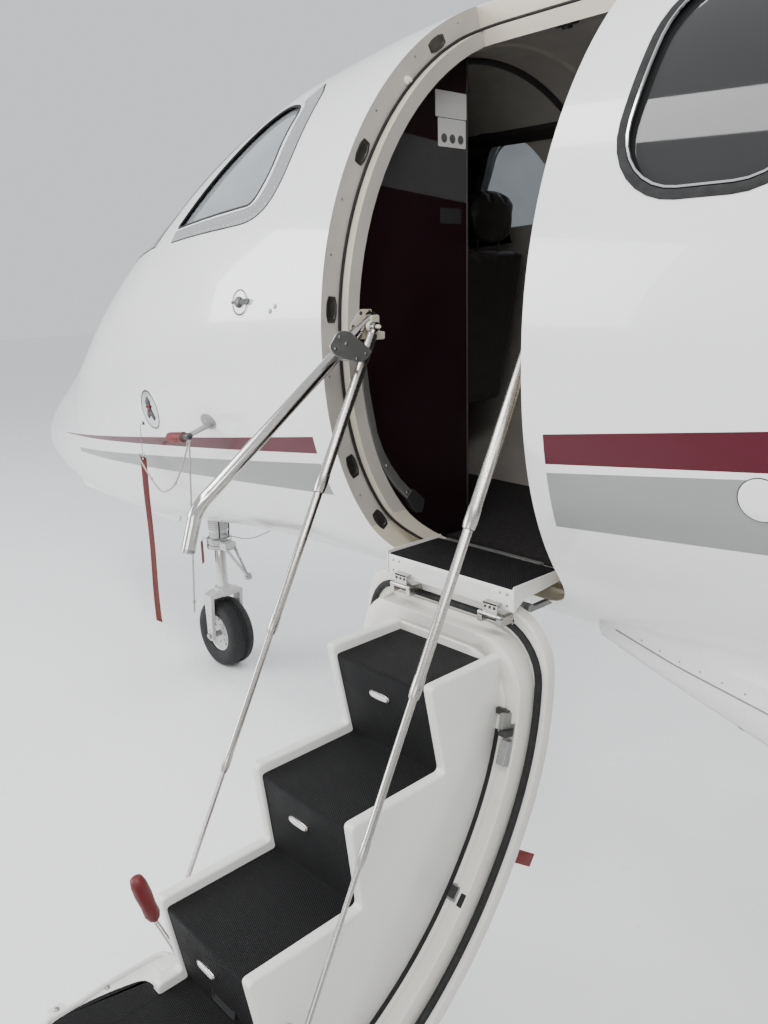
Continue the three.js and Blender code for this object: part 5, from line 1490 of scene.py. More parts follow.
# Stays: telescopes of four tubes, each on its own body, with a tapered collar at each end
STAY_EYE = (0.785, 1.872)
STAY_TOP = Vector((0, *STAY_EYE))
STAY_FOOT = Vector((0, 1.5, 0.505))
stay_run = STAY_FOOT - STAY_TOP
STAY_LENGTH = stay_run.length
stay_way = stay_run.normalized()
STAY_RADII = [0.014, 0.0112, 0.0086, 0.006]
STAY_BORES = [0.0132, 0.0105, 0.0076]
STAY_ENDS = [0.29, 0.53, 0.76, 1.0]
for name, x in (("fore", DOOR_X1 - 0.09), ("aft", DOOR_X0 + 0.052)):
    top = STAY_TOP + Vector((x, 0, 0))
    for i, radius in enumerate(STAY_RADII):
        start = 0.02 if i == 0 else STAY_ENDS[i - 1] * STAY_LENGTH - 0.046
        end = STAY_ENDS[i] * STAY_LENGTH - (0.0093 if i == 3 else 0)
        if i < 3:
            bore = STAY_BORES[i]
            profile = [
                (start, radius * 0.9), (start + 0.002, radius), (end - 0.05, radius),
                (end - 0.046, radius + 0.0012), (end - 0.014, radius + 0.0016), (end - 0.003, bore + 0.001),
                (end, bore + 0.0004), (end - 0.001, bore), (start + (0.012 if i < 2 else 0.0015), bore),
            ]
        else:
            profile = [
                (start, radius), (end - 0.034, radius), (end - 0.03, radius + 0.0012),
                (end - 0.006, radius + 0.0012), (end, radius + 0.0005),
            ]
        shaft = turned(f"stay_{name}_tube_{i + 1}", profile, top, stay_way, stainless, 24)
        body = f"stay_{name}_{i + 1}"
        if i == 0:
            eye = turned("eye", pin_profile(0.008, 0.0105, 0.007, 0.012), top, FORWARD, stainless, 24)
            neck = turned("neck", [(0.0, 0.007), (0.024, 0.008)], top, stay_way, stainless, 16)
            shaft = joined(f"stay_{name}_tube_1", [shaft, eye, neck], stainless)
        piece(shaft, body, body, slot="stay_metal", angle=40)
    inner, away = (STAIR_X1 + SIDE_WALL, 1) if name == "fore" else (STAIR_X0 - SIDE_WALL, -1)
    length = abs(x - inner) + 0.012
    profile = [(0, 0.018), (0.006, 0.018), (0.008, 0.009), (length, 0.009), (length + 0.001, 0.007)]
    wall_at = (inner, STAY_FOOT.y, STAY_FOOT.z)
    pin = turned(f"stay_{name}_foot_pin", profile, wall_at, (away, 0, 0), stainless, 24)
    piece(pin, STAIR, angle=40)

# Handrail: chrome tube with a flattened head, and the bracket that carries it with the fore stay
RAIL_X = DOOR_X1 - 0.055
RAIL_PIVOT = Vector((RAIL_X, 0.765, 1.895))
elbow, rail_end = Vector((RAIL_X, 1.318, 1.494)), Vector((RAIL_X, 1.352, 1.398))
rail_way = (elbow - RAIL_PIVOT).normalized()
rail_path = [RAIL_PIVOT + rail_way * s for s in (0.06, 0.2)] + [elbow - rail_way * s for s in (0.3, 0.07)]
bend = [
    elbow - rail_way * 0.05, elbow - rail_way * 0.02, elbow + Vector((0, 0.006, -0.014)),
    elbow + Vector((0, 0.014, -0.036)), rail_end,
]
rail = tube("handrail_tube", rail_path + smooth_path(bend, 5), 0.0165, chrome, 28)
head_path = [RAIL_PIVOT + rail_way * s for s in (0.0, 0.02, 0.045, 0.07)]
head = tube("head", head_path, 0.01, chrome, 20, radii=[0.009, 0.0095, 0.012, 0.0162])
eye = turned("eye", pin_profile(0.01, 0.011, 0.009, 0.013), RAIL_PIVOT, FORWARD, chrome, 24)
rail = joined("handrail_tube", [rail, head, eye], chrome)
piece(rail, "handrail", "handrail", slot="rail_chrome", angle=40)
cap_way = (rail_end - elbow).normalized()
profile = [(-0.004, 0.0172), (0.003, 0.0172), (0.006, 0.013)]
piece(turned("handrail_end", profile, rail_end, cap_way, steel, 28), "handrail", angle=40)

PLATE_X = DOOR_X1 - 0.116
rail_plate = rounded(
    [
        (0.93, 1.869), (0.894, 1.869), (0.819, 1.814), (0.835, 1.796), (0.864, 1.787), (0.942, 1.811),
        (0.96, 1.833),
    ],
    [0.014, 0.018, 0.008, 0.008, 0.01, 0.014, 0.012], 5,
)
plate = prism("plate", rail_plate, "x", PLATE_X, PLATE_X + 0.005, grey_metal)
spacer_at = (DOOR_X1 - 0.1122, 0.872, 1.797)
spacer = turned("spacer", [(0, 0.0058), (0.0572, 0.0058)], spacer_at, FORWARD, grey_metal, 20)
plate = joined("handrail_plate", [plate, spacer], grey_metal)
piece(plate, "handrail", bevel=0.0015, segments=2, angle=40)
screws = ((0.925, 1.855), (0.94, 1.828), (0.905, 1.838), (0.872, 1.799), (0.842, 1.809))
heads = facing(BACKWARD, [(PLATE_X, y, z) for y, z in screws])
piece(domes("handrail_plate_screws", heads, 0.0045, 0.0025, steel, 10), "handrail")

gusset = rounded(
    [(0.742, 1.914), (0.786, 1.914), (0.822, 1.872), (0.815, 1.85), (0.782, 1.838), (0.742, 1.838)],
    [0.006, 0.016, 0.012, 0.01, 0.01, 0.004], 5,
)
small_cheek = rounded_rect(0.751, 0.779, 1.85, 1.9, 0.006, 4)
arm = rounded_rect(0.742, 0.782, 1.838, 1.858, 0.004, 3)
EYE_X = DOOR_X1 - 0.0817
stay_pin = [(0, 0.0035), (0.001, 0.005), (0.034, 0.005), (0.035, 0.0035)]
rail_pin = [(0, 0.0035), (0.001, 0.005), (0.04, 0.005)]
cheeks = [
    prism("cheek", gusset, "x", DOOR_X1 - 0.034, DOOR_X1 - 0.002, grey_metal),
    prism("cheek", small_cheek, "x", DOOR_X1 - 0.072, DOOR_X1 - 0.0653, grey_metal),
    prism("arm", arm, "x", EYE_X, DOOR_X1 - 0.002, grey_metal),
    turned("eye", [(0, 0.014), (0.0117, 0.014)], (EYE_X, *STAY_EYE), FORWARD, grey_metal, 24),
    turned("pin", stay_pin, (DOOR_X1 - 0.11, *STAY_EYE), FORWARD, steel, 16),
    turned("pin", rail_pin, (DOOR_X1 - 0.071, 0.765, 1.895), FORWARD, steel, 16),
]
piece(joined("rail_bracket", cheeks, jamb_cream), AIR, bevel=0.0025, segments=3, angle=40)
screws = ((0.752, 1.907), (0.782, 1.905), (0.81, 1.872), (0.752, 1.846), (0.796, 1.852))
heads = facing(BACKWARD, [(DOOR_X1 - 0.034, y, z) for y, z in screws])
piece(domes("rail_bracket_screws", heads, 0.0052, 0.003, dark_steel, 10), AIR)
outline = rounded_rect(0.742, 0.8, 1.838, 1.906, 0.008, 4)
profile = [(0, 0.005), (0.041, 0.005), (0.042, 0.0035)]
aft_parts = [
    prism("foot", outline, "x", DOOR_X0 + 0.002, DOOR_X0 + 0.033, grey_metal),
    turned("eye", [(0, 0.014), (0.0135, 0.014)], (DOOR_X0 + 0.03, *STAY_EYE), FORWARD, grey_metal, 24),
    turned("pin", profile, (DOOR_X0 + 0.031, *STAY_EYE), FORWARD, steel, 16),
]
piece(joined("stay_bracket_aft", aft_parts, grey_metal), AIR, bevel=0.002, angle=40)

# Doorway frame: seal, latch pockets, fitting and the lip round it
def over_sill(point):
    """Whether a point of the doorway's outline lies where the seal is left out."""
    x, run = point
    return run < DOOR_SILL + 0.02 and DOOR_X0 + 0.1 < x < DOOR_X1 - 0.1


seal_outline = door_outline(0.006)
first = next(i for i, p in enumerate(seal_outline) if over_sill(seal_outline[i - 1]) and not over_sill(p))
seal_outline = seal_outline[first:] + seal_outline[:first]
frame_seal = [door_point(*point, 0.058) for point in seal_outline if not over_sill(point)]
piece(tube("doorway_seal", frame_seal, 0.004, black_rubber, 8), AIR, angle=60)
LATCH_POCKET = rounded(
    [
        (-0.011, -0.033), (0.011, -0.033), (0.0165, -0.014), (0.0165, 0.014), (0.011, 0.033),
        (-0.011, 0.033), (-0.0165, 0.014), (-0.0165, -0.014),
    ],
    0.003, 2,
)
POCKET_LAYERS = [(1.0, -0.001), (1.0, 0.0022), (0.86, 0.003), (0.72, 0.003), (0.66, 0.0012), (0.2, 0.0012)]
JAMBS = ((DOOR_X1, -1), (DOOR_X0, 1))
for i, (y, z) in enumerate(((0.449, 2.588), (0.73, 2.301), (0.84, 1.915), (0.802, 1.497), (0.7, 1.33))):
    for x, way in JAMBS:
        station = to_station(x)
        angle = body_angle(station, y, z)
        out = body_normal(station, angle)
        out.x = 0
        out.normalize()
        centre = body_point(station, angle, 0.034)
        up = Vector((0, -out.z, out.y))
        rings = []
        for grow, lift in POCKET_LAYERS:
            place = centre + FORWARD * (way * lift)
            rings.append([place + out * u * grow + up * v * grow for u, v in LATCH_POCKET])
        name = f"doorway_latch_{i + 1}_{'fore' if way < 0 else 'aft'}"
        piece(ring_mesh(name, rings, dark_steel), AIR, angle=35)
fitting = body_point(DOOR_FRONT, body_angle(DOOR_FRONT, 0.571, 2.495), 0.047)
profile = [(0, 0.0115), (0.004, 0.0115), (0.006, 0.01), (0.006, 0.006), (0.013, 0.0055), (0.014, 0.004)]
piece(turned("doorway_fitting", profile, fitting, -FORWARD, step_white, 28), AIR, angle=40)
screws = []
for y, z in (
    (0.36, 2.64), (0.52, 2.53), (0.66, 2.39), (0.79, 2.18), (0.84, 2.05), (0.84, 1.75), (0.83, 1.62),
    (0.76, 1.42),
):
    for x, way in JAMBS:
        screws.append((body_point(to_station(x), body_angle(DOOR_FRONT, y, z), 0.02), FORWARD * way))
piece(domes("doorway_screws", screws, 0.0035, 0.0015, steel, 8), AIR)

# Curved flat arm beside the fore jamb, with a dark socket at its foot
ARM_PATH = [
    (0.772, 1.8, 0.009), (0.77, 1.76, 0.01), (0.766, 1.7, 0.0125), (0.755, 1.644, 0.013),
    (0.741, 1.58, 0.012), (0.72, 1.525, 0.0135), (0.692, 1.476, 0.015), (0.655, 1.43, 0.0145),
    (0.612, 1.388, 0.014),
]
ARM_X = 2.4805
rings = []
for i, (y, z, half) in enumerate(ARM_PATH):
    before, after = ARM_PATH[max(0, i - 1)], ARM_PATH[min(len(ARM_PATH) - 1, i + 1)]
    way = Vector((0, after[0] - before[0], after[1] - before[1])).normalized()
    across = Vector((0, -way.z, way.y))
    corners = rounded_rect(ARM_X, ARM_X + 0.0135, -half, half, 0.003, 3)
    rings.append([Vector((x, y, z)) + across * out for x, out in corners])
piece(ring_mesh("jamb_arm", rings, grey_metal), AIR, angle=50)
pins = facing(BACKWARD, [(ARM_X, y, z) for y, z in ((0.7715, 1.785), (0.7, 1.488), (0.622, 1.397))])
piece(domes("jamb_arm_pins", pins, 0.005, 0.003, steel, 12), AIR)
socket = rounded([(0.625, 1.38), (0.6, 1.405), (0.55, 1.365), (0.56, 1.325), (0.59, 1.33)], 0.008, 4)
piece(prism("jamb_arm_socket", socket, "x", 2.479, 2.5, dark_plastic), AIR, bevel=0.003, angle=40)

# Side-window frame: a polished riveted band below and behind the glass, with dark sealing lines
BAND_INNER = [
    (2.965, 2.163), (3.1, 2.171), (3.25, 2.18), (3.4, 2.19), (3.47, 2.196), (3.51, 2.207), (3.535, 2.232),
    (3.55, 2.27), (3.553, 2.31), (3.545, 2.37), (3.53, 2.43), (3.508, 2.478), (3.47, 2.503),
]
BAND_OUTER = [
    (2.955, 2.128), (3.1, 2.136), (3.25, 2.143), (3.4, 2.15), (3.49, 2.157), (3.55, 2.175), (3.592, 2.207),
    (3.616, 2.255), (3.622, 2.31), (3.614, 2.38), (3.594, 2.45), (3.56, 2.51), (3.5, 2.552),
]
BAND_SECTION = [(0, -0.003), (0, 0.0012), (0.35, 0.0016), (0.65, 0.0016), (1, 0.0012), (1, -0.003)]
for name, side in SIDES:
    inner = smooth_path([Vector((*p, 0)) for p in BAND_INNER], 4)
    outer = smooth_path([Vector((*p, 0)) for p in BAND_OUTER], 4)
    rings, rivets = [], []
    for a, b in zip(inner, outer):
        ring = []
        for share, lift in BAND_SECTION:
            p = a + (b - a) * share
            ring.append(on_body(side_point(p.x, p.y, side), lift)[0])
        rings.append(ring)
    outer_line = [side_point(b.x, b.y, side) for b in outer]
    piece(ring_mesh(f"window_band_{name}", rings, polished), AIR, angle=30)
    for share, step in ((0.22, 0.02), (0.8, 0.024)):
        line = [a + (b - a) * share for a, b in zip(inner, outer)]
        gone = 0.0
        for before, after in zip(line, line[1:]):
            length = (after - before).length
            while gone < length:
                p = before + (after - before) * (gone / length)
                point, normal = on_body(side_point(p.x, p.y, side), 0.0015)
                rivets.append((point, normal))
                gone += step
            gone -= length
    piece(domes(f"window_band_rivets_{name}", rivets, 0.0032, 0.0009, steel, 8), AIR)
    piece(body_strip(f"window_band_seal_{name}", outer_line, THIN_SEAL, black_rubber, closed=False), AIR)
    edge = side_path(shrunk(SIDE_WINDOW, 0.004), side, 0.02)
    piece(body_strip(f"cockpit_window_seal_{name}", edge, THIN_SEAL, black_rubber), AIR)

# Static port plate, wire and ring for the streamer
def about(centre, places, lift):
    """Places on the body about a centre, with the normal there; each is (forward, up)."""
    return [on_body(centre + Vector((u, 0, v)), lift) for u, v in places]


def ringed_plate(name, centre, disc, line, lift, high, material):
    """An oval plate on the body with a dark line inside its edge."""
    piece(body_patch(name, centre, disc, -0.002, high, material), AIR)
    ring_path = [point for point, normal in about(centre, line, lift)]
    section = pin_profile(0.0028, 0, 0.002, 0.0014)
    piece(body_strip(f"{name}_ring", ring_path, section, black_rubber), AIR)


plate_centre = side_point(2.825, 1.561)
ringed_plate(
    "static_plate", plate_centre, oval(0.07, 0.074, 48), oval(0.066, 0.07, 48), 0.001, 0.0012, polished,
)
clip = [
    (-0.012, 0.036), (0.004, 0.05), (0.022, 0.03), (0.014, 0.006), (0.03, -0.024), (0.02, -0.034),
    (0.002, -0.014), (-0.022, -0.038), (-0.032, -0.026), (-0.012, 0.004),
]
clip = body_patch("static_clip", plate_centre, rounded(clip, 0.004, 3), 0.0005, 0.0042, dark_plastic)
piece(clip, AIR, angle=40)
ports = about(plate_centre, ((0.0, 0.0), (0.012, 0.012), (-0.01, 0.014)), 0.004)
piece(domes("static_port_studs", ports, 0.005, 0.004, red_cover, 14), AIR)
stub_top = on_body(side_point(WIRE_STATION, 1.5))[0]
wire_route = [
    stub_top, stub_top + Vector((0, 0.006, -0.002)), Vector((WIRE_X, WIRE_Y, 1.49)),
    Vector((WIRE_X, WIRE_Y, RING_Z + 0.007)),
]
piece(tube("static_wire", smooth_path(wire_route, 6), 0.0014, steel, 8), AIR)
stud = [on_body(side_point(WIRE_STATION, 1.502))]
piece(domes("static_wire_stud", stud, 0.008, 0.004, dark_steel, 16), AIR)

# Vane plate with two studs behind it
vane_centre = side_point(3.523, 1.936)
ringed_plate(
    "vane_plate", vane_centre, oval(0.042, 0.04, 44), oval(0.037, 0.035, 44), 0.0012, 0.0014, plain_paint,
)
hub_at, hub_way = on_body(vane_centre)
profile = [(0, 0.016), (0.008, 0.0155), (0.012, 0.011), (0.013, 0.004)]
hub = turned("hub", profile, hub_at, hub_way, dark_steel, 28)
blade = rounded([(0.03, -0.004), (0.03, 0.003), (-0.052, 0.012), (-0.06, 0.009), (-0.05, -0.006)], 0.003, 3)
blade_mesh = prism("blade", blade, "y", 0.007, 0.0105, dark_steel)
blade_mesh.data.transform(Matrix.Translation(hub_at))
piece(joined("vane", [hub, blade_mesh], dark_steel), AIR, bevel=0.0008)
studs = [on_body(side_point(station, z)) for station, z in ((3.676, 1.913), (3.699, 1.926))]
piece(domes("vane_studs", studs, 0.0075, 0.005, steel, 16), AIR)

# Pitot probe in its red cover, on a faired mast
MAST_FOOT = Vector((to_x(3.262), 0.815, 1.566))
MAST_TIP = Vector((to_x(3.292), 0.945, 1.536))
mast_rings = []
mast_way = (MAST_TIP - MAST_FOOT).normalized()
chord_way = (FORWARD - mast_way * mast_way.x).normalized()
thick_way = mast_way.cross(chord_way)
for share, half in ((0.0, 0.026), (0.25, 0.021), (0.6, 0.017), (0.9, 0.0155), (1.0, 0.014)):
    centre = MAST_FOOT + (MAST_TIP - MAST_FOOT) * share
    mast_rings.append([centre + chord_way * u + thick_way * v for u, v in oval(half, half * 0.36, 24)])
mast = ring_mesh("probe_mast", mast_rings, grey_metal)
piece(mast, AIR, angle=50)
foot_at = side_point(3.262, 1.566)
piece(body_patch("probe_foot", foot_at, oval(0.045, 0.026, 36), -0.002, 0.003, grey_metal), AIR)
PROBE_SCREWS = ((-0.034, 0), (0.034, 0), (-0.015, 0.018), (0.015, 0.018), (-0.015, -0.018), (0.015, -0.018))
piece(domes("probe_foot_screws", about(foot_at, PROBE_SCREWS, 0.003), 0.003, 0.001, steel, 8), AIR)
probe_back, probe_front = Vector((to_x(3.312), 0.95, 1.538)), Vector((to_x(3.262), 0.947, 1.528))
profile = [(0, 0.004), (0.002, 0.0095), (0.006, 0.0108), (0.03, 0.0108), (0.05, 0.0104)]
probe = turned("probe_body", profile, probe_back, probe_front - probe_back, dark_steel, 28)
piece(probe, AIR, angle=50)
cover_back, cover_front = Vector((to_x(3.266), 0.947, 1.529)), Vector((to_x(3.16), 0.94, 1.516))
cover_way = cover_front - cover_back
profile = [
    (-0.008, 0.0115), (-0.004, 0.0145), (0.008, 0.0155), (0.016, 0.0145), (0.02, 0.016), (0.06, 0.0165),
    (0.096, 0.0162), (0.103, 0.0135), (0.1065, 0.006),
]
piece(turned("probe_cover", profile, cover_back, cover_way, red_cover, 32), AIR, angle=50)
profile = [(-0.002, 0.0158), (-0.001, 0.0168), (0.008, 0.0168), (0.009, 0.0158)]
piece(turned("probe_cover_collar", profile, cover_back, cover_way, dark_plastic, 32), AIR, angle=50)

# Round cover aft of the door, and the body's small fasteners
round_centre = side_point(5.041, 1.605)
piece(body_patch("round_cover", round_centre, oval(0.04, 0.04, 48), -0.002, 0.0014, plain_paint), AIR)
for radius, width in ((0.0415, 0.0012), (0.033, 0.0007)):
    ring_path = [point for point, normal in about(round_centre, oval(radius, radius, 60), 0.0006)]
    section = [(-width, 0), (-width * 0.6, 0.0012), (width * 0.6, 0.0012), (width, 0)]
    piece(body_strip(f"round_cover_line_{int(radius * 1000)}", ring_path, section, dark_steel), AIR)
screw_circle = [(0.037 * math.cos(a), 0.037 * math.sin(a)) for a in spread(0.3, 5.8, 6)]
fasteners = about(round_centre, screw_circle, 0.001)
for station, low, high in ((1.5, 1.0, 1.72), (5.28, 1.15, 2.5), (7.28, 1.2, 2.5)):
    for side in (1, -1):
        for z in spread(low, high, 24):
            fasteners.append(on_body(side_point(station, z, side)))
piece(domes("skin_fasteners", fasteners, 0.0022, 0.0003, steel, 6), AIR)

# Cabin floor with its carpet, and the metal strip along the doorway
FLOOR_LOW = 1.16
floor_stations = spread(2.065, 7.135, 60)
left_edge = [(to_x(s), reach_at(s, FLOOR_LOW, WALL + 0.001)) for s in floor_stations]
deck_outline = left_edge + [(x, -y) for x, y in reversed(left_edge)]
deck = prism("cabin_carpet", deck_outline, "z", FLOOR_LOW, FLOOR_TOP - 0.0004, carpet)
piece(deck, AIR, "cabin_floor", slot="carpet", angle=40)
strip = rounded_rect(DOOR_X0 + 0.05, DOOR_X1 - 0.05, 0.56, 0.6, 0.004, 3)
piece(prism("threshold_strip", strip, "z", FLOOR_TOP, FLOOR_TOP + 0.0025, steel), AIR, bevel=0.001)
screw_line = [(x, 0.58, FLOOR_TOP + 0.0025) for x in spread(DOOR_X0 + 0.08, DOOR_X1 - 0.08, 7)]
heads = facing(UPWARD, screw_line)
piece(domes("threshold_screws", heads, 0.0045, 0.0012, dark_steel, 10), AIR)

# Entry bulkhead: padded panel with an edge trim and blank plates
BULKHEAD_X = to_x(3.83)
AISLE_Y = 0.25
BULKHEAD_STATION = 3.8
BULKHEAD_INSET = 0.102
floor_edge = reach_at(BULKHEAD_STATION, FLOOR_TOP, BULKHEAD_INSET)
edge_angles = spread(body_angle(BULKHEAD_STATION, floor_edge, FLOOR_TOP), math.radians(72), 60)
wall_line = [body_point(BULKHEAD_STATION, a, BULKHEAD_INSET) for a in edge_angles]
wall_line = [(max(p.y, AISLE_Y), p.z) for p in wall_line if p.z > FLOOR_TOP + 0.001]
top_z = wall_line[-1][1]
outboard = [(y, z) for y, z in wall_line if y > AISLE_Y + 0.002]
panel_outline = [(AISLE_Y, FLOOR_TOP + 0.001), *outboard, (AISLE_Y, top_z)]
bulkhead = prism("bulkhead_panel", panel_outline, "x", BULKHEAD_X, BULKHEAD_X + 0.03, panel)
piece(bulkhead, AIR, "entry_bulkhead", slot="panel", angle=50)
edge = [(BULKHEAD_X + 0.0005, AISLE_Y + 0.001, z) for z in spread(FLOOR_TOP + 0.002, top_z - 0.01, 20)]
piece(tube("bulkhead_trim", edge, 0.0035, leather, 10), AIR, angle=60)
PLATE_FACE = BULKHEAD_X - 0.0012
for name, y0, y1, z0, z1, material in (
    ("upper", 0.255, 0.385, 2.43, 2.5, placard),
    ("lower", 0.258, 0.375, 2.352, 2.428, placard),
    ("small", 0.278, 0.369, 2.142, 2.186, dark_plastic),
):
    outline = rounded_rect(y0, y1, z0, z1, 0.004, 3)
    plate = prism(f"bulkhead_plate_{name}", outline, "x", PLATE_FACE, BULKHEAD_X - 0.0002, material)
    piece(plate, AIR)
marks = facing(BACKWARD, [(PLATE_FACE, y, 2.375) for y in (0.28, 0.315, 0.35)])
piece(domes("bulkhead_plate_marks", marks, 0.013, 0.0006, grey_metal, 20), AIR)

# Headliner rolls, the curved dark seal over the cockpit opening and the trim along the cockpit's top
ROLL_SECTION = [(-0.012, -0.003), (-0.006, 0.0045), (0, 0.006), (0.006, 0.0045), (0.012, -0.003)]
for i, station in enumerate((3.86, 4.62, 5.3, 6.2)):
    line = [body_point(station, a, WALL + 0.002) for a in spread(math.radians(28), math.radians(152), 40)]
    rings = []
    for point in line:
        out = Vector((0, point.y, point.z - WAIST)).normalized()
        rings.append([point + FORWARD * u - out * v for u, v in ROLL_SECTION])
    piece(ring_mesh(f"headliner_roll_{i + 1}", rings, headliner), AIR, angle=60)
arch = [body_point(3.72, a, WALL + 0.006) for a in spread(math.radians(20), math.radians(160), 50)]
piece(tube("cockpit_arch_seal", arch, 0.011, leather, 12), AIR, angle=60)
TOP_TRIM_SECTION = [(0, 0.001), (0, 0.014), (0.07, 0.016), (0.08, 0.001)]
for side_name, side in SIDES:
    rings = []
    for station in spread(2.75, 3.72, 24):
        low = angle_at(station, 2.56)
        section = [body_point(station, low + turn, WALL + inset) for turn, inset in TOP_TRIM_SECTION]
        rings.append([Vector((p.x, side * p.y, p.z)) for p in section])
    piece(ring_mesh(f"cockpit_top_trim_{side_name}", rings, leather), AIR, angle=50)

# Air outlets in the headliner above the aisle
OUTLET = [(-0.002, 0.032), (0.006, 0.032), (0.009, 0.028), (0.009, 0.016), (0.016, 0.013), (0.016, 0.004)]
outlets = []
for station in (4.15, 4.45, 5.2, 6.2):
    for side in (1, -1):
        point = body_point(station, math.pi / 2 - side * 0.28, WALL + 0.001)
        down = Vector((0, -point.y, WAIST - point.z)).normalized()
        outlets.append(turned("outlet", OUTLET, point, down, dark_plastic, 24))
piece(joined("air_outlets", outlets, dark_plastic), AIR, angle=40)

# Glare shield and instrument face
SHIELD_X = to_x(2.352)
rings = []
for station, top, half in (
    (2.352, 1.862, 0.53), (2.25, 1.885, 0.52), (2.1, 1.885, 0.5), (1.95, 1.87, 0.45),
):
    outline = rounded(
        [
            (-half, 1.66), (half, 1.66), (half, top - 0.02), (half * 0.6, top), (-half * 0.6, top),
            (-half, top - 0.02),
        ],
        0.012, 3,
    )
    rings.append([(to_x(station), y, z) for y, z in outline])
glare = ring_mesh("glare_shield", rings, leather)
piece(glare, AIR, bevel=0.006, segments=3, angle=40)
bezels, screens = [], []
for y in (-0.36, -0.14, 0.14, 0.36):
    outline = rounded_rect(y - 0.09, y + 0.09, 1.69, 1.81, 0.01, 3)
    bezels.append(prism("bezel", outline, "x", SHIELD_X - 0.006, SHIELD_X - 0.0005, dark_plastic))
    outline = rounded_rect(y - 0.078, y + 0.078, 1.702, 1.798, 0.004, 3)
    screens.append(prism("screen", outline, "x", SHIELD_X - 0.0072, SHIELD_X - 0.006, tinted))
piece(joined("instrument_bezels", bezels, dark_plastic), AIR, bevel=0.001)
piece(joined("instrument_screens", screens, tinted), AIR)


# Seats: pedestal, padded seat, back and headrest with piping and stitched channels
def puffed(obj, cap, pressure=4.0):
    """Fills a cushion like a stuffed cover, without letting any point move further than the cap."""
    remesh = obj.modifiers.new("remesh", "REMESH")
    remesh.mode = "VOXEL"
    remesh.voxel_size = 0.0065
    apply_modifiers(obj)
    before = [v.co.copy() for v in obj.data.vertices]
    cloth = obj.modifiers.new("cloth", "CLOTH")
    cloth.settings.use_pressure = True
    cloth.settings.uniform_pressure_force = pressure
    cloth.settings.quality = 4
    cloth.settings.effector_weights.gravity = 0
    cloth.point_cache.frame_start = 1
    cloth.point_cache.frame_end = 20
    for number in range(1, 21):
        bpy.context.scene.frame_set(number)
    apply_modifiers(obj)
    for vertex, start in zip(obj.data.vertices, before):
        moved = vertex.co - start
        if moved.length > cap:
            vertex.co = start + moved.normalized() * cap
    bpy.context.scene.frame_set(1)
    smooth = obj.modifiers.new("relax", "SMOOTH")
    smooth.factor = 0.5
    smooth.iterations = 4
    apply_modifiers(obj)
    obj.data.polygons.foreach_set("use_smooth", [True] * len(obj.data.polygons))
    return obj


def cushion(name, profile, half, crown):
    """A crowned pad: its side profile swept across, drawn in towards both sides."""
    rings = []
    for share, by in (
        (-1.0, 0.034), (-0.985, 0.016), (-0.94, 0.005), (-0.8, 0.0), (0.8, 0.0), (0.94, 0.005),
        (0.985, 0.016), (1.0, 0.034),
    ):
        rings.append([(x, half * share, z) for x, z in drawn_in(profile, by + crown)])
    return puffed(ring_mesh(name, rings, leather), 0.009)


def head_cushion(name, profile, half):
    """A headrest, rounded off towards both sides like an oval seen from ahead."""
    middle_x = sum(x for x, z in profile) / len(profile)
    middle_z = sum(z for x, z in profile) / len(profile)
    rings = []
    for share in (-0.995, -0.96, -0.88, -0.74, -0.5, -0.2, 0.2, 0.5, 0.74, 0.88, 0.96, 0.995):
        size = (1 - abs(share) ** 2.8) ** (1 / 2.8)
        deep = 0.35 + 0.65 * size
        rings.append([
            (middle_x + (x - middle_x) * deep, half * share, middle_z + (z - middle_z) * size)
            for x, z in profile
        ])
    return puffed(ring_mesh(name, rings, leather), 0.009)


def snapped(pad, points, lift):
    """Points moved to the pad's surface, then out a little."""
    out = []
    for point in points:
        nearest = pad.closest_point_on_mesh(Vector(point))
        out.append(nearest[1] + nearest[2] * lift)
    return out


SEAT_SIDE = [(0.224, 1.478), (0.233, 1.552), (0.21, 1.582), (-0.118, 1.562), (-0.19, 1.545), (-0.2, 1.478)]
SEAT_PROFILE = rounded(SEAT_SIDE, 0.02, 3)
BACK_PROFILE = rounded(
    [
        (-0.136, 1.59), (-0.22, 1.85), (-0.295, 2.1), (-0.384, 2.09), (-0.326, 1.78), (-0.268, 1.49),
        (-0.21, 1.49),
    ],
    0.018, 3,
)
HEAD_PROFILE = rounded(
    [(-0.286, 2.122), (-0.297, 2.285), (-0.322, 2.304), (-0.374, 2.293), (-0.388, 2.276), (-0.376, 2.114)],
    0.018, 3,
)
seat_pads = {}
for half in (0.19, 0.205):
    seat_pads[half] = (
        cushion("pad", SEAT_PROFILE, half, 0.004), cushion("pad", BACK_PROFILE, half, 0.004),
        head_cushion("pad", HEAD_PROFILE, 0.118),
    )


def pad_seams(pad, half, kind):
    """Piping round a pad and channels sewn across it."""
    if kind == "seat":
        loops = [[(0.2, y, 1.6) for y in spread(-half + 0.03, half - 0.03, 12)]]
        for x in (-0.08, 0.02, 0.12):
            loops.append([(x, y, 1.6) for y in spread(-half + 0.02, half - 0.02, 16)])
        for side in (-1, 1):
            loops.append([(x, side * half * 0.94, 1.59) for x in spread(-0.17, 0.215, 16)])
    elif kind == "back":
        loops = []
        for share in (0.22, 0.4, 0.58, 0.76):
            x, z = -0.13 - 0.165 * share, 1.6 + 0.5 * share
            loops.append([(x, y, z) for y in spread(-half + 0.02, half - 0.02, 16)])
        for side in (-1, 1):
            loops.append(
                [(-0.13 - 0.165 * t, side * half * 0.95, 1.6 + 0.5 * t) for t in spread(0.04, 0.97, 20)]
            )
    else:
        loops = [[(-0.29, y, z) for y in spread(-0.08, 0.08, 10)] for z in (2.18, 2.24)]
    seams = [tube("seam", snapped(pad, line, 0.0006), 0.0026, leather, 6) for line in loops]
    return joined("seams", seams, leather)


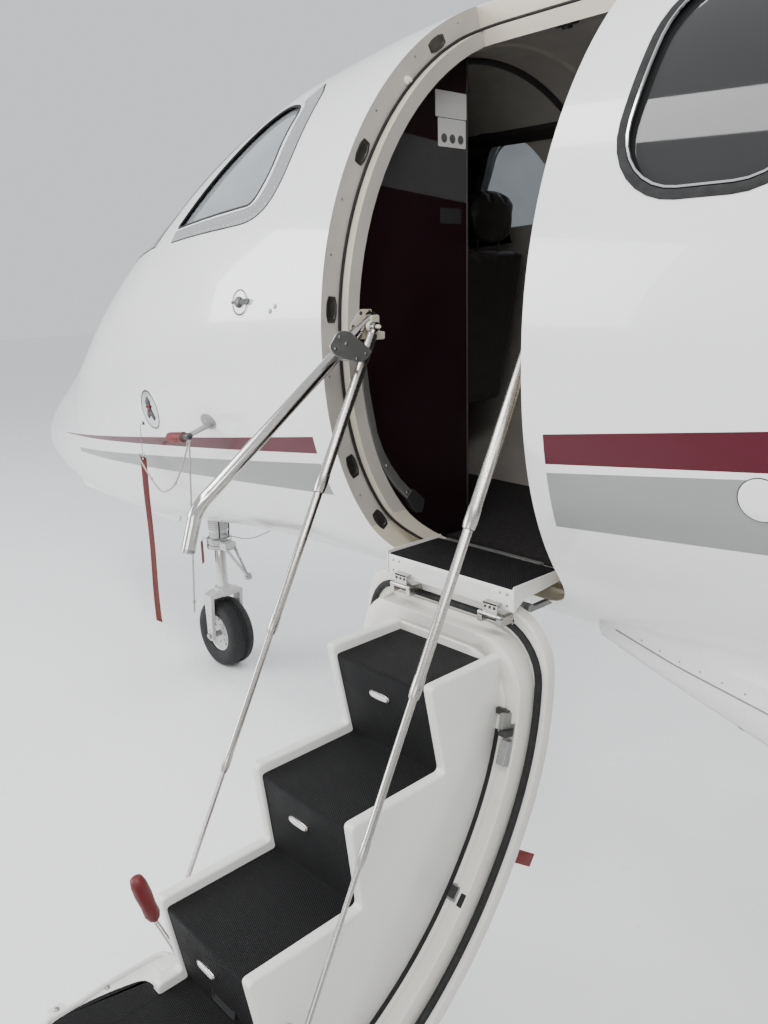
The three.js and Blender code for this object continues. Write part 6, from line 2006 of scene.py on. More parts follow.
def place_seat(name, station, y, ahead, half, nodes, base_y):
    """A seat's pads, seams and frame; ahead is 1 or -1, and half is half the seat's width."""
    turn = Matrix.Translation((to_x(station), y, 0)) @ Matrix.Rotation(0 if ahead > 0 else math.pi, 4, "Z")
    base_side = ahead * (base_y - y)
    for pad, kind in zip(seat_pads[half], ("seat", "back", "head")):
        copy = bpy.data.objects.new(f"{name}_{kind}_pad", pad.data.copy())
        bpy.context.scene.collection.objects.link(copy)
        copy.matrix_world = turn
        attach(copy, AIR)
        if nodes and kind == "seat":
            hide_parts(*nodes)
        seams = pad_seams(pad, half, kind)
        seams.name = f"{name}_{kind}_seams"
        seams.matrix_world = turn
        piece(seams, AIR, angle=60)
    frame_parts = []
    for part, long, wide, low, high in (
        ("pedestal", 0.16, 0.055, FLOOR_TOP + 0.03, 1.45),
        ("foot", 0.178, 0.068, FLOOR_TOP + 0.002, FLOOR_TOP + 0.03),
        ("carrier", 0.178, 0.068, 1.44, 1.4755),
    ):
        near, far = (-long, base_side - wide, low), (long, base_side + wide, high)
        frame_parts.append(box(part, near, far, dark_plastic))
    for side in (-1, 1):
        post = [(-0.338, side * 0.06, 2.07), (-0.342, side * 0.06, 2.13)]
        frame_parts.append(tube("post", post, 0.006, steel, 12))
    base = joined(f"{name}_frame", frame_parts, dark_plastic)
    base.matrix_world = turn
    piece(base, AIR, bevel=0.006, segments=2, angle=40)


place_seat("copilot", 3.08, -0.33, 1, 0.19, ["copilot_seat"], -0.33)
place_seat("pilot", 3.08, 0.33, 1, 0.19, ["pilot_seat"], 0.33)
RAIL_HALVES = [(-0.024, 0.001), (0.024, 0.001), (0.018, 0.02), (-0.018, 0.02)]
for side_name, side in SIDES:
    seat_y, rail_y = side * 0.39, side * 0.32
    nodes = [f"cabin_seats_{side_name}"]
    place_seat(f"cabin_fore_{side_name}", 5.0, seat_y, -1, 0.205, nodes, rail_y)
    place_seat(f"cabin_aft_{side_name}", 6.45, seat_y, 1, 0.205, [], rail_y)
    section = rounded([(rail_y + u, FLOOR_TOP + v) for u, v in RAIL_HALVES], 0.003, 2)
    for i, (first, last) in enumerate(((4.8, 4.818), (5.182, 6.268), (6.632, 6.65))):
        rail = prism(f"seat_rail_{side_name}_{i + 1}", section, "x", to_x(last), to_x(first), steel)
        piece(rail, AIR, angle=40)
for pads in seat_pads.values():
    discard(*pads)

# Aft baggage hatch with its two latches, and the seal in its opening
hatch_outline = shrunk(HATCH, 0.0045)
hatch_angles = angles_between(8.0, 1.45, 2.12, 1, 40)
hatch = body_slab("hatch_skin", spread(7.55, 8.45, 40), hatch_angles, 0.0, 0.022, paint)
hatch_cut = prism("cutter", hatch_outline, "y", 0.2, 1.2, paint)
boolean(hatch, hatch_cut, "INTERSECT")
discard(hatch_cut)
piece(hatch, "baggage_hatch", "baggage_hatch", slot="paint", angle=40)
skin_normals(hatch)
for i, station in enumerate((7.82, 8.18)):
    centre = side_point(station, 1.62)
    plate = body_patch(f"hatch_latch_{i + 1}", centre, oval(0.035, 0.016, 36, 3.0), -0.002, 0.0016, steel)
    piece(plate, "baggage_hatch", angle=40)
    key = body_patch(f"hatch_latch_key_{i + 1}", centre, oval(0.007, 0.007, 20), 0.001, 0.003, dark_steel)
    piece(key, "baggage_hatch", angle=40)
HATCH_HINGES = (7.76, 8.24)
HATCH_HINGE_Z = 2.016
reaches = [reach_at(station, HATCH_HINGE_Z) for station in HATCH_HINGES]
way = Vector((-0.48, reaches[1] - reaches[0], 0)).normalized()
for i, station in enumerate(HATCH_HINGES):
    x, y = to_x(station), reaches[i] - 0.002
    centre = Vector((x, y, HATCH_HINGE_Z))
    barrel = turned("barrel", pin_profile(0.0295, 0.0055, 0.0285, 0.0068), centre, way, grey_metal, 18)
    leaf = box("leaf", (x - 0.022, y - 0.011, 1.997), (x + 0.022, y + 0.001, 2.014), grey_metal)
    piece(joined(f"hatch_hinge_{i + 1}", [barrel, leaf], grey_metal), "baggage_hatch", bevel=0.0012)
    ears = []
    for a, b in ((-0.059, -0.0305), (0.0305, 0.059)):
        profile = [(a, 0.0055), (a + 0.001, 0.0068), (b - 0.001, 0.0068), (b, 0.0055)]
        ears.append(turned("ear", profile, centre, way, grey_metal, 18))
    piece(joined(f"hatch_hinge_ears_{i + 1}", ears, grey_metal), AIR, angle=50)

# Belly fairing under the wing: station, half width, side top, bottom
FAIRING = [
    (4.56, 0.6, 1.234, 1.1), (4.8, 0.66, 1.225, 1.05), (5.05, 0.712, 1.235, 0.995),
    (5.3, 0.7447, 1.24, 0.93), (5.7, 0.7447, 1.255, 0.8), (7.0, 0.7447, 1.26, 0.78),
    (7.6, 0.7447, 1.29, 0.87), (8.2, 0.33, 1.33, 1.12),
]
FAIRING_SIDE = [
    (0.0, 0.0), (0.3, 0.0), (0.55, 0.004), (0.72, 0.025), (0.86, 0.075), (0.94, 0.16), (0.98, 0.27),
    (1.0, 0.45), (1.0, 0.63), (1.0, 0.8), (0.93, 1.05), (0.6, 1.1),
]


def fairing_point(station, across, up, side=1):
    half, side_top, bottom = between_rows(FAIRING, station)
    return Vector((to_x(station), side * half * across, bottom + (side_top - bottom) * up))


fairing_rings = []
for station in spread(4.565, 8.195, 64):
    left = [fairing_point(station, a, u) for a, u in FAIRING_SIDE]
    right = [fairing_point(station, a, u, -1) for a, u in reversed(FAIRING_SIDE[1:])]
    fairing_rings.append(left + right)
fairing = ring_mesh("belly_fairing_skin", fairing_rings, lower_paint)
inside_body = ring_mesh("cutter", [whole_ring(s, 0.001, 120) for s in spread(4.3, 8.7, 60)], lower_paint)
cut(fairing, inside_body)
piece(fairing, AIR, "belly_fairing", slot="paint", angle=35)


def on_fairing(station, share, side=1, lift=0.0):
    """A point of the fairing's surface and its normal; share runs up its side from the keel."""
    places = [fairing_point(station, a, u, side) for a, u in FAIRING_SIDE]
    k = min(len(places) - 2, int(share * (len(places) - 1)))
    t = share * (len(places) - 1) - k
    point = places[k] + (places[k + 1] - places[k]) * t
    before, after = [fairing_point(s, *FAIRING_SIDE[k], side) for s in (station - 0.02, station + 0.02)]
    ahead = before - after
    normal = (places[k + 1] - places[k]).cross(ahead).normalized()
    if normal.dot(Vector((0, side, -0.6))) < 0:
        normal = -normal
    return point + normal * lift, normal


LINE_SECTION = [(-0.0025, -0.001), (-0.0018, 0.0009), (0.0018, 0.0009), (0.0025, -0.001)]
for side_name, side in SIDES:
    drains, heads = [], []
    for station in spread(4.95, 7.3, 14):
        drains.append(on_fairing(station, 0.46, side, 0.0002))
    for station in spread(4.7, 7.9, 60):
        heads.append(on_fairing(station, 0.74, side, 0.0))
        heads.append(on_fairing(station, 0.3, side, 0.0))
    piece(domes(f"fairing_drains_{side_name}", drains, 0.0075, 0.0006, dark_plastic, 12), AIR)
    piece(domes(f"fairing_screws_{side_name}", heads, 0.003, 0.0006, steel, 6), AIR)
    for i, share in enumerate((0.52, 0.7)):
        rings = []
        for station in spread(4.62, 7.9, 60):
            point, normal = on_fairing(station, share, side)
            low, _ = on_fairing(station, share - 0.004, side)
            up = (point - low).normalized()
            rings.append([point + up * u + normal * v for u, v in LINE_SECTION])
        piece(ring_mesh(f"fairing_line_{side_name}_{i + 1}", rings, grey_metal), AIR, angle=60)


# Aerofoils: half thickness as a share of the chord, at shares of the chord
FOIL = [
    (0.0, 0.0), (0.012, 0.16), (0.05, 0.3), (0.15, 0.45), (0.35, 0.5), (0.55, 0.42), (0.72, 0.28),
    (1.0, 0.015),
]
FOIL_SHARES = [
    0, 0.003, 0.007, 0.012, 0.02, 0.033, 0.05, 0.08, 0.12, 0.17, 0.24, 0.32, 0.4, 0.48, 0.56, 0.64, 0.72,
    0.8, 0.9, 1.0,
]
WING = [
    (0.745, 5.38, 2.2, 1.0, 0.14), (2.1, 5.65, 1.829, 1.09, 0.13), (5.88, 6.28, 0.96, 1.34, 0.12),
    (6.08, 6.4, 0.8, 1.355, 0.11), (6.15, 6.56, 0.56, 1.365, 0.09),
]
HINGE_SHARE = 0.745
LEG_X = to_x(6.74)
LEG_Y = 1.66
WELL_HALF = 0.075


def foil_half(share, chord, thickness):
    """Half the aerofoil's height at a share of its chord."""
    if share < 0.012:
        return chord * thickness * 0.16 * math.sqrt(share / 0.012) * 0.97
    return chord * thickness * between_rows(FOIL, share)[0] * 0.995


def foil_ring(lead, chord, thickness, place):
    upper = [(lead + s * chord, foil_half(s, chord, thickness)) for s in FOIL_SHARES]
    lower = [(station, -half) for station, half in reversed(upper[1:])]
    return [place(station, half) for station, half in upper + lower]


def lying_at(y, z):
    """Places the points of a section of a surface that lies flat, at y and z."""
    return lambda station, half: Vector((to_x(station), y, z + half))


def wing_ring(y, side):
    lead, chord, height, thickness = between_rows(WING, y)
    return foil_ring(lead, chord, thickness, lying_at(side * y, height))


def wing_hinge(y):
    lead, chord, height, thickness = between_rows(WING, y)
    return lead + HINGE_SHARE * chord, height, foil_half(HINGE_SHARE, chord, thickness), lead + chord


# Half of a control surface's thickness at its trailing edge, and the gap in front of its round nose
TRAIL_HALF = 0.0028
CONTROL_GAP = 0.0072


def control_ring(hinge, radius, trail, place):
    """A control surface's section: a round nose about its hinge and a straight taper."""
    ring = []
    for i in range(13):
        angle = math.pi / 2 + math.pi * i / 12
        ring.append((hinge + radius * math.cos(angle), radius * math.sin(angle)))
    taper = [
        (hinge + (trail - hinge) * share, radius + (TRAIL_HALF - radius) * share)
        for share in (0.25, 0.5, 0.75, 1.0)
    ]
    ring += [(station, -half) for station, half in taper] + taper[::-1]
    return [place(station, half) for station, half in ring]


def boots(obj, share_of, limit):
    """Gives the faces along a leading edge the dark boot."""
    for polygon in obj.data.polygons:
        if share_of(polygon.center) < limit:
            polygon.material_index = 1


def wing_share(point):
    """How far a place on the wing lies behind the leading edge; 1 where the wing has no boot."""
    lead, chord = between_rows(WING, abs(point.y))[:2]
    return (to_station(point.x) - lead) / chord if 1.0 < abs(point.y) < 5.85 else 1.0


boot_rubber = finish("boot_rubber", (0.02, 0.02, 0.021), 0.42, scale=14, vary=0.3, spread=0.1)
red_lens = finish("red_lens", (0.5, 0.01, 0.01), 0.12, scale=60, coat=0.5)
green_lens = finish("green_lens", (0.01, 0.3, 0.08), 0.12, scale=60, coat=0.5)


def panelled_paint():
    """White gloss with fine panel lines along and across a wing or tail surface."""
    graph = Graph("paint_panels")
    x, y, z = graph.place()
    rib = graph.math("SUBTRACT", graph.math("FRACT", graph.math("DIVIDE", y, 0.62)), 0.5)
    across = graph.math("LESS_THAN", graph.math("ABSOLUTE", rib), 0.0016)
    spar = graph.math("SUBTRACT", graph.math("FRACT", graph.math("DIVIDE", x, 0.71)), 0.5)
    spar = graph.math("ABSOLUTE", spar)
    lines = graph.math("MAXIMUM", across, graph.math("LESS_THAN", spar, 0.0013))
    tone = graph.mix(graph.ramp(graph.noise(1.2, 3), 0, 1), rgb(*WHITE), rgb(0.765, 0.76, 0.745))
    graph.set(
        Base_Color=graph.mix(graph.math("MULTIPLY", lines, 0.55), tone, rgb(0.3, 0.3, 0.29)),
        Roughness=graph.ramp(graph.noise(7, 4), 0.18, 0.3), Coat_Weight=0.5, Coat_Roughness=0.04,
    )
    graph.bump(graph.noise(2.2, 2), 0.12, 0.003)
    return graph.material


panel_paint = panelled_paint()
SURFACES = [("flap", 0.8, 3.7), ("aileron", 3.76, 5.82)]
CAP_Y = 4.6
CAP_SHARE = 0.3
LIGHT_Y = 6.0
WING_PLACES = [0.746, 0.9, 1.5, 2.1, 2.8, 3.5, 4.2, 4.9, 5.5, 5.88, 5.95, 6.02, 6.08, 6.105, 6.13, 6.148]
for side_name, side in SIDES:
    rings = [wing_ring(y, side) for y in WING_PLACES]
    wing = ring_mesh(f"wing_skin_{side_name}", rings, [panel_paint, boot_rubber, gear_paint])
    boots(wing, wing_share, 0.05)
    for _, first, last in SURFACES:
        front = []
        for y in (first - 0.01, last + 0.01):
            hinge, height, radius, trail = wing_hinge(y)
            front.append((to_x(hinge) + radius + CONTROL_GAP, side * y))
        outline = [*front, (to_x(8.0), side * (last + 0.01)), (to_x(8.0), side * (first - 0.01))]
        cut(wing, prism("cutter", outline, "z", 0.7, 1.7, gear_paint))
    near, far = sorted((side * (LEG_Y - WELL_HALF), side * (LEG_Y + WELL_HALF)))
    cut(wing, box("cutter", (LEG_X - WELL_HALF, near, 0.5), (LEG_X + WELL_HALF, far, 1.03), gear_paint))
    piece(wing, AIR, f"wing_{side_name}", slot="paint", angle=35)
    for surface, first, last in SURFACES:
        body = f"{surface}_{side_name}"
        rings = []
        for y in spread(first, last, 12):
            hinge, height, radius, trail = wing_hinge(y)
            rings.append(control_ring(hinge, radius, trail, lying_at(side * y, height)))
        panel_skin = ring_mesh(f"{surface}_skin_{side_name}", rings, panel_paint)
        ends = []
        for y, way in ((first - 0.0095, 1), (last + 0.0095, -1)):
            hinge, height, radius, trail = wing_hinge(y)
            pivot = (to_x(hinge), side * y, height)
            ends.append(turned("pin", [(0, 0.0085), (0.012, 0.0085)], pivot, (0, side * way, 0), steel, 16))
        piece(joined(body + "_surface", [panel_skin, *ends]), body, body, slot="paint", angle=35)
    wicks = []
    for y in (4.4, 5.0, 5.6):
        hinge, height, radius, trail = wing_hinge(y)
        root = (to_x(trail - 0.004), side * y, height)
        profile = [(0, 0.0035), (0.02, 0.003), (0.07, 0.0008)]
        wicks.append(turned("wick", profile, root, BACKWARD, dark_plastic, 8))
    piece(joined(f"aileron_wicks_{side_name}", wicks, dark_plastic), f"aileron_{side_name}", angle=60)
    lead, chord, height, thickness = between_rows(WING, CAP_Y)
    cap_z = height + foil_half(CAP_SHARE, chord, thickness) - 0.001
    profile = [(0, 0.05), (0.003, 0.05), (0.004, 0.047), (0.0035, 0.03), (0.006, 0.028), (0.006, 0.004)]
    cap_at = Vector((to_x(lead + CAP_SHARE * chord), side * CAP_Y, cap_z))
    piece(turned(f"fuel_cap_{side_name}", profile, cap_at, UPWARD, steel, 36), AIR, angle=40)
    lead, chord, height, thickness = between_rows(WING, LIGHT_Y)
    outward = Vector((0.5, side * 0.3, 0.8)).normalized()
    lens = []
    for share in (0.02, 0.06):
        lens_z = height + foil_half(share, chord, thickness) * 0.8
        lens.append((Vector((to_x(lead + share * chord), side * LIGHT_Y, lens_z)), outward))
    lens_glass = red_lens if side > 0 else green_lens
    piece(domes(f"wing_light_{side_name}", lens, 0.018, 0.008, lens_glass, 20), AIR)

# Fin, rudder, tailplane and elevator
FIN = [(2.44, 9.25, 2.35, 0.1), (2.62, 9.5, 2.13, 0.11), (4.15, 11.18, 1.26, 0.11)]
RUDDER_SHARE = 0.72
RUDDER_LOW, RUDDER_HIGH = 2.658, 4.102


def fin_ring(z):
    lead, chord, thickness = between_rows(FIN, z)
    return foil_ring(lead, chord, thickness, lambda s, half: Vector((to_x(s), half, z)))


def rudder_line(z):
    lead, chord, thickness = between_rows(FIN, z)
    return lead + RUDDER_SHARE * chord, foil_half(RUDDER_SHARE, chord, thickness), lead + chord


def fin_share(point):
    """How far a place on the fin lies behind the leading edge; 1 where the fin has no boot."""
    lead, chord = between_rows(FIN, point.z)[:2]
    return 1.0 if point.z < 2.75 else (to_station(point.x) - lead) / chord


rings = [fin_ring(z) for z in (2.441, 2.53, 2.62, 2.9, 3.2, 3.5, 3.8, 4.0, 4.149)]
fin = ring_mesh("fin_skin", rings, [panel_paint, boot_rubber])
boots(fin, fin_share, 0.045)
rudder_walls = []
for z in (RUDDER_LOW, RUDDER_HIGH):
    hinge, radius, trail = rudder_line(z)
    rudder_walls.append((to_x(hinge) + radius + CONTROL_GAP, z))
outline = [*rudder_walls, (to_x(13), RUDDER_HIGH), (to_x(13), RUDDER_LOW)]
cutter = prism("cutter", outline, "y", -0.2, 0.2, panel_paint)
body_cut = ring_mesh("cutter", [whole_ring(s, 0.0005, 64) for s in spread(8.3, BODY_END, 50)], panel_paint)
boolean(fin, cutter, "DIFFERENCE")
boolean(fin, body_cut, "DIFFERENCE")
discard(cutter, body_cut)
piece(fin, AIR, "fin", slot="paint", angle=35)
rings = []
for z in spread(2.68, 4.08, 12):
    hinge, radius, trail = rudder_line(z)
    fall = 0.06 if z > 4.079 else 0
    rings.append(
        control_ring(
            hinge, radius, trail, lambda s, half: Vector((to_x(s), half, z - fall * max(0, s - hinge))),
        )
    )
rudder = ring_mesh("rudder_surface", rings, panel_paint)
piece(rudder, "rudder", "rudder", slot="paint", angle=35)
TAIL_Z = 4.25
ELEVATOR_HINGE = 12.42
TAIL = [(0, 11.42, 12.66, 0.15), (2.3, 12.04, 12.79, 0.084), (2.4, 12.15, LENGTH, 0.06)]


def tail_ring(y):
    lead, trail, thick = between_rows(TAIL, abs(y))
    return foil_ring(lead, trail - lead, thick / (trail - lead), lying_at(y, TAIL_Z))


def tail_depth(point):
    """How many metres a place lies behind the leading edge; 1 where the tailplane has no boot."""
    lead = between_rows(TAIL, abs(point.y))[0]
    return to_station(point.x) - lead if 0.2 <= abs(point.y) <= 2.28 else 1.0


tail_places = [-2.399, -2.35, -2.3, -1.8, -1.2, -0.6, 0.0, 0.6, 1.2, 1.8, 2.3, 2.35, 2.399]
tailplane = ring_mesh("tailplane_skin", [tail_ring(y) for y in tail_places], [panel_paint, boot_rubber])
boots(tailplane, tail_depth, 0.05)
wall = to_x(ELEVATOR_HINGE - 0.046 - CONTROL_GAP)
cut(tailplane, box("cutter", (to_x(13), -2.3, 4.0), (wall, 2.3, 4.54), panel_paint))
cap_rings = []
for station, half, rise in (
    (11.5, 0.02, 0.03), (11.6, 0.05, 0.072), (11.75, 0.062, 0.0985), (11.95, 0.062, 0.0975),
    (12.15, 0.061, 0.093), (12.35, 0.04, 0.06),
):
    arch = [math.pi * k / 16 for k in range(17)]
    cap_rings.append(
        [Vector((to_x(station), half * math.cos(a), TAIL_Z + rise * math.sin(a))) for a in arch]
    )
cap = ring_mesh("cap", cap_rings, plain_paint)
pad = box("pad", (to_x(12.3), -0.058, 4.151), (to_x(11.5), 0.058, TAIL_Z), plain_paint)
tailplane = joined("tailplane_skin", [tailplane, cap, pad])
piece(tailplane, AIR, "tailplane", slot="paint", angle=35)
rings = []
for y in spread(-2.29, 2.29, 25):
    lead, trail, thick = between_rows(TAIL, abs(y))
    radius = 0.0458 + (0.0338 - 0.0458) * abs(y) / 2.29
    rings.append(control_ring(ELEVATOR_HINGE, radius, trail, lying_at(y, TAIL_Z)))
piece(ring_mesh("elevator_surface", rings, panel_paint), "elevator", "elevator", slot="paint", angle=35)
profile = [(0, 0.03), (0.004, 0.03), (0.01, 0.026)]
beacon = turned("tail_beacon", profile, (to_x(11.68), 0, TAIL_Z + 0.086), UPWARD, red_lens, 24)
piece(beacon, AIR, angle=50)

# Engines: nacelle with polished lip, pylon, core, and a fan with blades
ENGINE_STATION = 7.78
ENGINE_Y = 1.19
ENGINE_Z = 2.33
NACELLE = [
    (-0.5, 0.236), (-0.2, 0.24), (-0.06, 0.2385), (-0.03, 0.2382), (-0.012, 0.24), (-0.004, 0.245),
    (-0.0035, 0.2525), (-0.008, 0.262), (-0.022, 0.276), (-0.06, 0.289), (-0.14, 0.304), (-0.26, 0.3185),
    (-0.42, 0.3288), (-0.6, 0.3297), (-0.8, 0.3275), (-1.02, 0.316), (-1.25, 0.2995), (-1.48, 0.267),
    (-1.7, 0.2318), (-1.96, 0.1955), (-1.96, 0.1805), (-1.7, 0.1862), (-1.4, 0.2002), (-0.9, 0.2002),
]
CORE = [
    (-0.36, 0.0), (-0.36, 0.066), (-0.38, 0.086), (-0.42, 0.119), (-0.6, 0.135), (-0.8, 0.149),
    (-0.95, 0.199), (-1.35, 0.199), (-1.5, 0.149), (-1.65, 0.13), (-1.8, 0.109), (-1.95, 0.062),
    (-2.05, 0.022), (-2.056, 0.0),
]
PYLON = [
    (-0.42, 0.0), (-0.44, 0.017), (-0.52, 0.038), (-0.7, 0.047), (-0.9, 0.05), (-1.2, 0.044), (-1.5, 0.034),
    (-1.8, 0.004),
]
HUB = [
    (-0.17, 0.0), (-0.173, 0.012), (-0.19, 0.03), (-0.235, 0.055), (-0.29, 0.079), (-0.345, 0.079),
    (-0.358, 0.062), (-0.358, 0.0),
]
FAN_RIM = [(-0.3005, 0.222), (-0.3005, 0.2275), (-0.3445, 0.2275), (-0.3445, 0.222)]
BLADE_ROWS = [(0.07, 0.5, 0.026), (0.12, 0.75, 0.03), (0.17, 0.95, 0.034), (0.227, 1.1, 0.036)]
BLADE_SECTION = [(-1, 0), (-0.4, 0.9), (0.4, 1), (1, 0), (0.4, -1), (-0.4, -0.9)]


def nacelle_reach(along):
    """The nacelle's outer radius at a place along its axis."""
    return between_rows(sorted((-a, r) for a, r in NACELLE[7:20]), -along)[0]


bare_lip = brushed("bare_lip", (0.78, 0.78, 0.77), 0.16, 30, (10, 1, 1))
for side_name, side in SIDES:
    centre = Vector((to_x(ENGINE_STATION), side * ENGINE_Y, ENGINE_Z))
    looks = [plain_paint, bare_lip, dark_steel]
    shell = turned(f"nacelle_skin_{side_name}", NACELLE, centre, FORWARD, looks, 72, closed=True)
    for polygon in shell.data.polygons:
        ahead = polygon.center.x - centre.x
        reach = math.hypot(polygon.center.y - centre.y, polygon.center.z - centre.z)
        if ahead > -0.055:
            polygon.material_index = 1
        elif ahead < -1.75 or reach < 0.22:
            polygon.material_index = 2
    piece(shell, AIR, f"nacelle_{side_name}", slot="paint", angle=40)
    core = turned(f"engine_core_{side_name}", CORE, centre, FORWARD, core_metal, 56)
    piece(core, AIR, angle=40)
    outline = [(centre.x + a, ENGINE_Z + b) for a, b in PYLON]
    outline += [(centre.x + a, ENGINE_Z - b) for a, b in reversed(PYLON[1:])]
    near, far = sorted((side * 0.45, side * (ENGINE_Y - 0.262)))
    pylon = prism(f"pylon_{side_name}", outline, "y", near, far, plain_paint)
    keep_out = ring_mesh("cutter", [whole_ring(s, 0.0005, 72) for s in spread(7.9, 9.9, 30)], plain_paint)
    cut(pylon, keep_out)
    piece(pylon, AIR, angle=30)
    bands = []
    for along in (-0.3, -1.12):
        inner, outer = nacelle_reach(along) - 0.004, nacelle_reach(along) + 0.0016
        profile = [(-0.004, inner), (-0.003, outer), (0.003, outer), (0.004, inner)]
        band_at = centre + Vector((along, 0, 0))
        bands.append(turned("band", profile, band_at, FORWARD, grey_metal, 72, closed=True))
    piece(joined(f"nacelle_bands_{side_name}", bands, grey_metal), AIR, angle=60)
    catches = []
    for along in (-0.36, -0.62, -0.9, -1.06):
        reach = nacelle_reach(along) - 0.0004
        for turn in (-2.1, -1.05):
            way = Vector((0, math.cos(turn), math.sin(turn)))
            catches.append((centre + Vector((along, 0, 0)) + way * reach, way))
    piece(domes(f"nacelle_catches_{side_name}", catches, 0.011, 0.0025, steel, 14), AIR)
    blades = [turned("hub", HUB, centre, FORWARD, fan_metal, 48)]
    for across, up in circle(20):
        out, around = Vector((0, across, up)), Vector((0, -up, across))
        rings = []
        for reach, twist, width in BLADE_ROWS:
            along = Vector((math.cos(twist), 0, 0)) + around * math.sin(twist)
            thick = Vector((-math.sin(twist), 0, 0)) + around * math.cos(twist)
            mid = centre + Vector((-0.3225, 0, 0)) + out * reach
            half = min(width, 0.0215 / math.cos(twist))
            rings.append([mid + along * half * a + thick * 0.0022 * b for a, b in BLADE_SECTION])
        blades.append(ring_mesh("blade", rings, fan_metal))
    blades.append(turned("rim", FAN_RIM, centre, FORWARD, fan_metal, 60, closed=True))
    rotor = joined(f"fan_rotor_{side_name}", blades, fan_metal)
    piece(rotor, f"fan_{side_name}", f"fan_{side_name}", slot="fan_metal", angle=35)


# Wheels: tyre with grooves and bead, and a rim, turned about y
RIM_SIDE = [
    (0.45, 1.01), (0.62, 1.04), (0.7, 1.04), (0.66, 0.985), (0.46, 0.92), (0.34, 0.82), (0.36, 0.66),
    (0.5, 0.56), (0.54, 0.42),
]


def wheel_parts(name, centre, radius, width, bore):
    """Tyre, rim, bolts and rim openings of a wheel, on the body of its name; the openings are flat black
    discs of painted shade.
    """
    half = width / 2
    hub = radius * 0.5
    tread = []
    for share in (-0.4, -0.27, -0.25, -0.09, -0.07, 0.07, 0.09, 0.25, 0.27, 0.4):
        groove = abs(share) in (0.25, 0.07)
        tread.append((half * share, radius - (0.005 if groove else 0.0003)))
    widened = []
    for along, r in tread:
        edge = half * 0.02
        if r < radius - 0.002:
            widened += [(along - edge * 0.4, r), (along + edge * 0.4, r)]
        else:
            widened.append((along, r))
    side_wall = [
        (half * 0.55, radius * 0.993), (half * 0.75, radius * 0.968), (half * 0.88, radius * 0.925),
        (half * 0.96, radius * 0.86), (half * 0.995, radius * 0.78), (half * 0.97, radius * 0.7),
        (half * 0.9, radius * 0.62), (half * 0.79, hub * 1.09), (half * 0.7, hub * 1.05),
        (half * 0.5, hub * 1.0),
    ]
    profile = [(-a, r) for a, r in reversed(side_wall)] + widened + side_wall
    tyre = turned(f"{name}_tyre", profile, centre, LEFTWARD, tyre_rubber, 96, closed=True)
    piece(tyre, name, name, slot="tyre", angle=30)
    rim_side = [(half * along, hub * reach) for along, reach in RIM_SIDE] + [(half * 0.54, bore)]
    profile = [(-a, r) for a, r in reversed(rim_side)] + rim_side
    rim = turned(f"{name}_rim", profile, centre, LEFTWARD, gear_paint, 64, closed=True)
    piece(rim, name, angle=35)

    def on_rim(turn, reach, out, side):
        """A place on one side of the rim, and the way it faces."""
        across = Vector((math.cos(turn), 0, math.sin(turn))) * hub * reach
        return centre + across + Vector((0, side * half * out, 0)), Vector((0, side, 0))

    bolts, hole_shadows = [], []
    for side in (-1, 1):
        for k in range(8):
            turn = 2 * math.pi * k / 8
            bolts.append(on_rim(turn, 0.49, 0.52, side))
            hole_shadows.append(on_rim(turn + math.pi / 8, 0.74, 0.345, side))
    piece(domes(f"{name}_bolts", bolts, 0.006, 0.005, steel, 6), name)
    # The rim's openings are flat black discs: painted shade where the holes would be
    piece(domes(f"{name}_holes", hole_shadows, hub * 0.085, 0.001, black_rubber, 18), name)


# Nose gear: strut in the bay with its boot, collar, torque link and steering, on the airframe
NOSE_X = to_x(1.87)
NOSE_R = 0.184
COLLAR_Z = 0.655
collar_at = Vector((NOSE_X, 0, COLLAR_Z))
strut_profile = [
    (0.0, 0.03), (0.0, 0.047), (0.006, 0.0478), (0.2, 0.0478), (0.204, 0.044), (0.3, 0.044),
    (0.304, 0.0478), (0.384, 0.0478), (0.384, 0.03),
]
strut = turned("nose_strut", strut_profile, collar_at, UPWARD, gear_paint, 48)
piece(strut, AIR, "nose_leg", slot="gear_paint", angle=40)
collar_profile = [
    (0.0005, 0.05), (0.002, 0.063), (0.006, 0.0655), (0.022, 0.0655), (0.024, 0.061), (0.032, 0.061),
    (0.034, 0.0655), (0.054, 0.0655), (0.06, 0.061), (0.06, 0.05),
]
piece(turned("nose_collar", collar_profile, collar_at, UPWARD, steel, 48), AIR, angle=35)
boot_profile = [
    (0.1 + 0.011 * k + d, 0.0485 + 0.0045 * e)
    for k in range(8)
    for d, e in ((0.0, 0.0), (0.004, 1.0), (0.008, 1.0))
]
piece(turned("nose_boot", boot_profile, collar_at, UPWARD, gear_paint, 40), AIR, angle=35)
leg_parts = [
    tube("trunnion", [(NOSE_X, -0.149, 0.94), (NOSE_X, 0.149, 0.94)], 0.0255, gear_paint, 28),
    tube("drag", [(NOSE_X + 0.02, 0, 0.76), (NOSE_X + 0.33, 0, 0.96)], 0.0195, gear_paint, 24),
    box(
        "lug", (NOSE_X - 0.109, -0.0335, COLLAR_Z + 0.0065), (NOSE_X - 0.045, 0.0335, COLLAR_Z + 0.0455),
        gear_paint,
    ),
]
piece(joined("nose_leg_frame", leg_parts, gear_paint), AIR, bevel=0.003, angle=40)
KNEE_Z = 0.552
for name, side in SIDES:
    start = Vector((NOSE_X - 0.09, side * 0.028, COLLAR_Z + 0.026))
    end = Vector((NOSE_X - 0.25, side * 0.001, KNEE_Z))
    way = (end - start).normalized()
    flat = way.cross(LEFTWARD).normalized()
    rings = []
    for share, half in ((0.0, 0.0115), (0.2, 0.0118), (0.6, 0.0105), (1.0, 0.009)):
        at = start + (end - start) * share
        rings.append([at + flat * half * u + Vector((0, 0.0052 * v, 0)) for u, v in circle(16)])
    piece(ring_mesh(f"torque_link_{name}", rings, steel), AIR, angle=50)
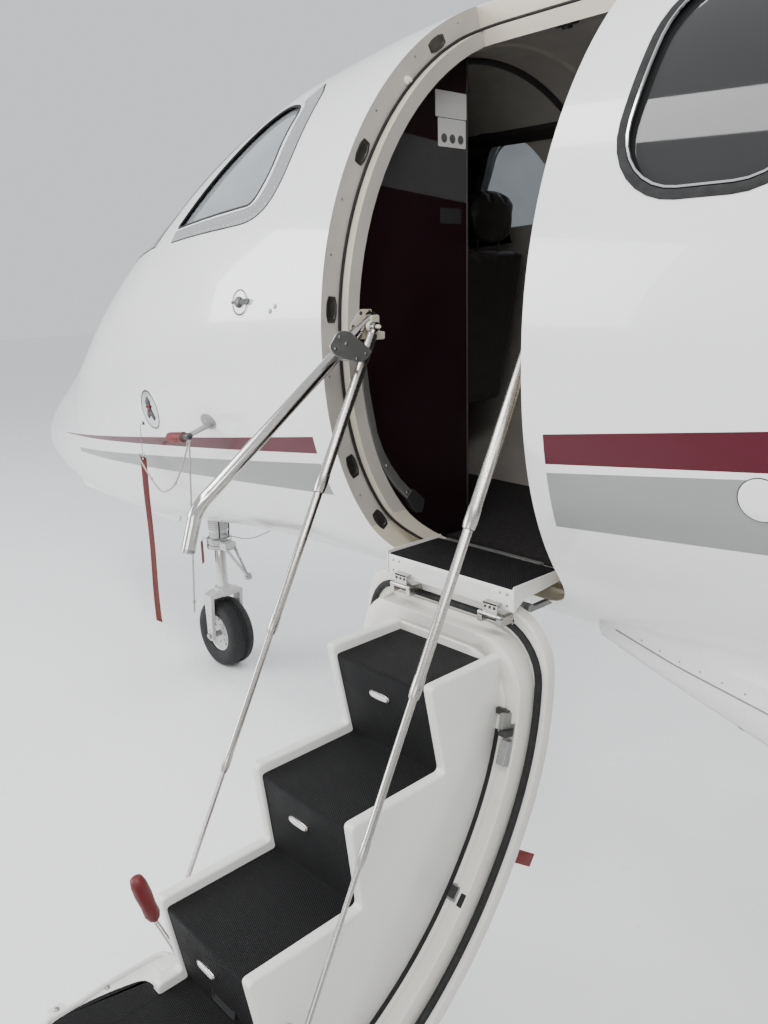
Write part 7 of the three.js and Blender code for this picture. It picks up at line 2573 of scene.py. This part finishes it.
knee_at, root_at = (NOSE_X - 0.25, 0, KNEE_Z), (NOSE_X - 0.09, 0, COLLAR_Z + 0.026)
link_bits = [
    turned("pin", pin_profile(0.019, 0.006, 0.018, 0.0095), knee_at, LEFTWARD, steel, 24),
    turned("boss", [(-0.013, 0.0175), (0.013, 0.0175)], knee_at, LEFTWARD, gear_paint, 28),
    turned("pin", pin_profile(0.034, 0.005, 0.033, 0.007), root_at, LEFTWARD, steel, 20),
]
piece(joined("torque_link_pins", link_bits, steel), AIR, bevel=0.001, angle=40)
for i, (y, z0, z1) in enumerate(((0.028, 0.72, 0.95), (-0.026, 0.7, 0.95))):
    route = [
        (NOSE_X - 0.05, y, z0), (NOSE_X - 0.058, y * 1.1, z0 + 0.08), (NOSE_X - 0.054, y * 1.3, z1 - 0.05),
        (NOSE_X - 0.03, y * 1.8, z1),
    ]
    line = tube(f"nose_line_{i + 1}", smooth_path(route, 6), 0.0035, black_rubber, 10)
    piece(line, AIR, angle=60)
clamp_profile = pin_profile(0.006, 0.046, 0.005, 0.0505)
for i, z in enumerate((0.735, 0.865)):
    clamp = turned(f"nose_clamp_{i + 1}", clamp_profile, (NOSE_X, 0, z), UPWARD, steel, 40)
    piece(clamp, AIR, angle=35)

tag_top = Vector((NOSE_X + 0.066, 0.066, 0.692))
tag = rounded([(-0.019, 0), (0.019, 0), (0.021, -0.122), (-0.021, -0.122)], 0.004, 3)
rings = [
    [tag_top + Vector((u * 0.7 + lift, -u * 0.7 + lift, v)) for u, v in tag]
    for lift in (-0.0012, 0.0012)
]
piece(ring_mesh("nose_tag", rings, red_cover), AIR, angle=30)
tag_wire = smooth_path(
    [(NOSE_X + 0.04, 0.04, 0.7), (NOSE_X + 0.058, 0.058, 0.709), tag_top + Vector((0, 0, -0.008))], 6,
)
piece(tube("nose_tag_wire", tag_wire, 0.0022, steel, 10), AIR)
rear_rod = [(NOSE_X - 0.04, 0.0, 0.735), (to_x(2.2), 0.012, 0.775), (to_x(2.56), 0.02, 0.945)]
piece(tube("nose_rear_rod", smooth_path(rear_rod, 6), 0.0028, steel, 10), AIR)

# Nose fork: piston, crown, two arms and the axle, on the steered body
FORK_TOP = 0.394
FORK_IN = 0.078
FORK_OUT = 0.1
profile = [(0.0, 0.029), (0.245, 0.0295), (0.25, 0.027)]
piston = turned("nose_piston", profile, (NOSE_X, 0, FORK_TOP + 0.008), UPWARD, chrome, 40)
piece(piston, "nose_steer", angle=40)
crown_profile = [(-0.0005, 0.044), (0.002, 0.051), (0.03, 0.051), (0.046, 0.044), (0.0495, 0.034)]
crown = turned("crown", crown_profile, (NOSE_X, 0, FORK_TOP + 0.0005), UPWARD, gear_paint, 40)
bridge_outline = rounded(
    [
        (-FORK_OUT, FORK_TOP), (-FORK_OUT, FORK_TOP + 0.016), (-0.05, FORK_TOP + 0.034),
        (0.05, FORK_TOP + 0.034), (FORK_OUT, FORK_TOP + 0.016), (FORK_OUT, FORK_TOP),
    ],
    [0.003, 0.01, 0.02, 0.02, 0.01, 0.003], 5,
)
bridge = prism("bridge", bridge_outline, "x", NOSE_X - 0.0375, NOSE_X + 0.0375, gear_paint)
arms = [crown, bridge]
arm_outline = rounded(
    [
        (NOSE_X - 0.036, FORK_TOP + 0.019), (NOSE_X + 0.036, FORK_TOP + 0.019), (NOSE_X + 0.026, 0.27),
        (NOSE_X + 0.024, 0.165), (NOSE_X, 0.151), (NOSE_X - 0.024, 0.165), (NOSE_X - 0.026, 0.27),
    ],
    [0.004, 0.004, 0.04, 0.012, 0.012, 0.012, 0.04], 5,
)
for side in (1, -1):
    near, far = sorted((side * (FORK_IN + 0.0005), side * (FORK_OUT - 0.0005)))
    arms.append(prism("arm", arm_outline, "y", near, far, gear_paint))
fork = joined("nose_fork_casting", arms, gear_paint)
piece(fork, "nose_steer", "nose_fork", bevel=0.004, segments=3, slot="gear_paint", angle=40)
axle_side = [(0.104, 0.0155), (0.1125, 0.0135), (0.1135, 0.006)]
profile = [(-a, r) for a, r in reversed(axle_side)] + axle_side
axle = turned("nose_axle", profile, (NOSE_X, 0, NOSE_R), LEFTWARD, steel, 28)
piece(axle, "nose_steer", angle=40)
pads = []
for side in (1, -1):
    for z in (0.36, 0.3, 0.22):
        pads.append((Vector((NOSE_X, side * (FORK_OUT - 0.0005), z)), Vector((0, side, 0))))
piece(domes("nose_fork_studs", pads, 0.006, 0.003, steel, 10), "nose_steer")
wheel_parts("nose_wheel", Vector((NOSE_X, 0, NOSE_R)), NOSE_R, 0.14, 0.0168)

# Nose gear doors with hinges and fasteners
door_outline_side = rounded(
    [
        (to_x(0.6), 0.985), (to_x(0.64), 0.835), (to_x(1.3), 0.812), (to_x(1.76), 0.8), (to_x(1.8), 0.905),
        (to_x(1.3), 0.905), (to_x(0.9), 0.94),
    ],
    [0.01, 0.03, 0.1, 0.03, 0.01, 0.1, 0.1], 5,
)
for side_name, side in SIDES:
    rings = []
    for out, by in ((0.1492, 0.003), (0.1505, 0.001), (0.163, 0.001), (0.1644, 0.003)):
        rings.append([(x, side * out, z) for x, z in drawn_in(door_outline_side, by)])
    door = ring_mesh(f"nose_door_{side_name}", rings, plain_paint)
    piece(door, AIR, f"nose_gear_door_{side_name}", slot="paint", angle=30)
    heads = []
    for x in spread(to_x(0.68), to_x(1.72), 14):
        heads.append((Vector((x, side * 0.1644, 0.885 if x < to_x(0.95) else 0.9)), Vector((0, side, 0))))
    piece(domes(f"nose_door_rivets_{side_name}", heads, 0.0028, 0.0005, steel, 8), AIR)
    hinges = []
    for x in (to_x(0.85), to_x(1.25), to_x(1.65)):
        near, far = sorted((side * 0.1435, side * 0.149))
        hinges.append(box("strap", (x - 0.02, near, 0.86), (x + 0.02, far, 0.895), steel))
    piece(joined(f"nose_door_straps_{side_name}", hinges, steel), AIR, bevel=0.001, angle=40)

# Main gear: leg with trailing link, damper, brake and axle, wheel outboard of it
MAIN_X = to_x(6.95)
MAIN_R = 0.229
MAIN_Y = 1.775
HOSE = ((-0.04, 0.98), (-0.049, 0.8), (-0.049, 0.55), (-0.07, 0.42))
for side_name, side in SIDES:
    leg_at = Vector((LEG_X, side * LEG_Y, 0))
    axle_at = Vector((MAIN_X, side * LEG_Y, MAIN_R))
    profile = [
        (0.0, 0.034), (0.002, 0.042), (0.02, 0.0435), (0.26, 0.0435), (0.27, 0.037), (0.45, 0.037),
        (0.46, 0.0435), (0.6085, 0.0435),
    ]
    column = turned("column", profile, leg_at + Vector((0, 0, 0.42)), UPWARD, gear_paint, 40)
    y = side * LEG_Y
    outline = rounded_rect(LEG_X - 0.059, LEG_X + 0.059, y - 0.059, y + 0.059, 0.012, 4)
    plate = prism("plate", outline, "z", 1.001, 1.029, gear_paint)
    link_rings = []
    start = leg_at + Vector((0, 0, 0.43))
    way = (axle_at - start).normalized()
    tall = way.cross(LEFTWARD).normalized()
    for share, high, wide in (
        (0.0, 0.033, 0.03), (0.3, 0.03, 0.026), (0.8, 0.03, 0.024), (1.0, 0.033, 0.026),
    ):
        at = start + (axle_at - start) * share
        link_rings.append([at + tall * high * u + Vector((0, wide * v, 0)) for u, v in oval(1, 1, 28, 2.6)])
    link = ring_mesh("link", link_rings, gear_paint)
    knee_profile = pin_profile(0.0325, 0.02, 0.031, 0.0325)
    knee = turned("knee", knee_profile, leg_at + Vector((0, 0, 0.432)), LEFTWARD, gear_paint, 32)
    casting = joined(f"main_leg_casting_{side_name}", [column, plate, link, knee], gear_paint)
    piece(casting, AIR, f"main_leg_{side_name}", slot="gear_paint", bevel=0.002, angle=35)
    damper_top = Vector((LEG_X + 0.07, y, 0.76))
    damper_low = Vector((MAIN_X + 0.03, y, MAIN_R + 0.04))
    run = damper_low - damper_top
    middle = run.length * 0.5
    profile = [(0.0, 0.014), (0.01, 0.0195), (middle, 0.0195), (middle + 0.004, 0.016)]
    damper = turned("damper", profile, damper_top, run, gear_paint, 28)
    rod = turned("rod", [(middle, 0.0115), (run.length, 0.0115)], damper_top, run, chrome, 24)
    piece(damper, AIR, angle=40)
    piece(rod, AIR, angle=40)
    eye = turned("damper_eye", pin_profile(0.019, 0.016, 0.018, 0.0205), damper_top, LEFTWARD, steel, 28)
    piece(eye, AIR, angle=40)
    lug = tube("damper_lug", [(LEG_X, y, 0.76), (LEG_X + 0.078, y, 0.76)], 0.021, gear_paint, 24)
    piece(lug, AIR, angle=40)
    hub_profile = pin_profile(0.0195, 0.03, 0.018, 0.0435)
    axle_hub = turned("axle_hub", hub_profile, axle_at, LEFTWARD, gear_paint, 36)
    reach, outward = MAIN_Y - LEG_Y, (0, side, 0)
    profile = [(0.0, 0.0235), (reach + 0.04, 0.0235), (reach + 0.0445, 0.018)]
    shaft = turned("axle", profile, axle_at, outward, steel, 32)
    nut = turned("nut", [(reach + 0.0385, 0.0232), (reach + 0.044, 0.0205)], axle_at, outward, steel, 6)
    piece(joined(f"main_axle_{side_name}", [axle_hub, shaft, nut], steel), AIR, angle=40)
    hose = [leg_at + Vector((dx, 0, z)) for dx, z in HOSE] + [axle_at + Vector((0.04, 0, 0.06))]
    hose = smooth_path(hose, 8)
    piece(tube(f"brake_line_{side_name}", hose, 0.004, black_rubber, 10), AIR, angle=60)
    wheel_at = Vector((MAIN_X, side * MAIN_Y, MAIN_R))
    wheel_parts(f"main_wheel_{side_name}", wheel_at, MAIN_R, 0.145, 0.0248)

# Floor, soft lights and a pale surround
def soft_light(name, place, aim, width, height, power, tone=(1.0, 1.0, 1.0)):
    data = bpy.data.lights.new(name, "AREA")
    data.shape = "RECTANGLE"
    data.size = width
    data.size_y = height
    data.energy = power
    data.color = tone
    light = bpy.data.objects.new(name, data)
    bpy.context.scene.collection.objects.link(light)
    light.location = place
    light.rotation_euler = (Vector(aim) - Vector(place)).to_track_quat("-Z", "Y").to_euler()
    return light


floor_finish = finish("floor", (0.92, 0.925, 0.925), 0.3, scale=3, vary=0.025, spread=0.05)
floor = box("floor", (-40, -40, -0.02), (40, 40, 0.0), floor_finish)
soft_light("window_light", (9.5, 7.5, 4.2), (2.5, 0.6, 1.4), 7.0, 4.0, 760, (0.97, 0.985, 1.0))
soft_light("top_light_fore", (3.5, 3.2, 6.5), (3.0, 1.0, 1.0), 6.0, 1.2, 230)
soft_light("top_light_aft", (-2.5, 3.4, 6.5), (-1.0, 1.0, 1.0), 6.0, 1.2, 230)
soft_light("side_light", (-1.5, 8.5, 3.0), (1.0, 1.0, 1.2), 5.0, 2.4, 150)
soft_light("far_light", (3.0, -8.0, 5.0), (1.0, -0.5, 1.5), 8.0, 3.0, 300)
world = bpy.data.worlds.new("surround")
bpy.context.scene.world = world
world.use_nodes = True
surround = world.node_tree.nodes["Background"]
surround.inputs["Color"].default_value = (0.93, 0.96, 1.0, 1)
surround.inputs["Strength"].default_value = 0.9
